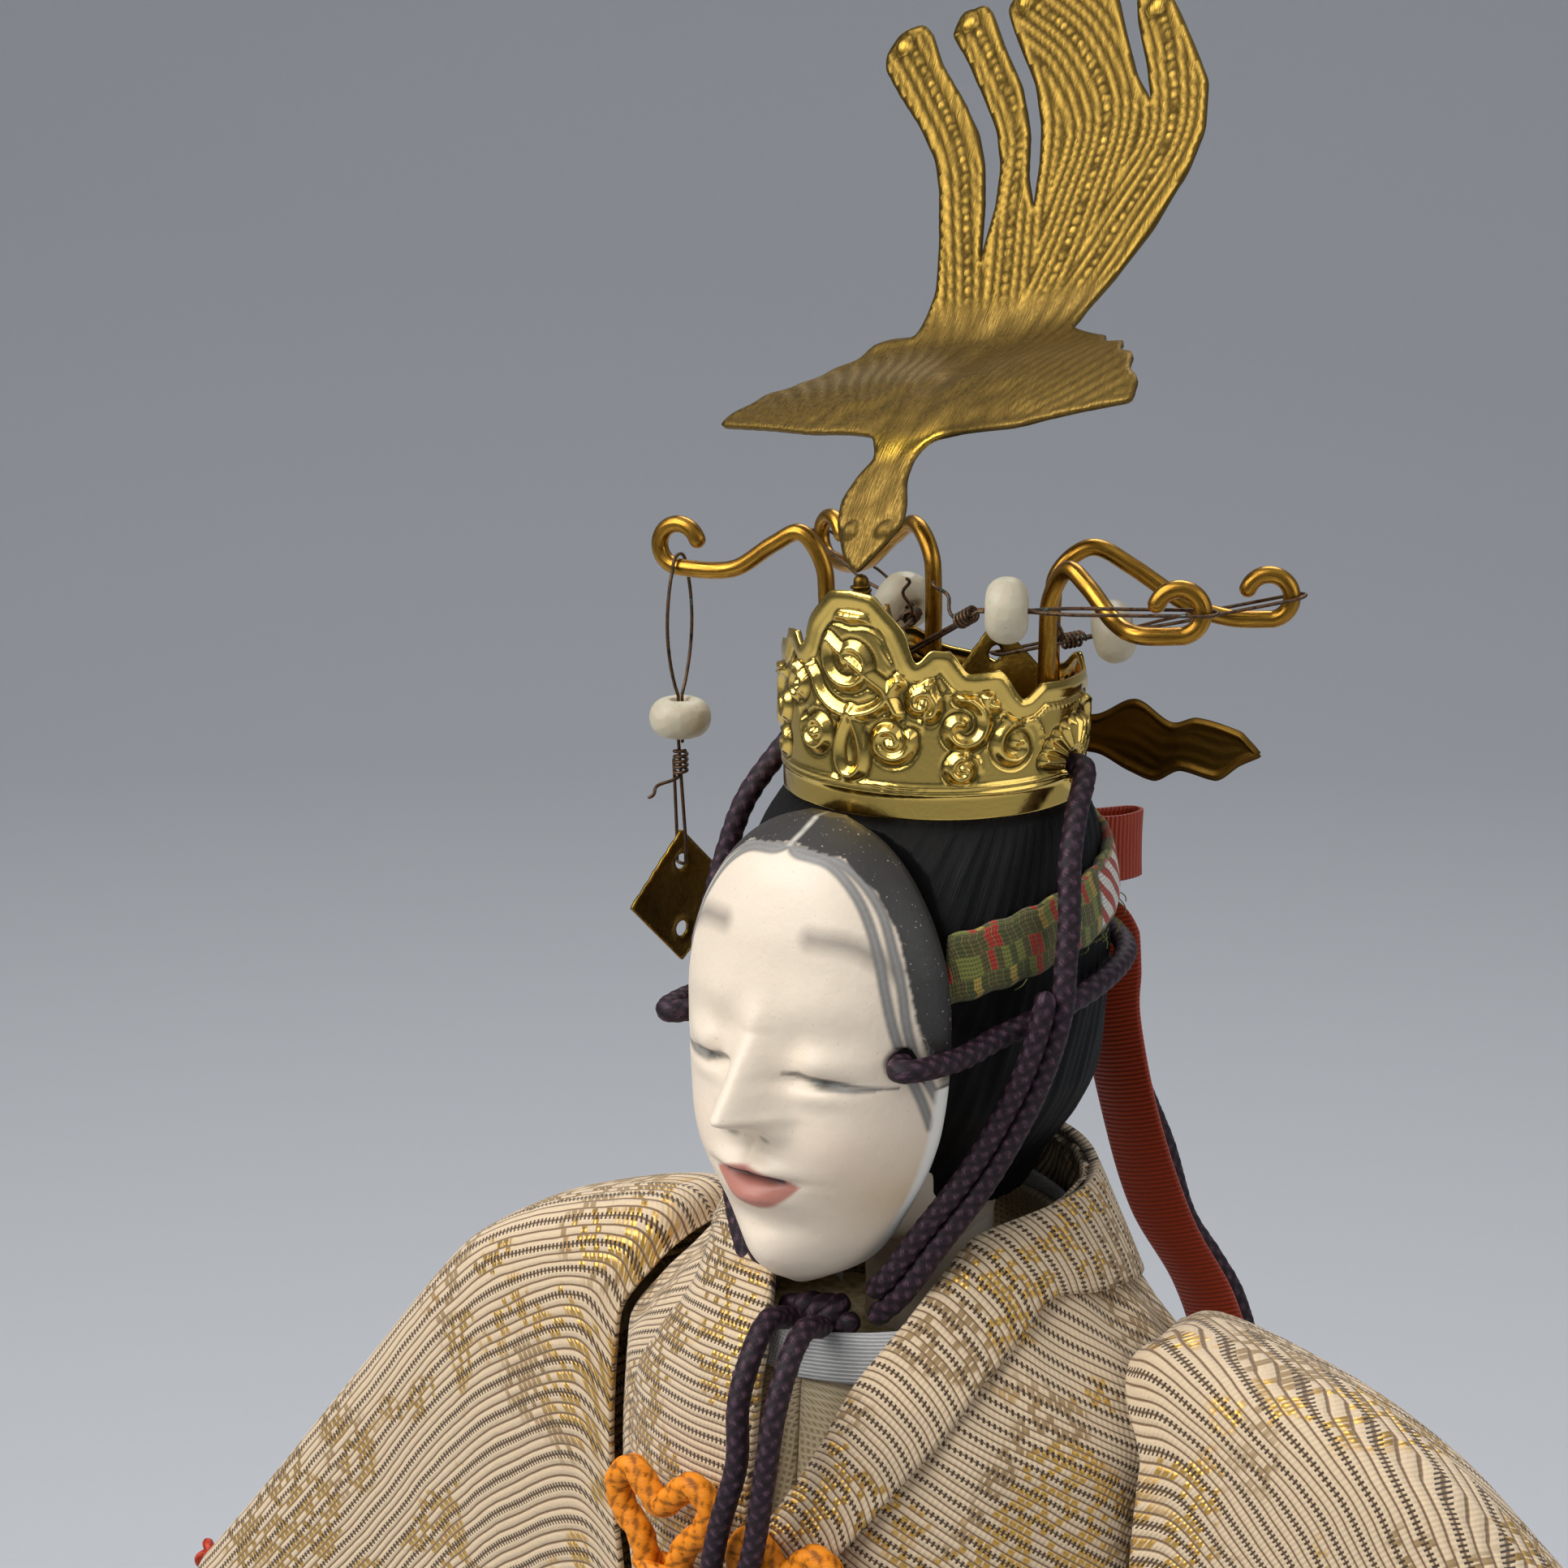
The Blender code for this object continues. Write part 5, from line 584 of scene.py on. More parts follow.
def black_hair_silk(colours):
    """Black silk filaments combed and glued: near black, with long painted grey highlights along the
    strands.
    """
    tree, place = new_finish("black_hair_silk", Base_Color=tinted(colours.hair), Specular_IOR_Level=0.2)
    stretched = add_node(tree, "Mapping", (add_node(tree, "UVMap"), (1.0, 0.035, 1.0)))
    strand = add_node(tree, "TexNoise", (stretched, 5200.0, 4.0, 0.7))
    # Painted highlight: grey streaks along the strands
    grey = add_node(tree, "ValToRGB", (strand,), stops=((0.60, 0.0), (0.80, 1.0)))
    tone = add_node(tree, "Mix", (grey, colours.hair, "#232326"))
    complete(tree, tone, strand, 0.00022, strand, 0.42, 0.7)


def brocade(colours):
    """Gold brocade hairband on its own map: olive ground, bars of flat gold, and red and white figures."""
    tree, place = new_finish("brocade", Sheen_Weight=0.15)
    place = add_node(tree, "UVMap")
    weft = add_node(tree, "TexWave", (place, WAVE / 0.00042, 0.5), bands_direction="Y")
    warp = add_node(tree, "TexWave", (place, WAVE / 0.0003, 0.5), bands_direction="X")
    weave = add_node(tree, "Math", (weft, warp), operation="MAXIMUM")
    bricks = {
        "Vector": place, "Scale": 1000.0, "Color1": (0, 0, 0, 1), "Color2": (1, 1, 1, 1),
        "Mortar": (0.3, 0.3, 0.3, 1), "Mortar Size": 0.04, "Bias": 0.0, "Brick Width": 0.75,
        "Row Height": 2.1,
    }
    threads = (
        (0.0, "#4F5220"), (1.0, "#E2D9C4"), (0.24, "#7F8034"), (0.44, "#B4953F"), (0.58, "#B3301C"),
        (0.78, "#5B5224"),
    )
    base = add_node(tree, "ValToRGB", (add_node(tree, "TexBrick", bricks),), stops=threads)
    base.node.color_ramp.interpolation = "CONSTANT"
    slant = add_node(tree, "Mapping", {"Vector": place, "Rotation": (0, 0, math.radians(52))})
    stripe = add_node(tree, "TexWave", (slant, WAVE / 0.0019), bands_direction="Y")
    red = add_node(tree, "Math", (stripe, 0.55), operation="GREATER_THAN")
    block = add_node(tree, "Mix", (red, "#E6E1D6", "#B23A26"))
    striped = add_node(tree, "Attribute", attribute_name="striped")
    tone = add_node(tree, "Mix", (striped, base, block))
    shade = add_node(tree, "Math", (weave, 0.5, 0.5), operation="MULTIPLY_ADD")
    tone = add_node(tree, "Mix", (1.0, tone, shade), blend_type="MULTIPLY")
    complete(tree, tone, weave, 0.0001, weave, 0.45, 0.75)


def red_ribbon(colours):
    """Ribbed silk ribbon: fine cross ribs with a painted orange highlight on their crests and painted shade
    between them.
    """
    tree, place = new_finish("red_ribbon", Roughness=0.5, Sheen_Weight=0.08, Sheen_Roughness=0.3)
    place = add_node(tree, "UVMap")
    rib = add_node(tree, "TexWave", (place, WAVE / 0.00045, 0.7), bands_direction="Y")
    fibre = add_node(tree, "TexNoise", (place, 5000.0, 3.0))
    light = add_node(tree, "Math", (rib, fibre), operation="MULTIPLY")
    # Painted highlight on the rib crests and painted shade in the grooves between them
    tone = add_node(tree, "Mix", (light, tinted(colours.ribbon, 0.45), tinted(colours.ribbon, 1.5)))
    complete(tree, tone, rib, 0.00009)


def brass(name, colour, shadow, rough, depth=0.00003, stain_scale=90.0, stain=(0.45, 0.75), lines=None):
    """Sheet or wire brass: its own colour where handled, browner where it has tarnished or lies low."""
    tree, place = new_finish(name, Metallic=1.0)
    cloud = add_node(tree, "TexNoise", (place, stain_scale, 6.0, 0.65))
    height = grain = add_node(tree, "TexNoise", (place, 2400.0, 3.0))
    tarnish = add_node(tree, "ValToRGB", (cloud,), stops=((stain[0], 0.0), (stain[1], 1.0)))
    sunk = add_node(tree, "Attribute", attribute_name="low")
    # dirt: tarnish and patina in hollows, and painted shade where a piece marks a hole as low
    dirt = add_node(tree, "Math", (tarnish, sunk), operation="MAXIMUM")
    if lines:
        drawn = add_node(tree, "Mapping", (add_node(tree, "UVMap"), lines))
        height = add_node(tree, "TexNoise", (drawn, 6000.0, 3.0))
        streak = add_node(tree, "ValToRGB", (height,), stops=((0.46, 0.55), (0.60, 0.0)))
        dirt = add_node(tree, "Math", (dirt, streak), operation="MAXIMUM")
    # Places rubbed bright, and places given a painted highlight, keep less tarnish and are smoother
    rubbed = add_node(tree, "Attribute", attribute_name="rubbed")
    worn = add_node(tree, "Math", (rubbed, -0.7, 1.0), operation="MULTIPLY_ADD")
    dirt = add_node(tree, "Math", (dirt, worn), operation="MULTIPLY")
    skin = add_node(tree, "Mix", (rubbed, colour, "#CFA53E"))
    tone = add_node(tree, "Mix", (dirt, skin, shadow))
    wear = add_node(tree, "Math", (dirt, 0.5, grain), operation="MULTIPLY_ADD")
    wear = add_node(tree, "Math", (wear, worn), operation="MULTIPLY")
    complete(tree, tone, height, depth, wear, *rough)


def crown_brass(colours):
    """Stamped sheet brass, polished: bright yellow, with brown left in the hollows of the relief."""
    brass("crown_brass", colours.brass, "#4A3914", (0.08, 0.26), 0.00001, 130.0, (0.62, 0.98))


def dark_brass(colours):
    """Sheet brass gone bronze brown under old lacquer."""
    brass("dark_brass", "#6E5220", "#33240E", (0.28, 0.55))


def wire_brass(colours):
    """Drawn brass wire: bright along its crown, brown tarnish in patches."""
    brass("wire_brass", "#C08F38", "#6B4416", (0.14, 0.40), 0.00002, 160.0, (0.48, 0.80), (1.0, 0.06, 1.0))


def brass_plate(colours):
    """Rolled sheet brass cut by hand: dull dark gold, scratched."""
    brass("brass_plate", "#A07E34", "#4E3A16", (0.22, 0.48), 0.00004, 210.0, (0.42, 0.72))


def phoenix_brass(colours):
    """Thin stamped sheet, aged: a matt olive-brown skin, rubbed bright where it stands proud, with a painted
    highlight across its nape.
    """
    brass(
        "phoenix_brass", colours.phoenix, "#3E3014", (0.12, 0.66), 0.00005, 120.0, (0.40, 0.80),
        (1.0, 0.10, 1.0)
    )


def frosted_glass(colours):
    """Old glass bead ground matt: milky yellow-white, light going a little way in, pits and fine dirt."""
    body = {"Subsurface_Weight": 0.35, "Subsurface_Scale": 0.0015, "IOR": 1.5, "Transmission_Weight": 0.30}
    tree, place = new_finish("frosted_glass", **body)
    cloud = add_node(tree, "TexNoise", (place, 420.0, 4.0))
    pit = add_node(tree, "TexVoronoi", (place, 1100.0))
    dirt = add_node(tree, "ValToRGB", (pit,), stops=((0.06, 1.0), (0.14, 0.0)))
    tone = add_node(tree, "Mix", (cloud, tinted(colours.glass, 0.84), colours.glass))
    tone = add_node(
        tree, "Mix", (add_node(tree, "Math", (dirt, 0.5), operation="MULTIPLY"), tone, "#8F8262")
    )
    complete(tree, tone, pit, 0.00008, cloud, 0.35, 0.6)


FINISHES = {
    maker.__name__: maker
    for maker in (
        black_lacquer, white_cotton, bare_wood, wrapped_straw, iron_wire, shell_white, skirt_silk,
        under_robe_silk,
        collar_silk, sash_silk, cream_gold_gauze, red_cord, orange_cord, purple_cord, black_hair_silk,
        brocade,
        red_ribbon, crown_brass, dark_brass, wire_brass, oxidised_copper_wire, frosted_glass, brass_plate,
        phoenix_brass,
    )
}




# The dressed body

TORSO = (
    (0.367, 1.36, 1.15, 1.06), (0.500, 1.26, 1.05, 0.96), (0.633, 1.10, 0.92, 0.83),
    (0.700, 1.00, 0.83, 0.73), (0.753, 0.90, 0.76, 0.63), (0.833, 0.94, 0.79, 0.62),
    (0.907, 1.00, 0.82, 0.60), (0.947, 0.985, 0.80, 0.56), (0.967, 0.86, 0.785, 0.53),
    (0.980, 0.745, 0.74, 0.50), (0.993, 0.65, 0.66, 0.475), (1.007, 0.575, 0.545, 0.45),
    (1.023, 0.52, 0.44, 0.43),
)
CORE = (
    (0.233, 1.00, 0.81, 0.74), (0.400, 1.00, 0.81, 0.74), (0.533, 0.99, 0.80, 0.73),
    (0.650, 0.93, 0.75, 0.65), (0.752, 0.895, 0.712, 0.567),
)
SKIRT = (
    (0.120, 1.00, 0.87, 0.83), (0.200, 0.95, 0.82, 0.78), (0.333, 0.83, 0.70, 0.655),
    (0.500, 0.73, 0.62, 0.565), (0.633, 0.645, 0.535, 0.475), (0.700, 0.590, 0.475, 0.410),
    (0.753, 0.560, 0.452, 0.362),
)
CLOTH = 0.0008
COLLAR_INSET, ROBE_INSET, SASH_INSET = 0.0004, 0.0017, 0.0034
INNER_COLLAR_INSET, INNER_ROBE_INSET, CORE_INSET = 0.0039, 0.0047, 0.0072
ROBE_FOLD_TOP, ROBE_HEM, ROBE_NECK = 0.7167 * CHIN, 0.4267 * CHIN, 1.0183 * CHIN
COLLAR_NAPE = 1.0217 * CHIN
COLLAR_WIDTH = 0.0102
COLLAR_HEIGHT = (
    1.0, 0.9995, 0.998, 0.997, 0.9955, 0.991, 0.982, 0.972, 0.9625, 0.9525, 0.933, 0.9135, 0.894, 0.8645,
    0.84, 0.79, 0.72, 0.57, 0.425,
)
COLLAR_LEFT = (180, 150, 120, 95, 70, 45, 36, 29, 22.5, 16.5, 9, 3, -3, -13, -12, -5, 3, 3, 3)
COLLAR_RIGHT = (180, 150, 120, 95, 64, 34, 18, 10.5, 7, 5, 4.5, 5, 6, 9, 13, 10, 6, 5, 5)
COLLAR_LEFT_WIDE = (0, 0, 0, 4, 12, 22, 22, 21.5, 20.5, 20, 16.5, 14.5, 13, 12.5, 14, 17, 20, 18, 16)
COLLAR_RIGHT_WIDE = (0, 0, 0, 3, 10, 19, 25, 29, 32, 34, 35, 35, 34, 32, 30, 27, 25, 22, 18)
COLLAR_DROP = (
    1.0, 1.0, 0.95, 0.85, 0.75, 0.55, 0.45, 0.34, 0.25, 0.20, 0.12, 0.10, 0.08, 0.05, 0.05, 0.02, 0.0, 0.0,
    0.0,
)
INNER_NAPE = 1.0073 * CHIN
INNER_DEGREES = (180, 140, 105, 80, 58, 38, 20, 0.3)
INNER_HEIGHT = (1.0, 0.998, 0.995, 0.992, 0.989, 0.986, 0.983, 0.980)
CUFF_X = 0.092
CUFF_TOP = {-1: 0.795 * CHIN, 1: 0.8633 * CHIN}
SLEEVE_HEM = {-1: 0.4 * CHIN, 1: 0.4467 * CHIN}
SLEEVE_TOP = 0.9733 * CHIN
SLEEVE_KEYS = (
    (0.00, 0.00, 0.00, 0.00, 1.00, 0.40), (0.12, 0.08, -0.05, 0.05, 0.97, 0.38),
    (0.30, 0.24, 0.02, 0.16, 0.90, 0.36), (0.62, 0.60, 0.46, 0.60, 0.66, 0.32),
    (1.00, 1.00, 1.00, 1.00, 0.52, 0.24),
)
ARM_ROUTE = (
    (0.00, 0.90, 0.00, 0.0), (0.22, 0.80, 0.04, 0.0), (0.35, 0.40, 0.05, 0.0), (0.49, 0.00, -0.06, 0.15),
    (0.70, -0.18, -0.45, 0.55), (0.91, -0.26, -0.95, 1.0), (1.06, -0.30, -1.22, 1.0),
)


def oval(sizes, degrees, height):
    """Points of ovals: the half width times the angle's sine across, a depth times its cosine forward.
    The last axis of the sizes holds the half width, the front depth and the back depth."""
    angle = np.radians(degrees)
    depth = np.where(np.cos(angle) > 0, sizes[..., 1], sizes[..., 2])
    parts = np.broadcast_arrays(sizes[..., 0] * np.sin(angle), -depth * np.cos(angle), height)
    return np.stack(parts, -1)


def torso_skin(height, degrees):
    """Points on the dressed torso's outer surface, ovals by height."""
    return oval(smooth(TORSO, height / CHIN) * CHEST, degrees, height)


def torso(height, degrees, inset=0.0):
    """Points under the dressed torso's outer surface, drawn in square to it by an inset."""
    height, degrees, inset = np.broadcast_arrays(np.asarray(height, float), degrees, inset)
    step = 0.01 * CHIN
    along = torso_skin(height, degrees + 1.0) - torso_skin(height, degrees - 1.0)
    rise = torso_skin(height + step, degrees) - torso_skin(height - step, degrees)
    return torso_skin(height, degrees) - unit(np.cross(along, rise)) * inset[..., None]


def base_board():
    """The lacquered board: a profile of plinth, hollow step and rounded top edge, carried round a
    rectangle with rounded corners and drawn in to the top's middle."""
    corner = np.radians(np.linspace(0, 90, 12))
    profile = [(0.0, 0.0016), (0.0003, 0.0006), (0.0014, 0.0)]
    profile += [(0.0055 + 0.0015 * math.sin(a), 0.0015 - 0.0015 * math.cos(a)) for a in corner[::3]]
    profile += [(0.0074, 0.0030), (0.0078, 0.0044), (0.0090, 0.0050), (0.0195, 0.0050)]
    profile += [(0.0195 + 0.0025 * math.sin(a), 0.0075 - 0.0025 * math.cos(a)) for a in corner[1:]]
    rings = []
    for height, inset in profile:
        radius = max(0.0005, 0.008 - inset)
        ring = []
        for quarter, (sx, sy) in enumerate(((1, 1), (-1, 1), (-1, -1), (1, -1))):
            middle = np.array((sx * (0.092 - 0.0), sy * (0.072 - 0.0), height))
            turn = corner + math.pi / 2 * quarter
            spots = np.stack([np.cos(turn), np.sin(turn), np.zeros_like(turn)], -1)
            ring.append(middle + spots * radius)
        rings.append(np.concatenate(ring))
    rings = np.array(rings)
    shrink = np.array([(1 - 0.25 * k) for k in range(1, 4)])
    tops = [rings[-1] * (s, s, 1) for s in shrink]
    return surface(
        "base", np.concatenate([rings, tops]), "black_lacquer", "base_board", around=True, caps=True,
        uv=False,
        crease=30,
    )


def foot(side, word):
    """A tabi sock: superellipse sections from the toes to the heel, with a cleft between the toes, and
    its shin, a round form round the leg."""
    table = (
        (-0.62, 0.20, 0.28), (-0.60, 0.36, 0.50), (-0.55, 0.45, 0.66), (-0.40, 0.50, 0.78),
        (-0.15, 0.44, 0.98),
        (0.10, 0.40, 1.25), (0.30, 0.36, 1.10), (0.38, 0.22, 0.70),
    )
    sole = 0.0223
    along = np.concatenate([np.linspace(-0.62, -0.35, 36), np.linspace(-0.34, 0.38, 40)])
    sizes = smooth(table, along)
    angle = whole_turn(72)
    c, s = np.cos(angle), np.sin(angle)
    across = np.sign(c) * np.abs(c) ** 0.7
    up = np.sign(s) * np.abs(s) ** 0.6
    x = sizes[:, :1] * 0.0165 * across
    z = sizes[:, 1:] * 0.012 * (1 + up) / 2
    front = clipped((-0.36 - along) / 0.2)[:, None]
    cleft = bell(x + side * 0.0014, 0.0007) * front * (up > 0)
    z = z * (1 - 0.42 * cleft)
    y = np.broadcast_to(along[:, None] * 0.042, x.shape)
    sock = np.stack([x + side * 0.013, y, z + sole], -1)
    heights = np.linspace(0.0290, 0.069, 30)
    radius = np.interp(heights, (0.029, 0.045, 0.069), (0.0062, 0.0062, 0.0072))
    ring = np.stack([np.cos(angle), np.sin(angle)], -1)
    shin = np.concatenate(
        [radius[:, None, None] * ring[None], np.broadcast_to(heights[:, None, None], (30, 72, 1))], -1
    ) + (side * 0.013, 0, 0)
    pieces = [sock, shin]
    return joined(f"tabi_{word}", pieces, "white_cotton", f"tabi_foot_{word}")


def body_form():
    """The bound straw body: ovals up to the waist, then the torso's own shape drawn in."""
    low = np.linspace(0.2333, 0.752, 40) * CHIN
    high = np.linspace(0.759, 0.9633, 40) * CHIN
    degrees = compass(96)
    binding = 0.0003 * np.abs(np.sin(np.pi * low / 0.006))[:, None, None]
    lower = oval((smooth(CORE, low / CHIN) * 1.6463 * HEAD)[:, None] - binding, degrees[None], low[:, None])
    over = clipped((high / CHIN - 0.9333) / 0.03)
    sizes = smooth(TORSO, high / CHIN) * CHEST - (CORE_INSET + 0.006 * over)[:, None]
    upper = oval(sizes[:, None], degrees[None], high[:, None])
    rings = np.concatenate([lower, upper])
    return surface(
        "straw_body", rings, "wrapped_straw", "body_core", around=True, caps=True,
    )


def arm_path(side):
    """One arm's wire from the spine to the palm."""
    lift = CUFF_TOP[1] - CUFF_TOP[-1] if side > 0 else 0
    table = np.array(ARM_ROUTE)
    heights = 0.93 * CHIN + table[:, 2] * 0.1833 * CHIN + table[:, 3] * lift
    return route(np.stack([side * table[:, 0] * CUFF_X, table[:, 1] * 0.010, heights], -1), 0.001)


def thread_marks(turn, along):
    """Furrows of the thread that is wound round a padding."""
    return -0.0002 * np.cos(along / 0.00035 + turn * 6.2832)


def arms():
    """Straw paddings round the arm wires, with thread bound round them, and a carved hand on each end:
    a palm of oval sections, four fingers side by side and a thumb."""
    for side, word in SIDES:
        path = arm_path(side)
        reach = np.abs(path[:, 0])
        padding = path[(reach > 0.8806 * CHEST) & (reach < 0.913 * CUFF_X)]
        rings, uv = sweep(route(padding, 0.0008), 0.0030, 24, relief=thread_marks)
        surface(
            f"padding_{word}", rings, "wrapped_straw", f"arm_padding_{word}", around=True, caps=True,
            uv=uv,
        )
        axis = unit(path[-1] - path[-6])
        wrist = path[reach < 0.913 * CUFF_X][-1] + axis * 0.001
        back = unit(np.cross(axis, (0.0, 0.0, 1.0)))
        over = unit(np.cross(back, axis))
        table = (
            (0.0, 0.50, 0.80), (0.12, 0.56, 0.84), (0.32, 0.98, 1.0), (0.5, 1.0, 0.88), (0.60, 0.94, 0.7)
        )
        places = np.linspace(0, 0.60, 24)
        sizes = smooth(table, places) * (0.00425, 0.0022)
        angle = whole_turn(40)[None, :, None]
        palm = (
            (wrist + axis * places[:, None] * 0.02)[:, None]
            + over * np.cos(angle) * sizes[:, None, :1]
            + back * np.sin(angle) * sizes[:, None, 1:]
        )
        pieces = [palm]
        for k, long in enumerate((0.90, 0.98, 1.0, 0.93)):
            offset = over * (k - 1.5) * 0.0019
            start = wrist + axis * 0.0095 + offset
            tip = wrist + axis * (0.02 * long) + offset * 0.7 - back * 0.0006
            bend = (start + tip) / 2 + back * 0.0004
            pieces.append(sweep(route([start, bend, tip], 0.0005), np.array(0.00095), 16))
        root = wrist + axis * 0.004 + over * 0.0026
        knuckle = root + axis * 0.004 + over * 0.0022
        pieces.append(
            sweep(route([root, knuckle, knuckle + axis * 0.004 + over * 0.0008], 0.0005), 0.00125, 16)
        )
        joined(f"palm_{word}", pieces, "shell_white", f"hand_{word}")


def skirt():
    """The long skirt: ovals by height, whose size follows a sine of ten folds that deepen towards the hem
    and lean a little, with a finer second sine between them."""
    heights = np.linspace(0.12, 0.7533, 90) * CHIN
    degrees = compass(300)
    share = ((0.7533 * CHIN - heights) / (0.6333 * CHIN))[:, None]
    turn = np.radians(degrees)[None] * 10 + 0.5 * np.sin(share * 5)
    wave = np.sin(turn) + 0.16 * np.sin(turn * 3 + 1.0) * share
    sizes = (smooth(SKIRT, heights / CHIN) * 1.358 * CHEST)[:, None]
    sizes = sizes + (0.0026 * share**1.3 * wave)[..., None]
    rows = oval(sizes, degrees[None], heights[:, None])
    thing = surface(
        "skirt_cloth", rows, "skirt_silk", "skirt", around=True, wall=CLOTH
    )


def under_robe():
    """The under robe, crossed at the chest, its pale collar strip and the sash round the waist."""
    heights = np.linspace(0.7583, 1.0017, 70) * CHIN
    first = np.interp(heights, [h * INNER_NAPE for h in INNER_HEIGHT][::-1], INNER_DEGREES[::-1])
    share = np.linspace(0, 1, 160)[None]
    degrees = first[:, None] + (360 - 2 * first[:, None]) * share
    rows = torso(heights[:, None], degrees, INNER_ROBE_INSET)
    robe = surface(
        "under_robe", rows, "under_robe_silk", "inner_robe", wall=CLOTH
    )
    trail = list(zip(INNER_HEIGHT, INNER_DEGREES))
    path = np.array([(h, 360 - d) for h, d in trail[:0:-1]] + trail)
    fine = smooth(np.column_stack([np.arange(len(path)), path]), np.linspace(0, len(path) - 1, 160))
    drop = np.linspace(0, 0.005, 9)[None]
    grid = torso(fine[:, :1] * INNER_NAPE - drop, fine[:, 1:] % 360, INNER_COLLAR_INSET)
    grid = grid[:, ::-1]
    surface(
        "under_collar", grid, "collar_silk", "inner_collar", wall=0.0005
    )
    heights = np.linspace(0.73, 0.7767, 20) * CHIN
    degrees = compass(200)
    lines = 0.0002 * np.abs(np.sin((heights - heights[0]) / 0.0035 * math.pi))[:, None]
    rows = torso(heights[:, None], degrees[None], SASH_INSET - lines)
    sash = surface(
        "sash", rows, "sash_silk", "waist_sash", around=True, wall=0.0006
    )


def collar_grid(degrees_list, width_list, turn, columns=15, rows=190):
    """The collar band down one side, from the nape to the hem, as heights and angles."""
    keys = np.arange(len(COLLAR_HEIGHT))
    table = np.column_stack([keys, COLLAR_HEIGHT, degrees_list, width_list, COLLAR_DROP])
    share, degrees, wide, drop = smooth(table, np.linspace(0, len(keys) - 1, rows)).T[..., None]
    k = np.linspace(0, 1, columns)[None]
    return share * COLLAR_NAPE - drop * COLLAR_WIDTH * k, turn * (degrees + wide * k)


def robe():
    """The gauze robe's body: the torso's surface between its front edges, which folds softly below the
    waist, with threads that run outward and down, and the collar band that edges it."""
    heights = np.linspace(ROBE_HEM, ROBE_NECK, 166)
    keys = [share * COLLAR_NAPE for share in COLLAR_HEIGHT][::-1]
    left = np.interp(heights, keys, COLLAR_LEFT[::-1])[:, None] + 6
    right = 354 - np.interp(heights, keys, COLLAR_RIGHT[::-1])[:, None]
    share = np.linspace(0, 1, 290)[None]
    degrees = left + (right - left) * share
    depth = 0.0016 * np.clip((ROBE_FOLD_TOP - heights) / (ROBE_FOLD_TOP - ROBE_HEM), 0, None)[:, None]
    wave = (1 - np.cos(np.radians(degrees - left) * 6)) / 2
    ripple = 0.00025 * np.sin(np.radians(degrees) * 17 + heights[:, None] * 90)
    rows = torso(heights[:, None], degrees, ROBE_INSET + depth * wave + ripple)
    arc = np.abs((degrees + 180) % 360 - 180) / 360 * 2 * math.pi * CHEST * 0.92
    lean = math.radians(31)
    v = heights[:, None] * math.cos(lean) + arc * math.sin(lean)
    u = arc * math.cos(lean) - heights[:, None] * math.sin(lean)
    cloth = np.stack([np.broadcast_to(u, v.shape), v], -1)
    thing = surface("robe_body", rows, "cream_gold_gauze", "outer_robe", uv=cloth, wall=CLOTH)
    high_left, turn_left = collar_grid(COLLAR_LEFT, COLLAR_LEFT_WIDE, 1)
    high_right, turn_right = collar_grid(COLLAR_RIGHT, COLLAR_RIGHT_WIDE, -1)
    height = np.concatenate([high_right[:0:-1], high_left])
    degrees = np.concatenate([turn_right[:0:-1] % 360, turn_left])
    roll = 0.0005 * np.linspace(-1, 1, height.shape[1])[None] ** 2
    lapped = clipped((0.943 * CHIN - height) / 0.006) * clipped((height - 0.80 * CHIN) / 0.006)
    lapped = lapped * (np.arange(len(height)) >= len(high_right) - 1)[:, None]
    grid = torso(height, degrees, COLLAR_INSET + roll - 0.0013 * lapped)[:, ::-1]
    collar = surface(
        "collar", grid, "cream_gold_gauze", "robe_collar", wall=0.0010
    )


def sleeve_rows(side, stations, columns):
    """Closed outlines of a sleeve from its seam to its cuff: height follows the cosine of the turn, depth
    a flattened sine, and the reach outwards runs from the torso's side to the cuff. Folds run down it."""
    t = np.linspace(0, 1, stations)[:, None]
    top_x, top_drop, bottom_x, top_depth, bottom_depth = smooth(SLEEVE_KEYS, t[:, 0]).T[..., None]
    top = SLEEVE_TOP - (SLEEVE_TOP - CUFF_TOP[side]) * top_drop
    angle = whole_turn(columns)[None]
    down = (1 - np.cos(angle)) / 2
    height = top + (SLEEVE_HEM[side] - top) * down
    wide = 0.0150 * (top_depth + (bottom_depth - top_depth) * down)
    bulge = np.sign(np.sin(angle)) * np.abs(np.sin(angle)) ** 0.45
    fold = 0.0022 * t * np.sin(5 * math.pi * t) * down
    ripple = 0.0005 * t * (1 - t) * 4 * np.sin(9 * math.pi * t + 5 * down) * down
    depth = -wide * bulge + fold + ripple - 0.0030 * t
    sizes = smooth(TORSO, height / CHIN) * CHEST
    room = np.where(depth < 0, sizes[..., 1], sizes[..., 2])
    inner = sizes[..., 0] * np.sqrt(np.clip(1 - (depth / room) ** 2, 0, None)) - 0.0007
    outer = CUFF_X + 0.0080 * down
    across = top_x + (bottom_x - top_x) * down
    return np.stack([side * (inner + (outer - inner) * across), depth, height], -1)


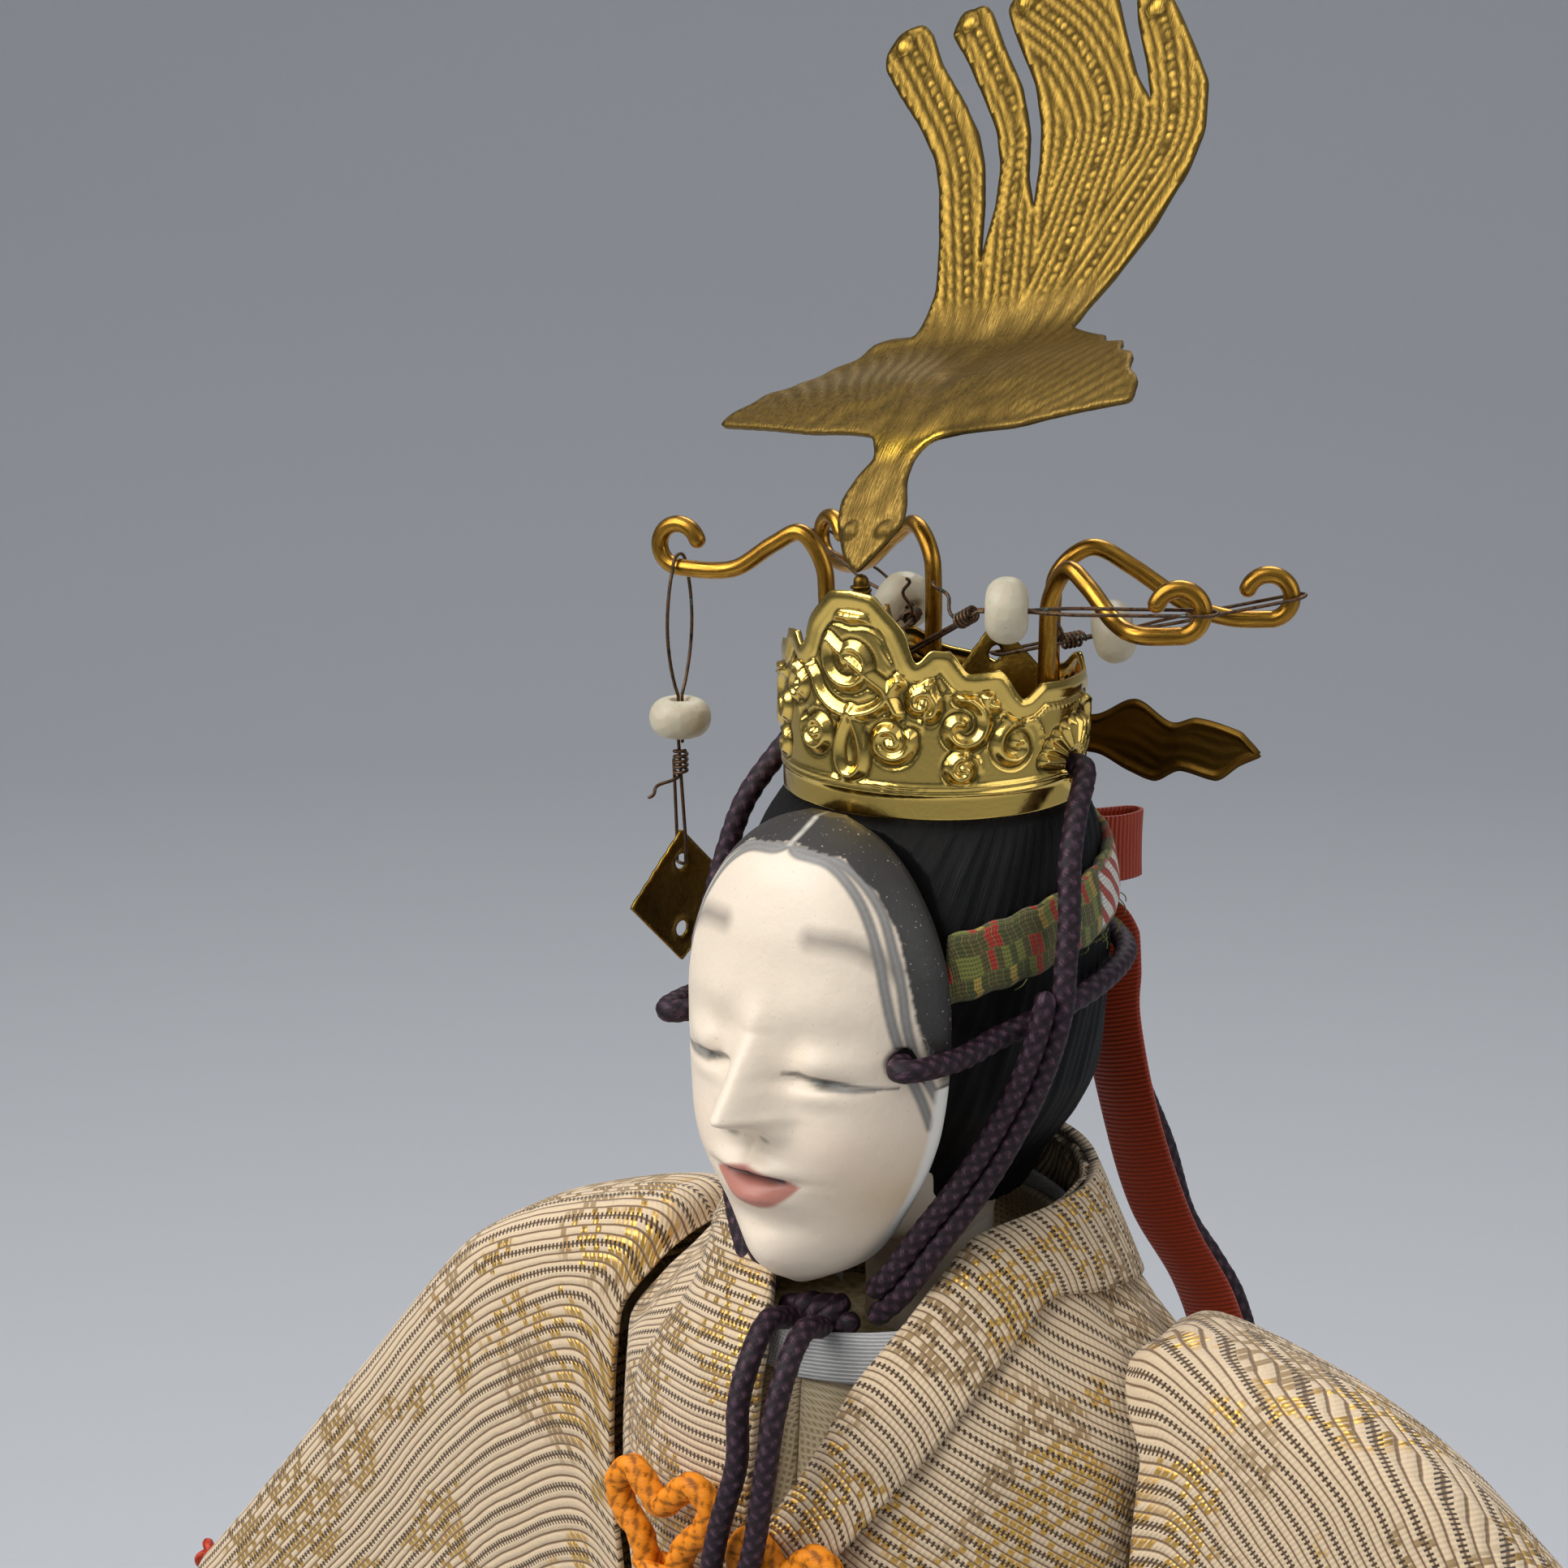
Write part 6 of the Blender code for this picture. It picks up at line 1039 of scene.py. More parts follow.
def sleeves():
    """The wide sleeves, their threads along the far sleeve's slope and steeper on the near one, and a
    small bow of vermilion cord at each cuff's top."""
    for side, word in SIDES:
        rows = sleeve_rows(side, 130, 200)
        closed = np.concatenate([rows, rows[:, :1]], axis=1)
        steps = np.linalg.norm(np.diff(closed, axis=1), axis=2)
        around = np.concatenate([np.zeros((len(rows), 1)), np.cumsum(steps, axis=1)], axis=1)
        down = np.minimum(around, around[:, -1:] - around)
        out = arc_lengths(rows[:, 0])[:, None]
        slope = math.atan2(SLEEVE_TOP - CUFF_TOP[side], CUFF_X - 0.042)
        lean = math.radians(46 if side < 0 else 50)
        u = down * math.sin(lean) + out * math.cos(lean - slope)
        v = down * math.cos(lean) - out * math.sin(lean - slope)
        cloth = np.stack([u, v], -1)
        if side > 0:
            rows, cloth = rows[:, ::-1], cloth[:, ::-1]
        thing = surface(
            f"sleeve_cloth_{word}", rows, "cream_gold_gauze", f"sleeve_{word}", around=True, uv=cloth,
            wall=CLOTH,
        )
        tip = rows[-1][rows[-1][:, 2].argmax()]
        middle = tip + np.array((side * 0.0022, 0.0, -0.0018))
        pieces = [sweep(middle + knot_path(0.0016), 0.00062, 16)]
        bow = np.array(
            ((0, 0, 0), (-0.5, -0.3, -0.6), (-0.9, -0.2, -1.5), (-0.3, 0.1, -2.1), (0.2, 0, -1.1), (0, 0, 0))
        )
        for way in (-1, 1):
            pieces.append(sweep(route(middle + bow * (0.0016 * way, 0.0016, 0.0010), 0.0003), 0.00055, 12))
        cord_piece(f"sleeve_bow_{word}", pieces, "red_cord", f"sleeve_knot_{word}", pitch=0.0016)


# Cords

CORD = 0.00105


def stitched(rings, uv, pitch, strands=4, depth=0.13):
    """Give a swept cord the relief of a braid: two sets of strands wind opposite ways and pass over and
    under by turns, and each visible stitch is a cosine across its strand. Gives back the stitch heights."""
    middle = rings.mean(axis=1, keepdims=True)
    spoke = rings - middle
    around = np.arange(rings.shape[1]) / rings.shape[1]
    along = uv[:, :1, 1]
    a = math.pi * (strands * around[None] + along / pitch)
    b = math.pi * (strands * around[None] - along / pitch)
    turns_a, turns_b = np.round(a / math.pi), np.round(b / math.pi)
    across_a, across_b = np.cos(a - turns_a * math.pi), np.cos(b - turns_b * math.pi)
    first = across_a * clipped(across_b) ** 0.35
    second = across_b * clipped(across_a) ** 0.35
    lens = clipped(np.where((turns_a + turns_b) % 2 == 0, first, second)) ** 0.7
    return middle + spoke * (1 + depth * (lens - 0.6))[..., None], lens


def cord_piece(name, pieces, finish, nodes="", pitch=0.0016):
    """Braided cords as one piece: swept round profiles with stitch relief, and the stitches' heights as a
    value on the points."""
    formed, marks = [], []
    for rings, uv in pieces:
        rings, lens = stitched(rings, uv, pitch)
        formed.append((rings, uv))
        marks.append(lens.ravel())
    return joined(name, formed, finish, nodes, marks={"stitch": np.concatenate(marks)})


def knot_path(size):
    """An overhand knot's closed turn as a trefoil: its angle goes twice round while its radius and depth
    follow three waves."""
    t = np.linspace(0, 2 * math.pi * 0.97, 90)
    r = size * (0.72 + 0.34 * np.cos(3 * t))
    return np.stack([r * np.cos(2 * t), 0.62 * size * np.sin(3 * t), r * np.sin(2 * t)], -1)


MASK_CORD_ROUTE = (
    (1.3963, 60), (1.4756, 75), (1.5488, 95), (1.5732, 125), (1.5610, 155), (1.5549, 180), (1.5610, 205),
    (1.5732, 235), (1.5488, 265), (1.4756, 285), (1.3963, 300),
)
MASK_CORD_FRONT = ((0.8598, -1.3354, 1.3659), (0.9085, -1.1707, 1.3598), (0.9329, -0.9268, 1.3598))
CROWN_CORD_ROUTE = (
    (0.7866, 0.0976, 2.7561), (0.9390, 0.0854, 2.7500), (1.0244, -0.1341, 2.5610), (1.0976, -0.3171, 2.3354),
    (1.1585, -0.4146, 2.0427), (1.1829, -0.4817, 1.8293), (1.2012, -0.5610, 1.5244),
    (1.1159, -0.6220, 1.1585), (0.9878, -0.7195, 0.8049), (0.8598, -0.8293, 0.5183),
    (0.6951, -0.9878, 0.2134), (0.5366, -1.0854, -0.0610), (0.3780, -1.0976, -0.2317),
)
CHIN_KNOT = (0.0000, -1.1341, -0.3049)
BACK_KNOT = (0.0000, 1.3598, 1.5488)
FREE_CORDS = {
    "chin_tail_right": (
        (-0.0976, -1.3110, -0.2927), (-0.0610, -1.5366, -0.2195), (-0.0244, -1.7439, -0.3171),
        (-0.0122, -1.9024, -0.5793), (0.0122, -1.9573, -0.9146), (-0.1159, -1.9634, -1.3720),
        (-0.2012, -1.9512, -1.8293), (-0.2805, -1.8780, -2.5610), (-0.3415, -1.8171, -3.4146),
        (-0.3780, -1.7805, -4.2683), (-0.4024, -1.8049, -5.1220), (-0.4268, -1.8902, -5.9756),
    ),
    "chin_tail_left": (
        (0.1341, -1.3110, -0.2927), (0.1829, -1.5366, -0.2195), (0.2195, -1.7439, -0.3171),
        (0.2317, -1.9024, -0.5793), (0.2073, -1.9573, -0.9146), (0.1341, -1.9634, -1.3720),
        (0.0244, -1.9512, -1.8293), (-0.0244, -1.8780, -2.5610), (-0.0732, -1.8171, -3.4146),
        (-0.1220, -1.7927, -4.2683), (-0.1585, -1.8171, -5.0000), (-0.1829, -1.8659, -5.5488),
    ),
    "mask_tail_right": (
        (-0.0732, 1.3598, 1.3659), (0.0244, 1.3902, 1.1707), (0.2866, 1.3780, 0.9451),
        (0.4024, 1.3841, 0.5183), (0.6220, 1.3902, 0.0488), (0.7561, 1.4024, -0.3659),
        (0.9512, 1.4390, -0.6463), (1.0915, 1.4817, -0.9024), (1.1951, 1.5244, -1.2805),
        (1.2561, 1.5488, -1.8293), (1.2805, 1.5610, -2.5610), (1.2805, 1.5671, -3.2927),
    ),
    "mask_tail_left": (
        (0.0976, 1.3598, 1.3720), (0.2439, 1.3902, 1.2195), (0.4756, 1.3780, 1.0061),
        (0.5854, 1.3841, 0.5427), (0.7927, 1.3902, 0.1098), (0.9390, 1.4024, -0.3049),
        (1.1159, 1.4390, -0.5610), (1.2622, 1.4817, -0.8171), (1.3780, 1.5244, -1.2561),
        (1.4390, 1.5488, -1.8293), (1.4512, 1.5610, -2.5610), (1.4512, 1.5671, -3.0488),
    ),
}
CHEST_KNOTS = {"right": (-0.6646, -1.7378, -1.6524), "left": (0.2317, -1.8050, -1.8171)}
KNOT_LOOP = (
    (-0.27, -2.0), (-0.27, -1.2), (-0.27, -0.6), (-0.45, 0.0), (-0.78, 0.35), (-0.92, 0.80), (-0.60, 1.12),
    (-0.28, 0.88), (0.0, 0.66), (0.28, 0.88), (0.60, 1.12), (0.92, 0.80), (0.78, 0.35), (0.45, 0.0),
    (0.27, -0.6), (0.27, -1.2), (0.27, -1.8),
)


def free_cords():
    """The four loose ends of the purple cords, each from its knot down the robe to a knot of its own,
    with a short frayed end of separate strands below it."""
    for word, shares in FREE_CORDS.items():
        path = route(from_chin(shares), 0.00025)
        cord = cord_piece(word + "_cord", [sweep(path, CORD, 20)], "purple_cord", word)
        end, way = path[-1], unit(path[-1] - path[-9])
        pieces = [sweep(end + way * 0.0010 + knot_path(0.0016), 0.0006, 14)]
        for k in range(7):
            turn = 2 * math.pi * k / 7
            spread = np.array((math.cos(turn), 0.35 * math.sin(turn), 0.0)) * 0.0009
            start = end + way * 0.0018 + spread * 0.4
            tips = [start, start + way * 0.0020 + spread * 0.5, start + way * 0.0042 + spread]
            pieces.append(sweep(route(tips, 0.0004), 0.00028, 8))
        end_knot = cord_piece(word + "_end", pieces, "purple_cord", pitch=0.0012)


def tied_cords():
    """The purple cords that bind the head: one from the mask's holes round the hair, and the crown's two,
    doubled, down the temples to the knot under the chin. Knots are turns of the same braid."""
    back = [hair_at(CHIN + up * HEAD, degrees, CORD + 2 * GAP) for up, degrees in MASK_CORD_ROUTE]
    outer, inner = mask_hole(1)
    out = unit(outer - inner)
    front = [(outer + inner) / 2, outer + out * CORD * 1.5] + [from_chin(p) for p in MASK_CORD_FRONT]
    left = [head_turned(p) for p in front]
    right = [head_turned(np.asarray(p) * (-1, 1, 1)) for p in front]
    path = route(left + back + right[::-1], 0.00025)
    cord_piece("mask_tie", [sweep(path, CORD, 20)], "purple_cord", "mask_cord")
    for side, word in SIDES:
        path = route(from_chin(CROWN_CORD_ROUTE) * (side, 1, 1), 0.00025)
        beside = path[int(0.42 * len(path)) : int(0.97 * len(path))]
        forward = unit(np.cross(unit(beside * (1, 1, 0)), np.gradient(beside, axis=0)))
        forward = forward * -np.sign(forward[:, 1:2])
        pieces = [sweep(path, CORD, 20), sweep(beside + forward * CORD * 1.9, CORD * 0.94, 20)]
        cord_piece(f"crown_tie_{word}", pieces, "purple_cord", f"crown_cord_{word}")
    for name, node, place, sizes in (
        ("knot_under_chin", "chin_knot", CHIN_KNOT, (4.2, 2.0, 2.1)),
        ("knot_behind", "back_knot", BACK_KNOT, (2.1, 1.8, 2.0)),
    ):
        middle = from_chin(place)
        t = np.linspace(0, 1, 60)
        pieces = []
        for k, tilt in enumerate((-0.5, 0.0, 0.5)):
            turn = 2 * math.pi * t
            wide = CORD * (sizes[0] - 1.0) * (0.62 + 0.30 * np.cos(turn))
            ring = np.stack(
                [CORD * tilt * 2.2 + 0.35 * wide * np.sin(turn), CORD * (sizes[1] - 1.0) * np.cos(turn),
                 CORD * (sizes[2] - 1.0) * np.sin(turn + tilt)], -1,
            )
            pieces.append(sweep(middle + ring[:-3], CORD * 0.96, 20))
        span = CORD * (sizes[0] - 1.0)
        bar = np.stack(
            [np.linspace(-span, span, 30), np.zeros(30), 0.0004 * np.sin(np.linspace(0, 6, 30))], -1
        )
        pieces.append(sweep(middle + bar, CORD * 1.02, 20))
        cord_piece(name, pieces, "purple_cord", node)


def chest_knots():
    """The orange cords on the collar, each an omega of two upright loops whose ends run down together,
    bound by a turn of the same cord."""
    for word, shares in CHEST_KNOTS.items():
        middle = from_chin(shares)
        points = [middle + np.array((a, -0.035 * math.cos(3 * a), b)) * 0.0058 for a, b in KNOT_LOOP]
        path = route(points, 0.00025)
        pieces = [sweep(path, 0.0013, 20)]
        turn = np.linspace(0, 2 * math.pi * 0.96, 40)
        ring = np.stack([0.0027 * np.cos(turn), 0.0012 * np.sin(turn), np.full(40, -0.0026)], -1)
        pieces.append(sweep(middle + ring, 0.0007, 14))
        cord_piece(f"chest_bow_{word}", pieces, "orange_cord", f"chest_knot_{word}", pitch=0.0021)


# Head, hair and mask

HEAD_TABLE = (
    (0.00, 0.46, 0.30, 0.44), (0.08, 0.52, 0.62, 0.50), (0.22, 0.68, 0.86, 0.66), (0.42, 0.88, 0.99, 0.86),
    (0.62, 0.96, 1.00, 0.96), (0.80, 0.90, 0.90, 0.90), (0.92, 0.70, 0.72, 0.72), (1.00, 0.38, 0.40, 0.40),
)
HAIR_TABLE = (
    (0.00, 0.55, 0.50, 0.60), (0.10, 0.68, 0.64, 0.74), (0.20, 0.85, 0.80, 0.87), (0.31, 0.96, 0.92, 0.96),
    (0.52, 1.00, 1.00, 1.00), (0.70, 0.985, 0.98, 0.985), (0.84, 0.93, 0.88, 0.93),
    (0.925, 0.860, 0.70, 0.84), (0.945, 0.790, 0.62, 0.75), (0.975, 0.62, 0.50, 0.60),
    (1.00, 0.30, 0.25, 0.30),
)
HAIR_BOTTOM, HAIR_TOP = CHIN + 0.1829 * HEAD, CHIN + 2.6829 * HEAD
MASK_BOTTOM, MASK_TOP = CHIN - 0.0854 * HEAD, CHIN + 2.5854 * HEAD
MASK_HALF, MASK_PLANE, MASK_DEPTH = 0.8537 * HEAD, 0.872 * HEAD, 0.5915 * HEAD
MASK_DEPTHS = (
    (0.00, 0.42), (0.04, 0.66), (0.09, 0.78), (0.18, 0.87), (0.30, 0.96), (0.45, 1.00), (0.62, 1.00),
    (0.76, 0.95), (0.87, 0.80), (0.94, 0.60), (1.00, 0.12),
)
MASK_WIDTHS = (
    (0.00, 0.13), (0.03, 0.30), (0.08, 0.47), (0.17, 0.66), (0.28, 0.84), (0.38, 0.94), (0.50, 0.99),
    (0.60, 1.00), (0.70, 0.97), (0.79, 0.88), (0.87, 0.74), (0.93, 0.58), (0.97, 0.40), (1.00, 0.14),
)


def hair_sizes(height):
    """Half width, front depth and back depth of the hair at heights."""
    share = (np.asarray(height, float) - HAIR_BOTTOM) / (HAIR_TOP - HAIR_BOTTOM)
    return smooth(HAIR_TABLE, share) * (HEAD, 1.25 * HEAD, 1.0488 * HEAD)


def hair_at(height, degrees, out):
    """Points outside the hair, turned with the head."""
    return head_turned(oval(hair_sizes(height) + np.asarray(out, float)[..., None], degrees, height))


def bump(x, z, middle, wide, high):
    """A soft rise: a bell over the distance across and up from its middle."""
    return np.exp(-(((x - middle[0]) / wide) ** 2) - (((z - middle[1]) / high) ** 2))


def mask_relief(x, z):
    """How far the carved features stand out, as a sum of soft bells: the nose's ridge rises evenly from the
    bridge to its tip and has two wings, lids lie over the sunken eyes, the lips are two rolls."""
    tip, bridge = CHIN + 1.0488 * HEAD, CHIN + 1.0488 * HEAD + 0.0072
    rise = np.clip(1 - 0.8 * (z - tip) / (bridge - tip), 0.2, 1)
    above = rise * np.exp(-((np.clip(z - bridge, 0, None) / 0.0026) ** 2))
    profile = np.where(z < tip, bell(tip - z, 0.0015), above)
    width = 0.0026 * (0.55 + 0.45 * profile)
    relief = 0.0060 * profile * bell(x, width)
    x = np.abs(x)
    relief += 0.0013 * bump(x, z, (0.0026, CHIN + 0.0157), 0.0013, 0.0012)
    relief += 0.0013 * bump(x, z, (0.0, CHIN + 0.0105), 0.0068, 0.0052)
    relief += 0.0011 * bump(x, z, (0.0014, CHIN + 0.0118), 0.0028, 0.0009)
    relief += 0.0012 * bump(x, z, (0.0, CHIN + 0.0087), 0.0030, 0.0011)
    relief -= 0.0013 * bump(x, z, (0.0, CHIN + 0.0107), 0.0038, 0.00050)
    relief -= 0.0004 * bump(x, z, (0.0, CHIN + 0.0137), 0.0007, 0.0011)
    relief -= 0.0007 * bump(x, z, (0.0, CHIN + 0.0058), 0.0038, 0.0012)
    relief += 0.0014 * bump(x, z, (0.0, CHIN + 0.0023), 0.0037, 0.0030)
    relief += 0.0011 * bump(x, z, (0.0064, CHIN + 0.0222), 0.0034, 0.0015)
    relief += 0.0005 * bump(x, z, (0.0064, CHIN + 0.0191), 0.0034, 0.0010)
    relief -= 0.0011 * bump(x, z, (0.0064, CHIN + 0.0204), 0.0030, 0.00055)
    relief -= 0.0007 * bump(x, z, (0.0040, CHIN + 0.0226), 0.0015, 0.0022)
    relief += 0.0005 * bump(x, z, (0.0060, CHIN + 0.0272), 0.0042, 0.0022)
    relief += 0.0011 * bump(x, z, (0.0080, CHIN + 0.0132), 0.0050, 0.0042)
    return relief


def mask_front(u, v):
    """The mask's face: u runs from edge to edge and v from the chin up. Its half width and depth follow
    tables by height, and its bulge a flattened curve across."""
    height = MASK_BOTTOM + v * (MASK_TOP - MASK_BOTTOM)
    half = smooth(MASK_WIDTHS, v)[..., 0] * MASK_HALF
    depth = smooth(MASK_DEPTHS, v)[..., 0]
    bulge = np.clip(1 - np.abs(u) ** 2.3, 0, None) ** 0.55
    x = half * u
    forward = 0.0020 + MASK_DEPTH * depth * bulge + mask_relief(x, height) * bulge
    return np.stack(np.broadcast_arrays(x, -MASK_PLANE - forward, height), -1)


def mask_hole(side):
    """Where a cord hole meets the mask's face, and a point behind it."""
    v = np.array((CHIN + 1.3659 * HEAD - MASK_BOTTOM) / (MASK_TOP - MASK_BOTTOM))
    outer = mask_front(np.array(side * 0.88), v)
    return outer, outer + np.array((-side * 0.0009, 0.0016, 0.0))


def near_line(points, line, wide, soft=0.0002):
    """How strongly a painted line covers each point: full within half its width, then fading."""
    line = route(line, 0.0003)
    away = np.full(points.shape[:2], 1.0)
    for k in range(0, len(line), 40):
        gap = points[..., None, :] - line[k : k + 40]
        away = np.minimum(away, np.sqrt((gap**2).sum(-1)).min(-1))
    return clipped((wide / 2 + soft - away) / (2 * soft))


def both_sides(line):
    """A painted line on the mask and its mirror image, as points on the face."""
    line = np.asarray(line, float)
    return [mask_front(line[:, 0] * way, line[:, 1]) for way in (-1, 1)]


def local_line(spots):
    """A line on the mask given by distance across and height in millimetres, as u and v."""
    spots = np.asarray(spots, float) * MM
    v = (spots[:, 1] - MASK_BOTTOM) / (MASK_TOP - MASK_BOTTOM)
    return np.column_stack([spots[:, 0] / (smooth(MASK_WIDTHS, v)[:, 0] * MASK_HALF), v])


def mask_paint(u, v, points):
    """The painted marks on the face as values from 0 to 1, each found by distance to its line."""
    x, z = np.abs(points[..., 0]), points[..., 2]
    outer = [(0, 0.957), (0.18, 0.945), (0.55, 0.935), (0.71, 0.902), (0.78, 0.852), (0.81, 0.777),
             (0.82, 0.697), (0.85, 0.614), (0.91, 0.524), (0.96, 0.456), (0.99, 0.393)]
    second = [(0.13, 0.952), (0.64, 0.940), (0.80, 0.910), (0.87, 0.852), (0.88, 0.782), (0.89, 0.704),
              (0.90, 0.627), (0.93, 0.556), (0.97, 0.499), (0.995, 0.451)]
    inner = np.array([(0, 0.962), (0.72, 0.945), (0.87, 0.887), (0.91, 0.805), (0.91, 0.724), (0.93, 0.624),
                      (0.97, 0.551), (0.99, 0.501)])
    marks = {}
    line, edge = 0, 0
    for spots in (outer, second):
        for path in both_sides(spots):
            line = np.maximum(line, near_line(points, path, 0.00062))
            edge = np.maximum(edge, near_line(points, path, 0.00095))
    marks["line"], marks["line_edge"] = line, edge
    limit = np.interp(v, inner[::-1, 1], inner[::-1, 0])
    ragged = 0.002 * np.sin(v * 190) + 0.0015 * np.sin(v * 411 + 1)
    charcoal = clipped((np.abs(u) - limit + ragged) / 0.012) * (v > 0.46)
    charcoal = np.maximum(charcoal, clipped((v - 0.957 - 0.002 * np.sin(u * 130)) / 0.006))
    marks["charcoal"] = charcoal
    parting = mask_front(np.array((-0.02, 0.0, 0.01)), np.array((0.957, 0.975, 0.997)))
    marks["parting"] = near_line(points, parting, 0.0005) * (v > 0.955)
    upper = np.array([(4.7, 334.0), (7.5, 334.1), (9.7, 333.1), (11.5, 331.4)])
    lower = np.array([(5.1, 332.9), (9.1, 332.1), (11.2, 330.6), (11.5, 330.4)])
    centre = (upper + lower) / 2
    brow = 0
    for path in both_sides(local_line(centre)):
        brow = np.maximum(brow, near_line(points, path, 0.0011, 0.0010))
    marks["brow"] = 0.85 * brow
    low_z = np.interp(x / MM, (3.4, 4.6, 6.4, 9.0, 11.8), (320.8, 320.55, 319.85, 319.75, 320.0)) * MM
    high_z = np.interp(x / MM, (3.4, 4.6, 6.4, 9.0, 11.8), (320.95, 321.2, 320.95, 320.4, 320.15)) * MM
    inside = clipped(np.minimum(z - low_z, high_z - z) / 0.00012)
    inside = inside * (x > 0.0034) * (x < 0.0112)
    marks["eye"] = inside
    lid = clipped(1 - np.abs(z - high_z) / 0.00026) * (x > 0.0030) * (x < 0.0122)
    pupil = clipped(1 - np.hypot(x - 0.0066, (z - (low_z + high_z) / 2) * 1.3) / 0.0007) * inside
    under = 0.55 * clipped(1 - np.abs(z - low_z) / 0.0002) * (x > 0.0040) * (x < 0.0108)
    # Painted shade in the nostrils, carried with the ink lines
    nostril = clipped(1.5 - np.hypot((x - 0.0018) / 0.00055, (z - CHIN - 0.0147) / 0.00040))
    marks["ink"] = clipped(np.maximum.reduce([0.8 * lid, pupil * 0.7, 0.7 * under, 0.5 * nostril]))
    top = CHIN + 0.0119 + 0.0004 * np.cos(x / 0.0016) - 0.0009 * (x / 0.0048) ** 2
    bottom = CHIN + 0.0074 + 0.0028 * (x / 0.0048) ** 2
    lips = clipped(np.minimum(top - z, z - bottom) / 0.0004) * (x < 0.0050)
    marks["lip"] = 0.85 * lips
    teeth = clipped(1 - np.abs(z - CHIN - 0.01075) / 0.00042) * clipped((0.0036 - x) / 0.0004)
    marks["teeth"] = clipped(teeth * 1.6)
    marks["blush"] = 0.22 * bump(x, z, (0.0085, CHIN + 0.0135), 0.0035, 0.0035)
    marks["stain"] = 0.35 * bump(points[..., 0], z, (0.0105, CHIN + 0.0085), 0.0030, 0.0040)
    marks["rim"] = clipped((np.abs(u) - 0.986) / 0.01) * (v < 0.47)
    return marks


def ringed(grid):
    """A grid with its outermost rows and columns given twice."""
    return np.pad(grid, [(1, 1), (1, 1)] + [(0, 0)] * (grid.ndim - 2), mode="edge")


def mask():
    """The carved mask: a grid that is closer at its edges, whose outermost row and column turn back to the
    rim plane, thickened into a shell."""
    u = np.sin(np.linspace(-math.pi / 2, math.pi / 2, 208))[None]
    v = np.linspace(0.0, 1.0, 226)
    v = (v + 0.4 * ((1 - np.cos(math.pi * v)) / 2 - v))[:, None]
    u, v = np.broadcast_arrays(u, v)
    face = mask_front(u, v)
    marks = mask_paint(u, v, face)
    points = ringed(face)
    for edge in (points[:, 0], points[:, -1], points[0], points[-1]):
        edge[:, 1] = -MASK_PLANE - 0.0014
    hole = np.zeros(points.shape[:2])
    for side in (-1, 1):
        outer = mask_hole(side)[0]
        away = np.linalg.norm(points - outer, axis=-1)
        hole = np.maximum(hole, clipped((0.00155 - away) / 0.0002))
    marks = {key: ringed(np.broadcast_to(value, u.shape).astype(float)) for key, value in marks.items()}
    # The cord holes painted dark as shade
    marks["ink"] = np.maximum(marks["ink"], hole)
    points = points + np.stack([np.zeros_like(hole), 0.0010 * hole, np.zeros_like(hole)], -1)
    surface(
        "mask_face", head_turned(points), "shell_white", "mask", uv=False, marks=marks, wall=0.0014,
    )


def head_and_hair():
    """The doll's own head on its neck, and over it the silk hair: ovals by height, flat where the mask
    lies, ruffled by strands that run back and down as a sum of fine waves."""
    share = np.linspace(0, 1, 60)
    bottom, top = CHIN - 0.0915 * HEAD, CHIN + 2.3476 * HEAD
    sizes = smooth(HEAD_TABLE, share) * (0.7927 * HEAD, 1.372 * HEAD, 0.8049 * HEAD)
    degrees = compass(96)
    face = oval(sizes[:, None], degrees[None], (bottom + share * (top - bottom))[:, None])
    face[..., 1] = np.maximum(face[..., 1], -MASK_PLANE - 0.0040)
    heights = np.linspace(CHIN - 1.3415 * HEAD, bottom + 0.006, 40)
    flare = np.interp(heights, (heights[0], heights[20], heights[-1]), (0.0066, 0.0060, 0.0064))
    neck = oval(np.repeat(flare[:, None, None], 3, 2), degrees[None], heights[:, None])
    pieces = [head_turned(face), neck]
    joined("head_form", pieces, "shell_white", "head")
    share = np.concatenate([np.linspace(0, 0.9, 190), np.linspace(0.905, 1.0, 50)])
    heights = HAIR_BOTTOM + share * (HAIR_TOP - HAIR_BOTTOM)
    degrees = compass(400)
    arc = np.radians(degrees)[None] * HEAD
    lean = arc - (heights[:, None] - CHIN) * 0.30 * np.sign(np.sin(np.radians(degrees)))[None]
    strands = 0.00007 * np.sin(lean / 0.00021 + 2.0 * np.sin(lean / 0.0031 + heights[:, None] * 120))
    strands = strands + 0.00010 * np.sin(lean / 0.00067 + 3 * np.sin(heights[:, None] * 150 + lean * 200))
    grid = oval(hair_sizes(heights)[:, None] + strands[..., None], degrees[None], heights[:, None])
    grid[..., 1] = np.maximum(grid[..., 1], -0.8415 * HEAD)
    full = np.radians(np.linspace(0, 360, 401))[None] * HEAD
    slant = full - (heights[:, None] - CHIN) * 0.30 * np.sign(
        np.sin(np.linspace(0.001, 2 * math.pi - 0.001, 401))
    )
    cloth = np.stack(np.broadcast_arrays(slant, heights[:, None]), -1)
    surface(
        "hair_cap", head_turned(grid), "black_hair_silk", "hair", around=True, caps=True, uv=cloth
    )


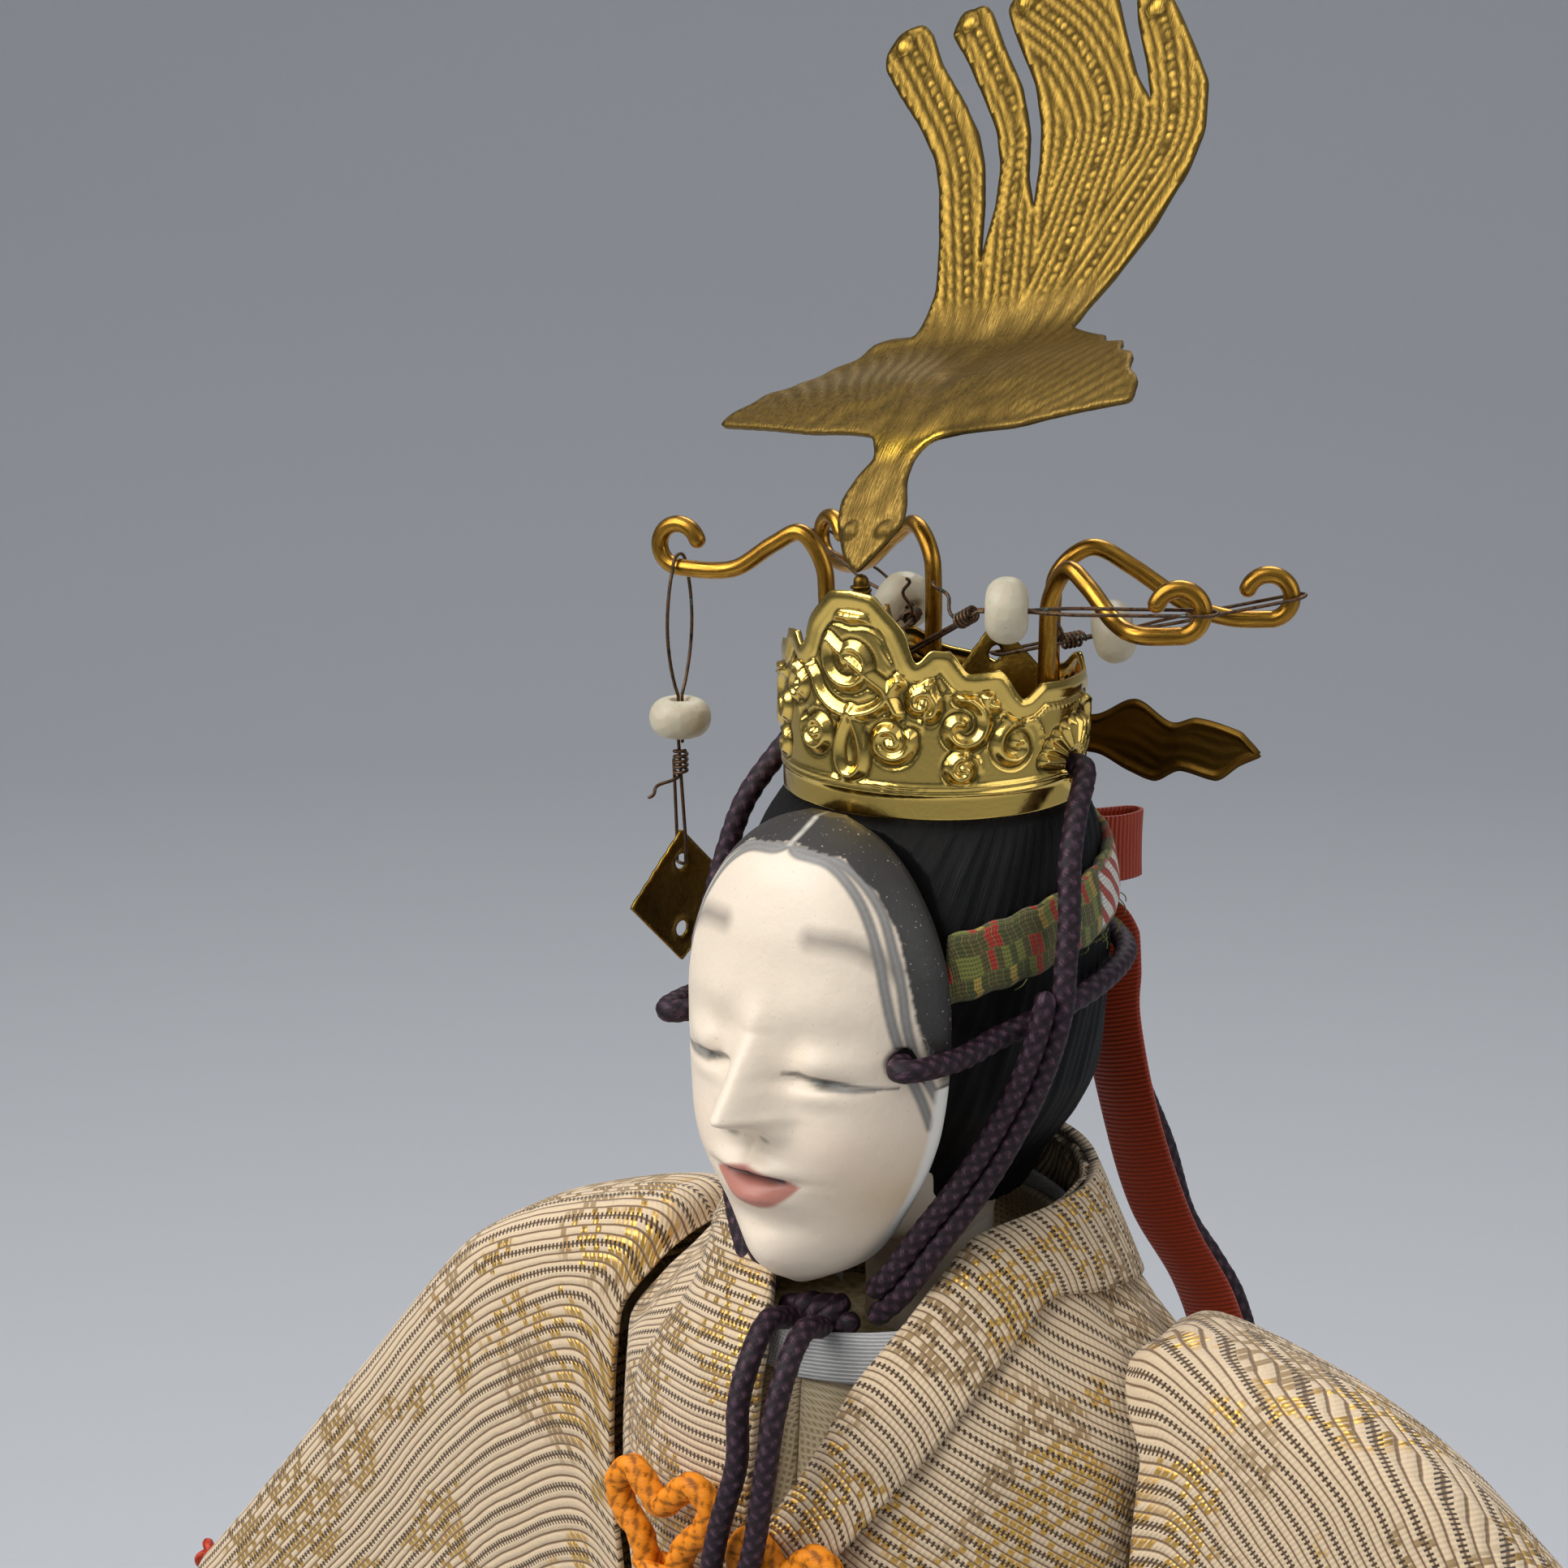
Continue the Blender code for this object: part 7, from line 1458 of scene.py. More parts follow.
def headband():
    """The brocade band round the hair, higher at the back, its cloth wrapped over two thick edges, with a
    block of slanted stripes towards the back, and short gold threads frayed from its lower edge."""
    share = np.linspace(-0.5, 0.5, 15)[:, None]
    place = np.linspace(0, 1, 260)[None]
    degrees = 47 + 266 * place
    low, high = CHIN + 1.7988 * HEAD, CHIN + 2.1341 * HEAD
    height = low + (high - low) * np.sin(math.pi * place) + share * 0.0065
    height = height + 0.00012 * np.sin(place * 170) * (np.abs(share) > 0.4)
    grid = hair_at(height, np.broadcast_to(degrees, height.shape), 0.0009 + 0.00035 * (1 - (2 * share) ** 6))
    block = clipped((12 - np.abs(degrees - 112)) / 0.6) + clipped((12 - np.abs(degrees - 248)) / 0.6)
    marks = {"striped": np.broadcast_to(block * (np.abs(share) < 0.42), height.shape)}
    surface(
        "band", grid, "brocade", "headband", marks=marks, wall=0.0008
    )
    pieces = []
    spots = np.random.default_rng(4).uniform(0.05, 0.95, 70)
    for k, spot in enumerate(spots):
        start = grid[0][int(spot * 259)]
        drop = 0.0006 + 0.0009 * ((k * 0.618) % 1)
        sway = np.array((math.sin(k * 7.0), math.cos(k * 5.0), 0)) * 0.0004
        out = unit(start * (1, 1, 0)) * 0.0002
        path = route(
            [start + out, start + out * 2 + sway - (0, 0, drop / 2), start + sway * 2 - (0, 0, drop)], 0.0003
        )
        pieces.append(sweep(path, 0.00006, 5))
    joined("frayed_threads", pieces, "brocade")


RIBBON_LOOP = ((0.0, 0.0), (0.45, 0.15), (0.85, 0.55), (0.95, 1.0), (0.70, 1.12), (0.40, 0.80), (0.10, 0.42))
RIBBON_TAILS = {
    "ribbon_tail_left": (
        (0.2683, 1.2561, 1.6829), (0.4024, 1.2622, 1.5244), (0.4451, 1.2561, 1.2195),
        (0.4634, 1.2439, 0.9024), (0.6402, 1.2439, 0.2439), (0.8476, 1.2622, -0.2988),
        (1.1280, 1.2988, -0.7317), (1.2683, 1.3415, -1.2195), (1.3293, 1.3780, -1.9512),
        (1.3415, 1.3902, -2.7439), (1.3415, 1.3963, -3.3537),
    ),
    "ribbon_tail_right": (
        (-0.2683, 1.2561, 1.6829), (-0.4024, 1.2622, 1.5244), (-0.4390, 1.2561, 1.2195),
        (-0.4634, 1.2439, 0.8537), (-0.5610, 1.2561, 0.2439), (-0.7012, 1.2805, -0.3049),
        (-0.8232, 1.3049, -0.8537), (-0.9146, 1.3415, -1.5854), (-0.9451, 1.3537, -2.4390),
        (-0.9634, 1.3659, -3.1707),
    ),
}


def ribbons():
    """The orange-red ribbon: a pleated knot, a standing loop and two tails that hang down the back, each a
    strip across its path whose edges curl a little."""
    z = CHIN + 1.9207 * HEAD
    back = float(hair_sizes(z)[2]) + 0.0012
    k = np.linspace(0, 1, 40)
    turn = whole_turn(60)[None]
    height = (k - 0.5)[:, None] * 0.0066
    pinch = 1 - 0.22 * np.cos(math.pi * 2 * (k - 0.5))[:, None] + 0.05 * np.sin(turn * 7)
    c, s = np.cos(turn), np.sin(turn)
    x = 0.0021 * np.sign(c) * np.abs(c) ** 0.6 * pinch
    y = back + 0.0015 + 0.00145 * np.sign(s) * np.abs(s) ** 0.6 * pinch
    knot = np.stack(np.broadcast_arrays(x, y, z + height), -1)
    surface(
        "ribbon_bound", knot, "red_ribbon", "ribbon_knot", around=True, caps=True,
        uv=metres_map(knot, True)[..., ::-1],
    )
    start = np.array((0.0021 + GAP, back + 0.00084, z))
    path = route([start + np.array((a, b, 0)) * 0.0060 for a, b in RIBBON_LOOP], 0.0002)
    across = np.linspace(-1, 1, 17)[None, :, None]
    along = arc_lengths(path)[:, None, None]
    sag = 0.0003 * np.sin(along / 0.0014) * across**2
    strip = path[:, None] + across * np.array((0, 0, 0.0033)) + sag * np.array((0.3, 1.0, 0))
    surface(
        "ribbon_standing", strip, "red_ribbon", "ribbon_loop", wall=0.0004,
        side=0,
    )
    for word, shares in RIBBON_TAILS.items():
        path = route(from_chin(shares), 0.0004)
        curl = 0.0005 * across**2 + 0.00022 * np.sin(along_waves(path))[:, None, None] * across
        wide = np.interp(np.arange(len(path)), (0, 12), (0.55, 1.0))[:, None, None]
        strip = path[:, None] + across * wide * np.array((0.0034, 0, 0)) + curl * np.array((0, 1.0, 0))
        surface(
            word + "_strip", strip, "red_ribbon", word, wall=0.0004, side=0
        )


def along_waves(path):
    """A slow wave's angle along a path."""
    return arc_lengths(path) / 0.0045


# Crown

CREST = 1.2561 * HEAD
CROWN_EDGE = (
    (0, 1.000), (8, 0.990), (15, 0.920), (21, 0.840), (26, 0.705), (32, 0.760), (38, 0.755), (46, 0.655),
    (57, 0.660), (68, 0.520), (78, 0.575), (95, 0.560), (112, 0.555), (123, 0.500), (137, 0.570),
    (152, 0.480), (165, 0.450), (180, 0.380),
)
LEAF_TOP = (
    (-0.50, 0.200), (0.00, 0.257), (0.257, 0.377), (0.486, 0.280), (0.634, 0.326), (0.880, 0.291),
    (0.960, 0.235), (1.010, 0.190),
)
LEAF_LOW = (
    (-0.50, 0.040), (0.00, 0.040), (0.217, -0.029), (0.371, -0.063), (0.543, 0.017), (0.743, -0.006),
    (0.900, 0.100), (1.010, 0.160),
)


def spiral(middle, size, turns=1.3, way=1, start=0.0, tail=()):
    """A comma scroll: a spiral whose radius grows evenly with its angle, run on into a tail."""
    t = np.linspace(0, 1, 26)
    angle = math.radians(start) + way * 2 * math.pi * turns * t
    r = size * (0.16 + 0.84 * t)
    points = np.column_stack([middle[0] + r * np.cos(angle), middle[1] + r * np.sin(angle)])
    return np.vstack([points, tail]) if len(tail) else points


def away_from(x, z, lines):
    """The distance on the flat from every point of a grid to the nearest of some lines."""
    away = np.full(x.shape, 1.0)
    for line in lines:
        line = np.asarray(line, float)
        for a, b in zip(line[:-1], line[1:]):
            way = b - a
            share = clipped(((x - a[0]) * way[0] + (z - a[1]) * way[1]) / max(way @ way, 1e-12))
            away = np.minimum(away, np.hypot(x - a[0] - way[0] * share, z - a[1] - way[1] * share))
    return away


def crown_scrolls():
    """The stamped drawing, in metres round the band and up from its base edge: a three-lobed cloud with a
    comma spiral at the front, a petal under it between two commas, side clouds with spirals, pleats."""
    ridges, beads, domes = [], [], []
    t = np.linspace(0, 2 * math.pi, 60)
    lobes = 0.0046 * (1 + 0.24 * np.abs(np.cos(1.5 * t + math.pi / 2)))
    cloud = np.column_stack([lobes * np.sin(t) * 1.05, 0.0142 + lobes * 0.86 * np.cos(t)])
    ridges.append(cloud)
    ridges.append(spiral((0.0, 0.0142), 0.0030, 1.15, -1, 200, ((0.0034, 0.0120), (0.0046, 0.0098))))
    domes.append((0.0, 0.0142, 0.0046, 0.0040))
    petal = np.column_stack([0.0017 * np.sin(t) * np.abs(np.sin(t / 2)), 0.0066 + 0.0030 * np.cos(t)])
    ridges.append(petal)
    domes.append((0.0, 0.0064, 0.0012, 0.0022))
    arch = np.column_stack(
        [0.0078 * np.sin(t / 2 - math.pi / 2), 0.0098 + 0.0088 * np.cos(t / 2 - math.pi / 2)]
    )
    ridges.append(arch[4:-4])
    for side in (-1, 1):
        ridges.append(spiral((0.0040, 0.0072), 0.0019, 1.35, 1, 250) * (side, 1))
        beads.append(spiral((0.0040, 0.0072), 0.0029, 0.80, 1, 250) * (side, 1))
        domes.append((side * 0.0040, 0.0072, 0.0013, 0.0013))
        ridges.append(spiral((0.0068, 0.0108), 0.0014, 1.2, -1, 20) * (side, 1))
        for middle, size, way in (
            ((0.0105, 0.0086), 0.0024, 1), ((0.0106, 0.0046), 0.0011, -1), ((0.0158, 0.0066), 0.0020, -1),
            ((0.0133, 0.0112), 0.0012, 1), ((0.0268, 0.0066), 0.0021, 1), ((0.0310, 0.0052), 0.0013, -1),
            ((0.0345, 0.0072), 0.0018, 1), ((0.0385, 0.0052), 0.0015, -1), ((0.0418, 0.0040), 0.0011, 1),
        ):
            ridges.append(spiral(middle, 1.12 * size, 1.0, way, 90) * (side, 1))
            half = np.linspace(-0.4, math.pi + 0.4, 30)
            high = 1.35 * size * np.abs(np.sin(half)) ** 0.8
            rim = np.column_stack([middle[0] + 1.5 * size * np.cos(half), middle[1] + high])
            beads.append(rim * (side, 1))
            domes.append((side * middle[0], middle[1], size * 0.7, size * 0.7))
        for k in range(9):
            angle = math.radians(20 + 140 * k / 8)
            foot_spot = np.array((0.0237 + 0.0022 * math.cos(angle), 0.0032 + 0.0022 * math.sin(angle)))
            head_spot = np.array((0.0237 + 0.0048 * math.cos(angle), 0.0032 + 0.0040 * math.sin(angle)))
            ridges.append(np.array((foot_spot, head_spot)) * (side, 1))
    return ridges, beads, domes


def crown_band():
    """The stamped brass crown: a ring whose top edge follows a table of heights. Its relief is the largest
    of rounded ridges along the stamped drawing, beads along others, and a rolled border at the top."""
    degrees = compass(520)
    turn = np.where(degrees > 180, degrees - 360, degrees)
    top = smooth(CROWN_EDGE, np.abs(turn))[:, 0] * CREST
    share = np.linspace(0, 1, 92)[:, None]
    rise = share * top[None]
    across = np.broadcast_to(np.radians(turn)[None] * CROWN_RADIUS, rise.shape)
    ridges, beads, domes = crown_scrolls()
    ridge = away_from(across, rise, ridges)
    bead = away_from(across, rise, beads)
    rim_line = np.column_stack([np.radians(turn) * CROWN_RADIUS, top])[np.argsort(turn)]
    to_edge = away_from(across, rise, [rim_line[::4]])
    plain = clipped((to_edge - 0.0018) / 0.0003) * clipped((rise - 0.0030) / 0.0004)
    relief = 0.00060 * bell(ridge, 0.00040)
    engraved = bell(ridge - 0.00084, 0.00018)
    pearls = 0.5 + 0.5 * np.cos(across / 0.00016) * np.cos(rise / 0.00016)
    relief = np.maximum(relief, 0.00026 * bell(bead, 0.00022) * (0.45 + 0.55 * pearls))
    for x, z, wide, high in domes:
        swell = np.clip(1 - ((across - x) / wide) ** 2 - ((rise - z) / high) ** 2, 0, None)
        relief = np.maximum(relief, 0.00020 * swell**0.7)
    relief = (relief - 0.00022 * engraved) * plain
    groove = bell(to_edge - 0.0019, 0.00016)
    pearls = 0.5 + 0.5 * np.cos(across / 0.0001 + rise / 0.00013)
    relief = relief - 0.00016 * groove + 0.00016 * pearls * bell(to_edge - 0.0023, 0.00018)
    relief = relief + 0.00022 * bell(to_edge - 0.0007, 0.0006)
    for level in (0.0024, 0.0030):
        relief = relief + 0.00022 * bell(rise - level, 0.00020)
    hollow = clipped(engraved * 1.3) * plain * 0.85
    hole = np.zeros(rise.shape)
    for side in (-1, 1):
        away = np.hypot(across - side * math.radians(97) * CROWN_RADIUS, rise - 0.0032)
        relief = relief + 0.00030 * bell(away - 0.0016, 0.00030)
        hole = np.maximum(hole, clipped((0.00140 - away) / 0.0001))
    radius = CROWN_RADIUS + relief - 0.0009 * hole
    angle = np.radians(degrees)[None]
    grid = np.stack([radius * np.sin(angle), -radius * np.cos(angle), CROWN_BASE + rise], -1)
    # low: brown patina in the engraved hollows, and painted shade in the cord holes
    marks = {"low": np.maximum(hollow, hole)}
    surface(
        "crown_sheet", grid, "crown_brass", "crown_band", around=True,
        marks=marks, wall=0.0005,
    )
    x = np.linspace(-0.50, 1.010, 170)
    up = np.linspace(0, 1, 40)[:, None]
    low, high = smooth(LEAF_LOW, x)[:, 0][None], smooth(LEAF_TOP, x)[:, 0][None]
    span = 1.0671 * HEAD
    z = (low + (high - low) * up) * span
    edge = np.minimum(np.minimum(up, 1 - up) * (high - low), np.clip(1.012 - x, 0, None)[None]) * span
    relief = 0.00030 * bell(edge - 0.0005, 0.0003)
    middle = (z / span - (low + high) / 2) * span
    veins = 0.00003 * np.cos(middle / 0.00022 + x[None] * 9) * clipped((edge - 0.0012) / 0.0004)
    y = 0.9146 * HEAD + 0.0006 - 0.00025 - relief - veins
    across = np.broadcast_to(0.5061 * HEAD + x[None] * span, z.shape)
    grid = np.stack([across, y, CROWN_BASE + z], -1)
    surface(
        "leaf_sheet", grid, "dark_brass", "crown_leaf",
        marks={"low": clipped(1 - relief / 0.0002) * 0.5}, wall=0.0004,
    )


# Crown arms and pendants

ARM_ROD = 0.00082
EYE = 0.0021
PENDANTS = {
    "front_right": (-1, (0.8643, 0.0000), (1.9643, -0.1786, 1.4000), -8, None, None, (0.98, -0.19, 0)),
    "front_left": (
        1, (0.8643, 0.0000), (1.9429, -0.2143, 1.4286), 28, (1.0000, -0.7286, 1.4143),
        (0.0000, -0.5143, 0.9143), None
    ),
    "back_left": (
        1, (0.4714, 0.7143), (1.7500, 1.3571, 1.2286), 26.7, (0.8357, 0.9000, 0.9571),
        (0.4286, 0.0714, 0.9143), None
    ),
    "back_right": (
        -1, (0.4714, 0.7143), (1.7500, 1.3571, 1.2286), 26.7, (-0.8357, 0.9000, 0.9571),
        (-0.4286, 0.0714, 0.9143),
        None,
    ),
}


def drawn_marks(turn, along):
    """Faint waves left on a wire by its drawing."""
    return 0.000012 * np.sin(along / 0.0011 + 6.2832 * turn)


def crown_arms():
    """The four arms of brass wire: from a stem inside the crown over a low arch to a ring at the end,
    filed round, each with its pendant."""
    for word, (side, stem, eye, turned, bead, hole, face) in PENDANTS.items():
        turn = math.radians(turned)
        out = np.array((side * math.cos(turn), math.sin(turn), 0.0))
        foot_place = from_crown((side * stem[0], stem[1], 0)) + UP * 0.3214 * CROWN_RADIUS
        centre = from_crown((side * eye[0], eye[1], eye[2]))
        entry = centre - UP * EYE - out * EYE * 1.7
        path = [foot_place, foot_place + UP * 0.7857 * CROWN_RADIUS]
        for share, rise in ((0.04, 0.62), (0.22, 1.0), (0.45, 0.72), (0.75, 0.20)):
            path.append(path[1] * (1 - share) + entry * share + UP * rise * 0.4286 * CROWN_RADIUS)
        path.append(entry)
        for degrees in np.linspace(-90, 160, 14):
            angle = math.radians(degrees)
            path.append(centre + (out * math.cos(angle) + UP * math.sin(angle)) * EYE)
        rings, uv = sweep(route(path, 0.0003), ARM_ROD, 24, relief=drawn_marks)
        surface(
            f"arm_rod_{word}", rings, "wire_brass", f"crown_arm_{word}", around=True, caps=True, uv=uv
        )
        pendant(word, centre, out, bead, hole, face)


def pendant(word, centre, out, bead, hole, face):
    """A doubled copper wire through the arm's ring, a ground glass bead on it, the wire's end twisted
    round itself under the bead, and the plate on the loop below."""
    folded = bead is not None
    seat = centre + (out if folded else -UP) * EYE
    bead = from_crown(bead) if folded else seat - UP * 0.0148
    axis = unit(bead - seat)
    across = unit(np.cross(axis, UP)) if folded else unit(np.cross(out, UP))
    hole = from_crown(hole) if folded else bead - UP * 0.0145
    wire = 0.00017
    loose, thread, half = ARM_ROD + GAP + wire, 0.00085 - GAP - wire, 0.0038 / 2 + GAP
    angle = np.linspace(0, math.pi, 13)[:, None]
    loop_top = seat + across * loose * np.cos(angle) - axis * loose * np.sin(angle)
    down = unit(hole - bead - axis * half)
    face = unit(np.cross(UP, down)) if folded else unit(np.array(face))
    reach = 0.6286 * CROWN_RADIUS if folded else 2 * loose
    below = bead + axis * (half + GAP)
    gap = 0.0003 / 2 + GAP + wire
    flip = -1 if face @ across > 0 else 1
    angle = np.linspace(0, math.pi, 9)[:, None]
    loop_low = hole + (face * flip * np.cos(angle) + down * 0.3 * np.sin(angle)) * gap
    bow = 0.0004 if folded else 0.0016
    leg = np.linspace(0, 1, 13)[:, None]
    shift = axis * reach * (1 if folded else 0)
    start, end = bead - axis * half + across * thread, seat + across * loose + shift
    leg_up = start + (end - start) * leg + across * bow * np.sin(math.pi * leg) ** 0.8
    start, end = seat - across * loose + shift, bead - axis * half - across * thread
    leg_down = start + (end - start) * leg - across * bow * np.sin(math.pi * leg) ** 0.8
    path = np.vstack([
        [below + across * thread],
        leg_up,
        loop_top,
        leg_down,
        [below - across * thread],
        [hole - down * gap * 4 + face * gap * flip],
        loop_low,
        [hole - down * gap * 4 - face * gap * flip, below + down * loose * 1.5 - face * gap * flip * 1.6],
    ])
    fine = np.vstack(
        [a + (b - a) * np.linspace(0, 1, 7, endpoint=False)[:, None] for a, b in zip(path[:-1], path[1:])]
    )
    pieces = [sweep(np.vstack([fine, path[-1:]]), wire, 10)]
    coil = np.linspace(0, 2 * math.pi * 4.5, 120)[:, None]
    core = below + down * (0.0007 + 0.0024 * np.linspace(0, 1, 120))[:, None]
    side_way = unit(np.cross(down, face))
    pieces.append(sweep(core + (face * np.cos(coil) + side_way * np.sin(coil)) * 0.00062, wire, 8))
    away = np.linspace(0, 1, 14)[:, None]
    tail = core[-1] + down * 0.0016 * away + side_way * 0.0046 * np.sin(away * 1.2)
    tail = tail + face * 0.0004 * np.sin(away * 9)
    pieces.append(sweep(tail, wire, 8))
    body = f"pendant_{word}"
    joined(f"wire_{word}", pieces, "oxidised_copper_wire", f"pendant_wire_{word}", body)
    first = unit(np.cross(axis, UP if abs(axis[2]) < 0.9 else np.array((1.0, 0, 0))))
    second = np.cross(axis, first)
    lean = np.linspace(-math.pi / 2, math.pi / 2, 26)[1:-1]
    outer = np.column_stack([0.00085 + 0.00215 * np.cos(lean) ** 0.75, 0.0019 * np.sin(lean)])
    bore = np.column_stack([np.full(8, 0.00085), np.linspace(0.00165, -0.00165, 8)])
    profile = np.vstack([outer, bore])
    turn = whole_turn(48)[None, :, None]
    wobble = 1 + 0.012 * np.sin(turn * 3) + 0.008 * np.cos(turn * 5)
    spoke = (first * np.cos(turn) + second * np.sin(turn)) * wobble
    grid = bead + profile[:, None, :1] * spoke + profile[:, None, 1:] * axis
    surface(f"glass_{word}", grid, "frosted_glass", f"bead_{word}", body, around=True, loop=True, uv=False)
    plate(word, hole, face)


def inside_outline(outline, spots):
    """Which spots lie inside a closed outline, and how far each is from it."""
    ends = np.roll(outline, -1, axis=0)
    x, y = spots[:, 0, None], spots[:, 1, None]
    crossed = (outline[None, :, 1] > y) != (ends[None, :, 1] > y)
    rise = np.where(ends[:, 1] == outline[:, 1], 1, ends[:, 1] - outline[:, 1])
    where = outline[None, :, 0] + (y - outline[None, :, 1]) * ((ends - outline)[:, 0] / rise)[None]
    inside = np.count_nonzero(crossed & (where > x), axis=1) % 2 == 1
    way = ends - outline
    share = (x - outline[:, 0]) * way[:, 0] + (y - outline[:, 1]) * way[:, 1]
    share = clipped(share / np.maximum((way**2).sum(1), 1e-12))
    away = np.hypot(x - outline[:, 0] - way[:, 0] * share, y - outline[:, 1] - way[:, 1] * share).min(1)
    return inside, away


def cut_sheet(outline, spacing, holes=()):
    """A flat sheet as points and triangles: a closed outline, round holes and staggered points between."""
    low, high = outline.min(0), outline.max(0)
    xs, ys = np.arange(low[0], high[0], spacing), np.arange(low[1], high[1], spacing * 0.87)
    x, y = np.meshgrid(xs, ys)
    x = x + spacing / 2 * (np.arange(len(ys)) % 2)[:, None]
    spots = np.column_stack([x.ravel(), y.ravel()])
    keep = []
    for part in np.array_split(spots, max(1, len(spots) // 2000)):
        inside, away = inside_outline(outline, part)
        keep.append(inside & (away > spacing * 0.55))
    spots = spots[np.concatenate(keep)]
    edges = [(k, (k + 1) % len(outline)) for k in range(len(outline))]
    points = [outline]
    count = len(outline)
    for middle, radius in holes:
        spots = spots[np.linalg.norm(spots - middle, axis=1) > radius + spacing * 0.4]
        turn = whole_turn(20)
        points.append(middle + radius * np.column_stack([np.cos(turn), np.sin(turn)]))
        edges += [(count + k, count + (k + 1) % 20) for k in range(20)]
        count += 20
    points = np.vstack(points + [spots])
    found = delaunay_2d_cdt([Vector(p) for p in points], edges, [], 1, 1e-7)
    places = np.array([tuple(p) for p in found[0]])
    triangles = np.array(found[2])
    middles = places[triangles].mean(axis=1)
    keep = inside_outline(outline, middles)[0]
    for middle, radius in holes:
        keep &= np.linalg.norm(middles - middle, axis=1) > radius * 0.98
    triangles = triangles[keep]
    used, numbers = np.unique(triangles, return_inverse=True)
    return places[used], numbers.reshape(-1, 3)


def plate(word, hole, face):
    """A square brass plate hung by one corner: cut with slightly uneven edges, punched twice from the
    front so that the metal is drawn in round each hole."""
    side = unit(np.cross(face, UP))
    diagonal = 0.0095 / math.sqrt(2)
    level = 0.0033 - diagonal
    corners = np.array([(0, 0.0033), (diagonal, level), (0, 0.0033 - 2 * diagonal), (-diagonal, level)])
    low = np.array((0.0, 0.0066 - 2 * diagonal))
    edge = []
    for a, b in zip(corners, np.roll(corners, -1, axis=0)):
        t = np.linspace(0.02, 0.98, 30)[:, None]
        nick = 0.00003 * np.sin(t * 37 + a[0] * 900) + 0.00002 * np.sin(t * 83)
        edge.append(a + (b - a) * t + nick * np.array((1, 1)))
    flat, triangles = cut_sheet(np.vstack(edge), 0.00030, ((np.zeros(2), 0.0008), (low, 0.0008)))
    lift = np.zeros(len(flat))
    for middle in (np.zeros(2), low):
        away = np.linalg.norm(flat - middle, axis=1)
        lift -= 0.00016 * bell(away - 0.0008, 0.0004)
    lift += 0.00004 * np.sin(flat[:, 0] / 0.0011 + 1) * np.sin(flat[:, 1] / 0.0014)
    points = hole + flat[:, :1] * side + flat[:, 1:] * UP + lift[:, None] * face
    marks = {"low": clipped(-lift / 0.0001) * 0.5}
    data = mesh_of(f"square_{word}", points, triangles.tolist(), flat[triangles.ravel()], marks)
    as_piece(f"square_{word}", data, "brass_plate", f"plate_{word}", f"hanging_plate_{word}", 0.0003, 0)


# Phoenix

BIRD = 0.0660
BIRD_LINE = (
    (0.000, 0.000), (0.052, 0.080), (0.129, 0.169), (0.218, 0.237), (0.358, 0.290), (0.456, 0.485),
    (0.556, 0.683), (0.640, 0.850),
)
BIRD_OUTLINE = (
    (0.000, 0.000), (0.027, 0.032), (0.052, 0.065), (0.048, 0.095), (0.029, 0.144), (0.027, 0.182),
    (0.039, 0.206), (0.080, 0.205), (0.174, 0.202), (0.235, 0.211), (0.295, 0.217), (0.350, 0.220),
    (0.342, 0.262), (0.317, 0.282), (0.308, 0.317), (0.279, 0.327), (0.270, 0.359), (0.233, 0.368),
    (0.217, 0.400), (0.185, 0.418), (0.130, 0.452), (0.141, 0.486), (0.179, 0.541), (0.215, 0.595),
    (0.252, 0.673), (0.261, 0.730), (0.245, 0.805), (0.200, 0.873), (0.156, 0.936), (0.124, 0.968),
    (0.089, 0.956), (0.103, 0.914), (0.136, 0.848), (0.161, 0.786), (0.121, 0.836), (0.082, 0.909),
    (0.052, 0.968), (0.000, 0.994), (-0.061, 1.003), (-0.127, 1.003), (-0.136, 0.980), (-0.103, 0.927),
    (-0.048, 0.848), (-0.018, 0.780), (-0.003, 0.720), (0.006, 0.652), (-0.020, 0.706), (-0.038, 0.776),
    (-0.074, 0.852), (-0.126, 0.923), (-0.162, 0.979), (-0.176, 0.995), (-0.217, 0.991), (-0.226, 0.958),
    (-0.186, 0.912), (-0.130, 0.836), (-0.095, 0.785), (-0.071, 0.726), (-0.062, 0.667), (-0.068, 0.583),
    (-0.085, 0.673), (-0.105, 0.739), (-0.132, 0.792), (-0.173, 0.847), (-0.232, 0.915), (-0.265, 0.968),
    (-0.283, 0.985), (-0.323, 0.979), (-0.339, 0.948), (-0.333, 0.923), (-0.294, 0.876), (-0.239, 0.817),
    (-0.194, 0.758), (-0.170, 0.705), (-0.148, 0.626), (-0.133, 0.550), (-0.138, 0.508), (-0.145, 0.479),
    (-0.185, 0.483), (-0.218, 0.476), (-0.227, 0.448), (-0.262, 0.433), (-0.270, 0.403), (-0.291, 0.388),
    (-0.294, 0.365), (-0.326, 0.353), (-0.330, 0.327), (-0.358, 0.309), (-0.367, 0.283), (-0.265, 0.261),
    (-0.183, 0.241), (-0.123, 0.233), (-0.061, 0.221), (-0.039, 0.185), (-0.055, 0.155), (-0.067, 0.115),
    (-0.058, 0.077), (-0.030, 0.029),
)
TAIL_FEATHERS = (
    ((0.085, 0.470), (0.150, 0.600), (0.205, 0.730), (0.165, 0.870), (0.120, 0.950)),
    ((0.050, 0.480), (0.085, 0.640), (0.090, 0.780), (0.010, 0.900), (-0.095, 0.985)),
    ((0.000, 0.480), (-0.030, 0.640), (-0.055, 0.780), (-0.130, 0.890), (-0.195, 0.975)),
    ((-0.060, 0.480), (-0.100, 0.620), (-0.150, 0.760), (-0.230, 0.870), (-0.300, 0.955)),
)


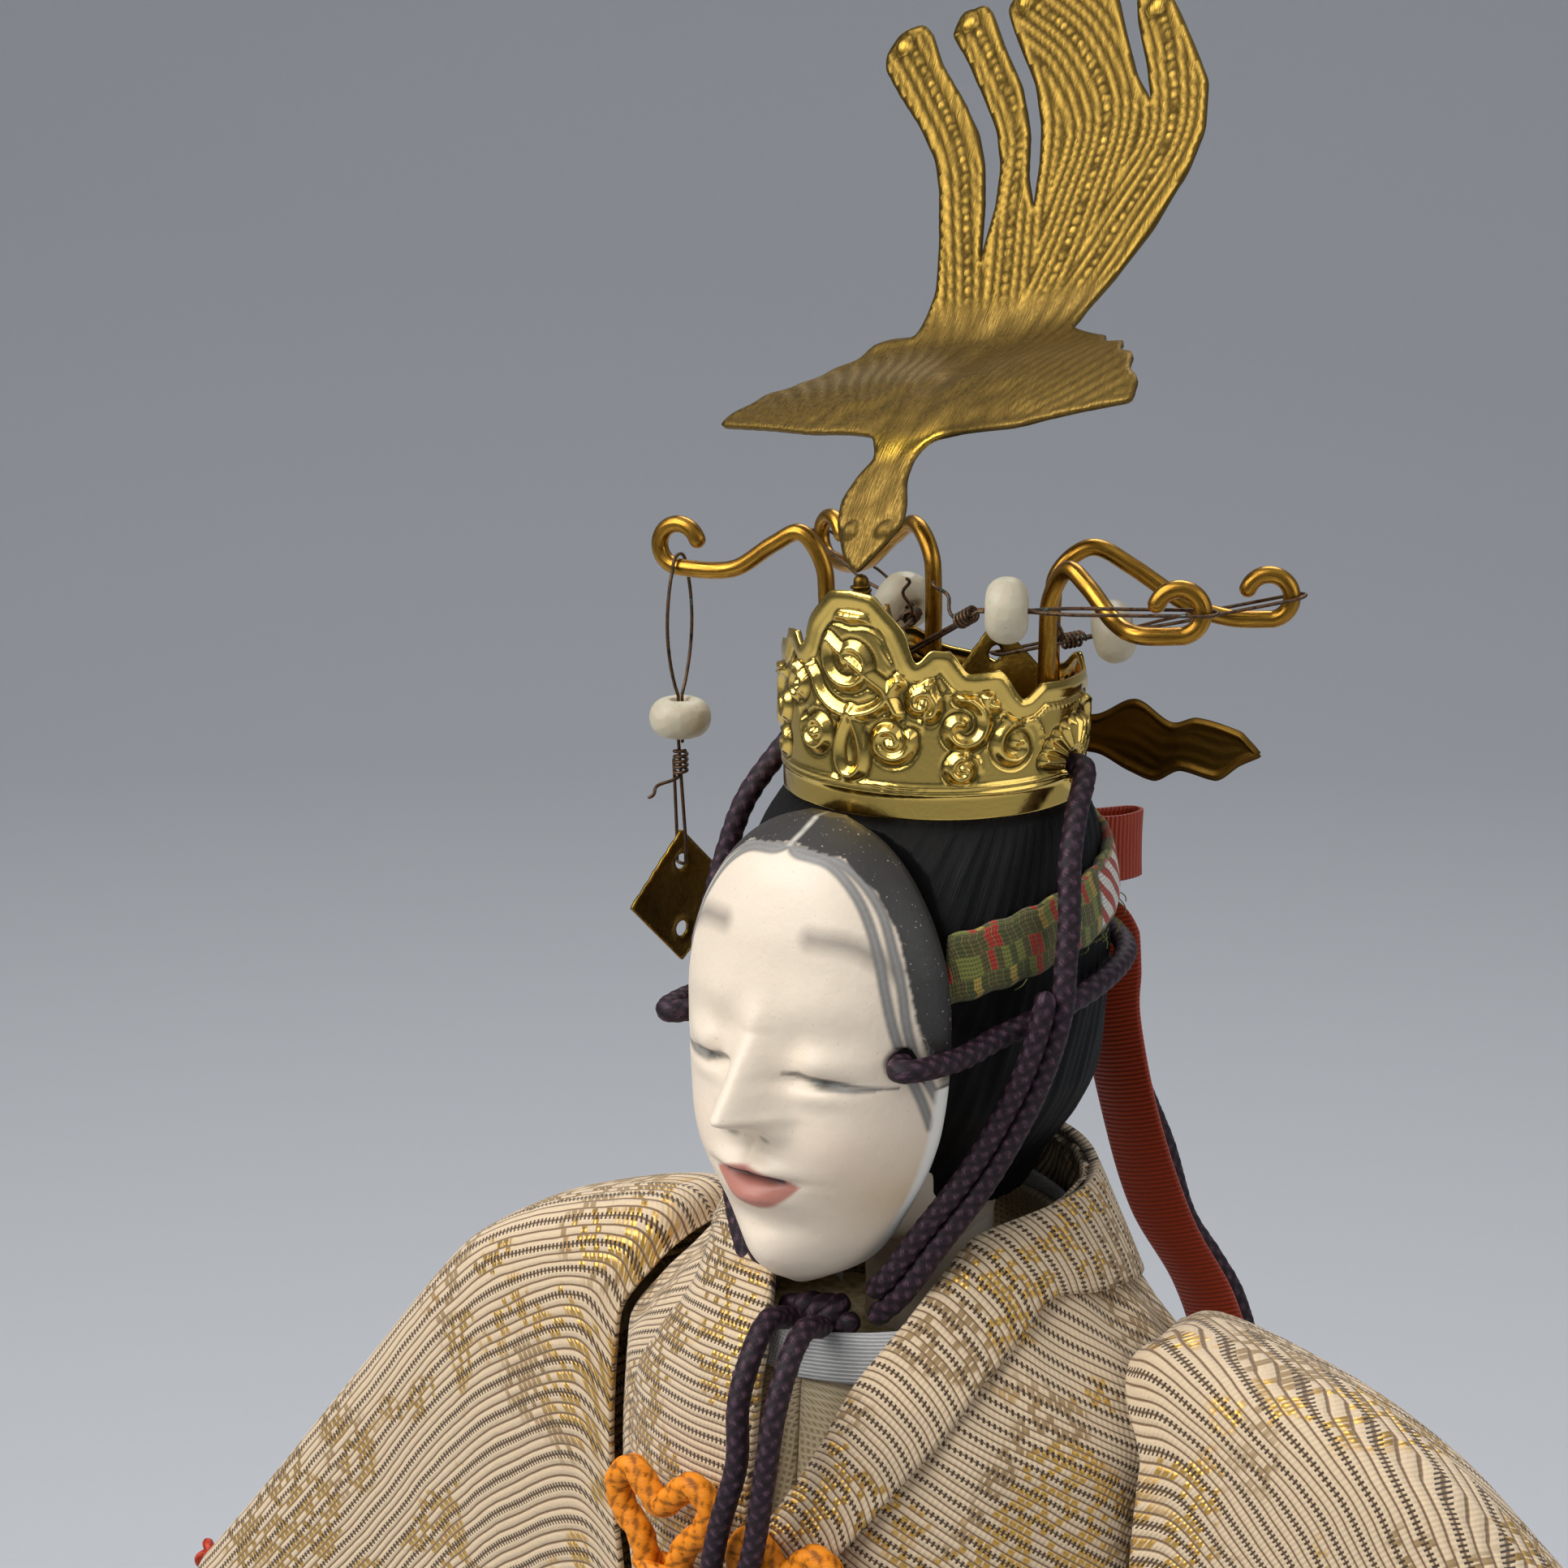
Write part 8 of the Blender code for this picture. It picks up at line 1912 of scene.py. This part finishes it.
def bird_place(flat, lift):
    """Where the flat stamping's points lie once it is bent: along a smooth line in the upright middle
    plane, across it at the bird's lean, and lifted square to the sheet."""
    line = route(np.array(BIRD_LINE) * BIRD, 0.0002)
    lengths = arc_lengths(line)
    lengths = lengths / lengths[-1] * 1.1018 * BIRD
    along = flat[:, 1]
    spot, ahead, behind = (at_columns(along + step, lengths, line) for step in (0, 0.0006, -0.0006))
    roll = math.radians(12)
    width = np.array((math.cos(roll), 0.0, math.sin(roll)))
    bulge = 0.0016 * bell(flat[:, 0], 0.0035) * np.exp(-(((along - 0.3251 * BIRD) / (0.2131 * BIRD)) ** 2))
    swell = bulge * 0.6
    foot_y, foot_z = -0.9286 * CROWN_RADIUS, CROWN_BASE + 1.068 * CREST
    place = np.column_stack([np.zeros(len(flat)), foot_y + spot[:, 0] - swell, foot_z + spot[:, 1] - swell])
    way = np.column_stack([np.zeros(len(flat)), ahead - behind])
    return place + width * flat[:, :1] + unit(np.cross(width, way)) * lift[:, None]


def line_gap(flat, line):
    """Distance of flat points from a line, and how far along it the nearest place is."""
    fine = route(line, 0.0004)
    gap = np.linalg.norm(flat[:, None] - fine[None], axis=2)
    nearest = gap.argmin(axis=1)
    return gap.min(axis=1), arc_lengths(fine)[nearest]


def phoenix():
    """The phoenix of stamped sheet brass. Its relief: tail feathers with ridges beside a row of beads,
    wings of long strokes that fan out from the shoulder under rows of shorter ones, a body of small
    scales, a raised rim, and a head with two eye bosses."""
    corners = np.vstack([BIRD_OUTLINE, BIRD_OUTLINE[:1]]) * BIRD
    steps = arc_lengths(corners)
    places = np.linspace(0, steps[-1], int(steps[-1] / 0.0006))
    outline = at_columns(places, steps, corners)[:-1]
    outline = (np.roll(outline, 1, 0) + 2 * outline + np.roll(outline, -1, 0)) / 4
    flat, triangles = cut_sheet(outline, 0.00042)
    x, y = flat.T / BIRD
    edge = inside_outline(outline, flat)[1]
    away = np.full(len(flat), 1.0)
    along = np.zeros(len(flat))
    for spots in TAIL_FEATHERS:
        gap, place = line_gap(flat, np.array(spots) * BIRD)
        along = np.where(gap < away, place, along)
        away = np.minimum(away, gap)
    quills = np.cos(np.clip(away, 0, 0.0042) * 2 * math.pi / 0.00098)
    beads = bell(away, 0.00032) * (0.5 + 0.5 * np.cos(along * 2 * math.pi / 0.0011))
    tail = 0.00011 * quills + 0.00024 * beads - 0.00010 * (away < 0.0003)
    fan = np.arctan2(np.abs(x) - 0.02, y - 0.10)
    far = np.hypot(np.abs(x) - 0.02, y - 0.10)
    strokes = np.cos(fan * 88 + 0.8 * np.sin(far * 40))
    rows = np.cos(far * 2 * math.pi / 0.055 + 1.2 * np.cos(fan * 16))
    wing = 0.00005 * strokes * clipped((far - 0.13) / 0.04) + 0.00006 * rows * (far < 0.24)
    scales = np.abs(np.sin(x * 62)) * np.abs(np.sin(y * 44 + (np.floor(x * 62 / math.pi) % 2) * math.pi / 2))
    body = 0.00016 * scales
    is_tail = clipped((y - 0.50) / 0.04)
    is_body = clipped((0.055 - np.abs(x)) / 0.015) * (1 - is_tail)
    relief = is_tail * tail + is_body * body + (1 - is_tail) * (1 - is_body) * wing
    relief = relief * clipped((edge - 0.0004) / 0.0005) + 0.00010 * bell(edge - 0.0004, 0.00028)
    for spot, high in (((0.026, 0.062), 0.0005), ((-0.030, 0.066), 0.0005), ((0.125, 0.935), 0.0004),
                       ((-0.110, 0.985), 0.0004), ((-0.200, 0.972), 0.0004), ((-0.312, 0.955), 0.0004)):
        boss = np.hypot(x - spot[0], y - spot[1]) * BIRD
        relief += high * bell(boss, 0.0007) - 0.00018 * bell(boss - 0.0011, 0.00025)
    low = is_tail * clipped(0.92 - relief / 0.00024) + (1 - is_tail) * clipped(0.40 - relief / 0.0006)
    # A painted highlight across the nape, and on the tail wear that brightens the raised ridges
    nape = bell(y - 0.205, 0.022) * (np.abs(x) < 0.06)
    rubbed = clipped(is_tail * (0.22 + 0.26 * np.clip(relief / 0.0002, -1, 1)) + 0.9 * nape)
    points = bird_place(flat, relief)
    marks = {"low": low, "rubbed": rubbed}
    data = mesh_of("phoenix_sheet", points, triangles.tolist(), flat[triangles.ravel()], marks)
    as_piece("phoenix_sheet", data, "phoenix_brass", "phoenix", wall=0.0005, side=0)
    stem_y = -0.8786 * CROWN_RADIUS
    low_end = np.array((0, stem_y, CROWN_BASE + 0.3214 * CROWN_RADIUS))
    high_end = np.array((0, stem_y, CROWN_BASE + 1.068 * CREST - 0.0009))
    pieces = [sweep(route([low_end, (low_end + high_end) / 2, high_end], 0.0005), 0.0007, 20)]
    turns = np.linspace(0, 2 * math.pi * 22, 900)
    climb = np.linspace(0.35, 0.98, 900)[:, None]
    coil = low_end + (high_end - low_end) * climb
    coil = coil + np.column_stack([np.cos(turns), np.sin(turns), np.zeros(900)]) * 0.00082
    pieces.append(sweep(coil, 0.00017, 8))
    joined("bird_stem", pieces, "dark_brass", "phoenix_stem")


# Settings of the add-on


def length(name, text, value):
    """A setting for a real size."""
    return FloatProperty(
        name=name, description=text, default=value, min=0.0, unit="LENGTH", subtype="DISTANCE"
    )


def colour(name, text, code):
    """A setting for a colour."""
    return FloatVectorProperty(
        name=name, description=text, default=linear(code), min=0.0, max=1.0, size=3, subtype="COLOR"
    )


class DollSizes(bpy.types.PropertyGroup):
    """Sizes of the doll's cloth and of its light."""

    gauze_pitch: length("Gauze thread pitch", "Distance between the gauze's cream threads", 0.00078)
    lamp_side: length("Lamp side", "Side of the square key light", 0.70)
    lamp_reach: length("Lamp reach", "Distance of the key light from the doll's head", 0.80)


class DollColours(bpy.types.PropertyGroup):
    """Colours of the doll's materials."""

    lacquer: colour("Lacquer", "Black lacquer of the base", "#0B0A0A")
    cotton: colour("Cotton", "White cotton of the socks", "#EEEBE3")
    mask: colour("Mask", "Warm ivory of the mask and hands", "#EAD9C3")
    mask_hair: colour("Painted hair", "Charcoal paint of the mask's hair", "#35322F")
    lips: colour("Lips", "Salmon red of the mask's lips", "#B25F50")
    skirt: colour("Skirt", "Crimson silk of the skirt", "#8E1D1A")
    gauze: colour("Gauze", "Cream thread of the outer robe", "#E6CBA6")
    # Painted shade in the gaps between the robe's threads
    gauze_gap_shade: colour("Gauze gaps", "Brown between the robe's threads", "#7C5F40")
    gold_foil: colour("Gold foil", "Flat gold woven into the robe", "#D2A552")
    red_cord: colour("Red cord", "Vermilion cord of the sleeves", "#B8341C")
    orange_cord: colour("Orange cord", "Orange cord of the collar", "#F08A0C")
    purple_cord: colour("Purple cord", "Aubergine cord of the head", "#281620")
    hair: colour("Hair", "Black silk of the hair", "#070708")
    ribbon: colour("Ribbon", "Orange-red ribbon of the hair", "#B93A10")
    brass: colour("Brass", "Yellow brass of the crown", "#E2C067")
    phoenix: colour("Aged brass", "Olive-brown brass of the phoenix", "#94773C")
    glass: colour("Glass", "Milky glass of the beads", "#DDD3B8")
    floor: colour("Floor", "Pale floor and backdrop", "#C6C8CB")


# Stage

AIM = Vector((-0.011374, -0.008060, 0.341707))


def aimed(thing, azimuth, elevation, reach):
    """Place a lamp or the camera at degrees round and above the doll's head, and turn it to the head."""
    a, e = math.radians(azimuth), math.radians(elevation)
    way = Vector((math.sin(a) * math.cos(e), -math.cos(a) * math.cos(e), math.sin(e)))
    thing.location = AIM + way * reach
    thing.rotation_euler = way.to_track_quat("Z", "Y").to_euler()
    bpy.context.scene.collection.objects.link(thing)


def stage():
    """A pale floor that runs on up into a wall by a wide bend, a large soft light from the left front, a
    weaker fill from the right and one from behind."""
    colours, sizes = bpy.context.scene.doll_colours, bpy.context.scene.doll_sizes
    tree, place = new_finish("painted_paper", Roughness=0.85)
    fibre = add_node(tree, "TexNoise", (place, 300.0, 3.0))
    tone = add_node(tree, "Mix", (fibre, tinted(colours.floor, 0.97), colours.floor))
    tree.links.new(tone, tree.nodes["Principled BSDF"].inputs["Base Color"])
    bend = np.radians(np.linspace(0, 90, 30))
    profile = [(1.3 + 0.8 * math.sin(a), 0.8 - 0.8 * math.cos(a)) for a in bend]
    profile = [(-2.2, 0.0), *profile, (2.1, 3.0)]
    turn = math.radians(35)
    x, (y, z) = np.linspace(-4, 4, 9)[None], np.array(profile).T[..., None]
    c, s = math.cos(turn), math.sin(turn)
    grid = np.stack(np.broadcast_arrays(x * c - y * s, x * s + y * c, z), -1)
    quads = grid_quads(np.arange(grid[..., 0].size).reshape(grid.shape[:2]))
    floor = bpy.data.objects.new("backdrop", mesh_of("backdrop", grid.reshape(-1, 3), quads.tolist()))
    floor.data.materials.append(MADE["painted_paper"])
    bpy.context.scene.collection.objects.link(floor)
    for name, azimuth, elevation, reach, side, power in (
        ("key", -28, 42, sizes.lamp_reach, sizes.lamp_side, 8.0),
        ("fill", 95, 20, 1.1, 0.8, 2.6),
        ("rim", 200, 48, 1.0, 0.5, 4.0),
    ):
        lamp = bpy.data.objects.new(name, bpy.data.lights.new(name, "AREA"))
        lamp.data.energy = power
        lamp.data.size = side
        aimed(lamp, azimuth, elevation, reach)
    world = bpy.data.worlds.new("studio")
    world.use_nodes = True
    sky = world.node_tree
    rise = add_node(sky, "SeparateXYZ", {"Vector": add_node(sky, "TexCoord", pick=0)}, 2)
    # A room: dim round the horizon, a bright ceiling
    glow = add_node(
        sky, "ValToRGB", {0: rise}, stops=((0.05, "#6C7178"), (1.0, "#F4F8FF"), (0.45, "#A9AFB6"))
    )
    sky.links.new(glow, sky.nodes["Background"].inputs[0])
    sky.nodes["Background"].inputs[1].default_value = 0.62
    bpy.context.scene.world = world
    bpy.context.scene.view_settings.view_transform = "Standard"


def camera():
    """The camera: 35 degrees to the doll's left, 15 above, at a long lens from 35 centimetres."""
    view = bpy.data.objects.new("camera", bpy.data.cameras.new("camera"))
    aimed(view, 35, 15, 0.350)
    view.data.lens = 86.09
    view.data.sensor_width = 36.0
    view.data.clip_start = 0.01
    bpy.context.scene.camera = view
    bpy.context.scene.render.resolution_x = bpy.context.scene.render.resolution_y = 1932


def hidden_rods():
    """Give the leg rods and the arm wire, which the clothes hide, their own materials."""
    hidden = {"leg_rod_left": "bare_wood", "leg_rod_right": "bare_wood", "arm_wire": "iron_wire"}
    for name, finish in hidden.items():
        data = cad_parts[name].data
        data.materials.clear()
        data.materials.append(finish_of(finish))


# Operators


def finished(*names):
    """Report success, or raise an error that names the pieces that were not made."""
    missing = [name for name in names if name not in bpy.data.objects]
    if missing:
        raise RuntimeError("not made: " + ", ".join(missing))
    return {"FINISHED"}


class DOLL_OT_camera(bpy.types.Operator):
    """Place the camera"""

    bl_idname = "doll.camera"
    bl_label = "Camera"

    def execute(self, context):
        camera()
        return finished("camera")


class DOLL_OT_cords(bpy.types.Operator):
    """Make the loose ends of the purple cords"""

    bl_idname = "doll.cords"
    bl_label = "Loose cords"

    def execute(self, context):
        free_cords()
        return finished(*(word + "_cord" for word in FREE_CORDS))


class DOLL_OT_ties(bpy.types.Operator):
    """Make the tied cords and their knots"""

    bl_idname = "doll.ties"
    bl_label = "Tied cords"

    def execute(self, context):
        tied_cords()
        chest_knots()
        return finished("mask_tie", "crown_tie_left", "crown_tie_right", "knot_under_chin", "knot_behind")


class DOLL_OT_base(bpy.types.Operator):
    """Make the board and the feet"""

    bl_idname = "doll.base"
    bl_label = "Base and feet"

    def execute(self, context):
        base_board()
        for side, word in SIDES:
            foot(side, word)
        hidden_rods()
        return finished("base", "tabi_left", "tabi_right")


class DOLL_OT_body(bpy.types.Operator):
    """Make the straw body, the arms and the hands"""

    bl_idname = "doll.body"
    bl_label = "Body and hands"

    def execute(self, context):
        body_form()
        arms()
        return finished("straw_body", "padding_left", "padding_right", "palm_left", "palm_right")


class DOLL_OT_skirt(bpy.types.Operator):
    """Make the skirt"""

    bl_idname = "doll.skirt"
    bl_label = "Skirt"

    def execute(self, context):
        skirt()
        return finished("skirt_cloth")


class DOLL_OT_under_robe(bpy.types.Operator):
    """Make the under robe, its collar and the sash"""

    bl_idname = "doll.under_robe"
    bl_label = "Under robe"

    def execute(self, context):
        under_robe()
        return finished("under_robe", "under_collar", "sash")


class DOLL_OT_robe(bpy.types.Operator):
    """Make the gauze robe, its collar band and its sleeves"""

    bl_idname = "doll.robe"
    bl_label = "Gauze robe"

    def execute(self, context):
        robe()
        sleeves()
        return finished("robe_body", "collar", "sleeve_cloth_left", "sleeve_cloth_right")


class DOLL_OT_head(bpy.types.Operator):
    """Make the head, the hair and the mask"""

    bl_idname = "doll.head"
    bl_label = "Head and mask"

    def execute(self, context):
        head_and_hair()
        mask()
        return finished("head_form", "hair_cap", "mask_face")


class DOLL_OT_ribbons(bpy.types.Operator):
    """Make the hairband and the ribbon"""

    bl_idname = "doll.ribbons"
    bl_label = "Hairband and ribbon"

    def execute(self, context):
        headband()
        ribbons()
        return finished("band", "ribbon_bound", "ribbon_standing")


class DOLL_OT_crown(bpy.types.Operator):
    """Make the crown"""

    bl_idname = "doll.crown"
    bl_label = "Crown"

    def execute(self, context):
        crown_band()
        return finished("crown_sheet", "leaf_sheet")


class DOLL_OT_pendants(bpy.types.Operator):
    """Make the crown's arms with their pendants"""

    bl_idname = "doll.pendants"
    bl_label = "Arms and pendants"

    def execute(self, context):
        crown_arms()
        return finished(
            *(f"{part}_{word}" for part in ("arm_rod", "wire", "glass", "square") for word in PENDANTS)
        )


class DOLL_OT_phoenix(bpy.types.Operator):
    """Make the phoenix"""

    bl_idname = "doll.phoenix"
    bl_label = "Phoenix"

    def execute(self, context):
        phoenix()
        return finished("phoenix_sheet", "bird_stem")


class DOLL_OT_stage(bpy.types.Operator):
    """Make the floor and the lights"""

    bl_idname = "doll.stage"
    bl_label = "Stage"

    def execute(self, context):
        stage()
        return finished("backdrop", "key", "fill", "rim")


OPERATORS = (
    DOLL_OT_camera, DOLL_OT_cords, DOLL_OT_ties, DOLL_OT_base, DOLL_OT_body, DOLL_OT_skirt,
    DOLL_OT_under_robe,
    DOLL_OT_robe, DOLL_OT_head, DOLL_OT_ribbons, DOLL_OT_crown, DOLL_OT_pendants, DOLL_OT_phoenix,
    DOLL_OT_stage,
)


class DOLL_PT_panel(bpy.types.Panel):
    """The doll's sizes, colours and pieces"""

    bl_label = "Noh dancer doll"
    bl_space_type = "VIEW_3D"
    bl_region_type = "UI"
    bl_category = "Doll"

    def draw(self, context):
        """List the settings and the operators."""
        for group in (context.scene.doll_sizes, context.scene.doll_colours):
            for key in group.bl_rna.properties.keys():
                if key not in ("rna_type", "name"):
                    self.layout.prop(group, key)
        for operator in OPERATORS:
            self.layout.operator(operator.bl_idname)


CLASSES = (DollSizes, DollColours, *OPERATORS, DOLL_PT_panel)


def register():
    """Register the add-on's classes and settings."""
    for kind in CLASSES:
        bpy.utils.register_class(kind)
    bpy.types.Scene.doll_sizes = PointerProperty(type=DollSizes)
    bpy.types.Scene.doll_colours = PointerProperty(type=DollColours)


def unregister():
    """Take the add-on's classes and settings away again."""
    del bpy.types.Scene.doll_colours
    del bpy.types.Scene.doll_sizes
    for kind in reversed(CLASSES):
        bpy.utils.unregister_class(kind)


def plain(box):
    """A box's corners as plain lists."""
    return [[float(v) for v in corner] for corner in box]


def main():
    """Make every piece in order."""
    register()
    for kind in OPERATORS:
        group, name = kind.bl_idname.split(".")
        getattr(getattr(bpy.ops, group), name)()


if __name__ == "__main__":
    main()
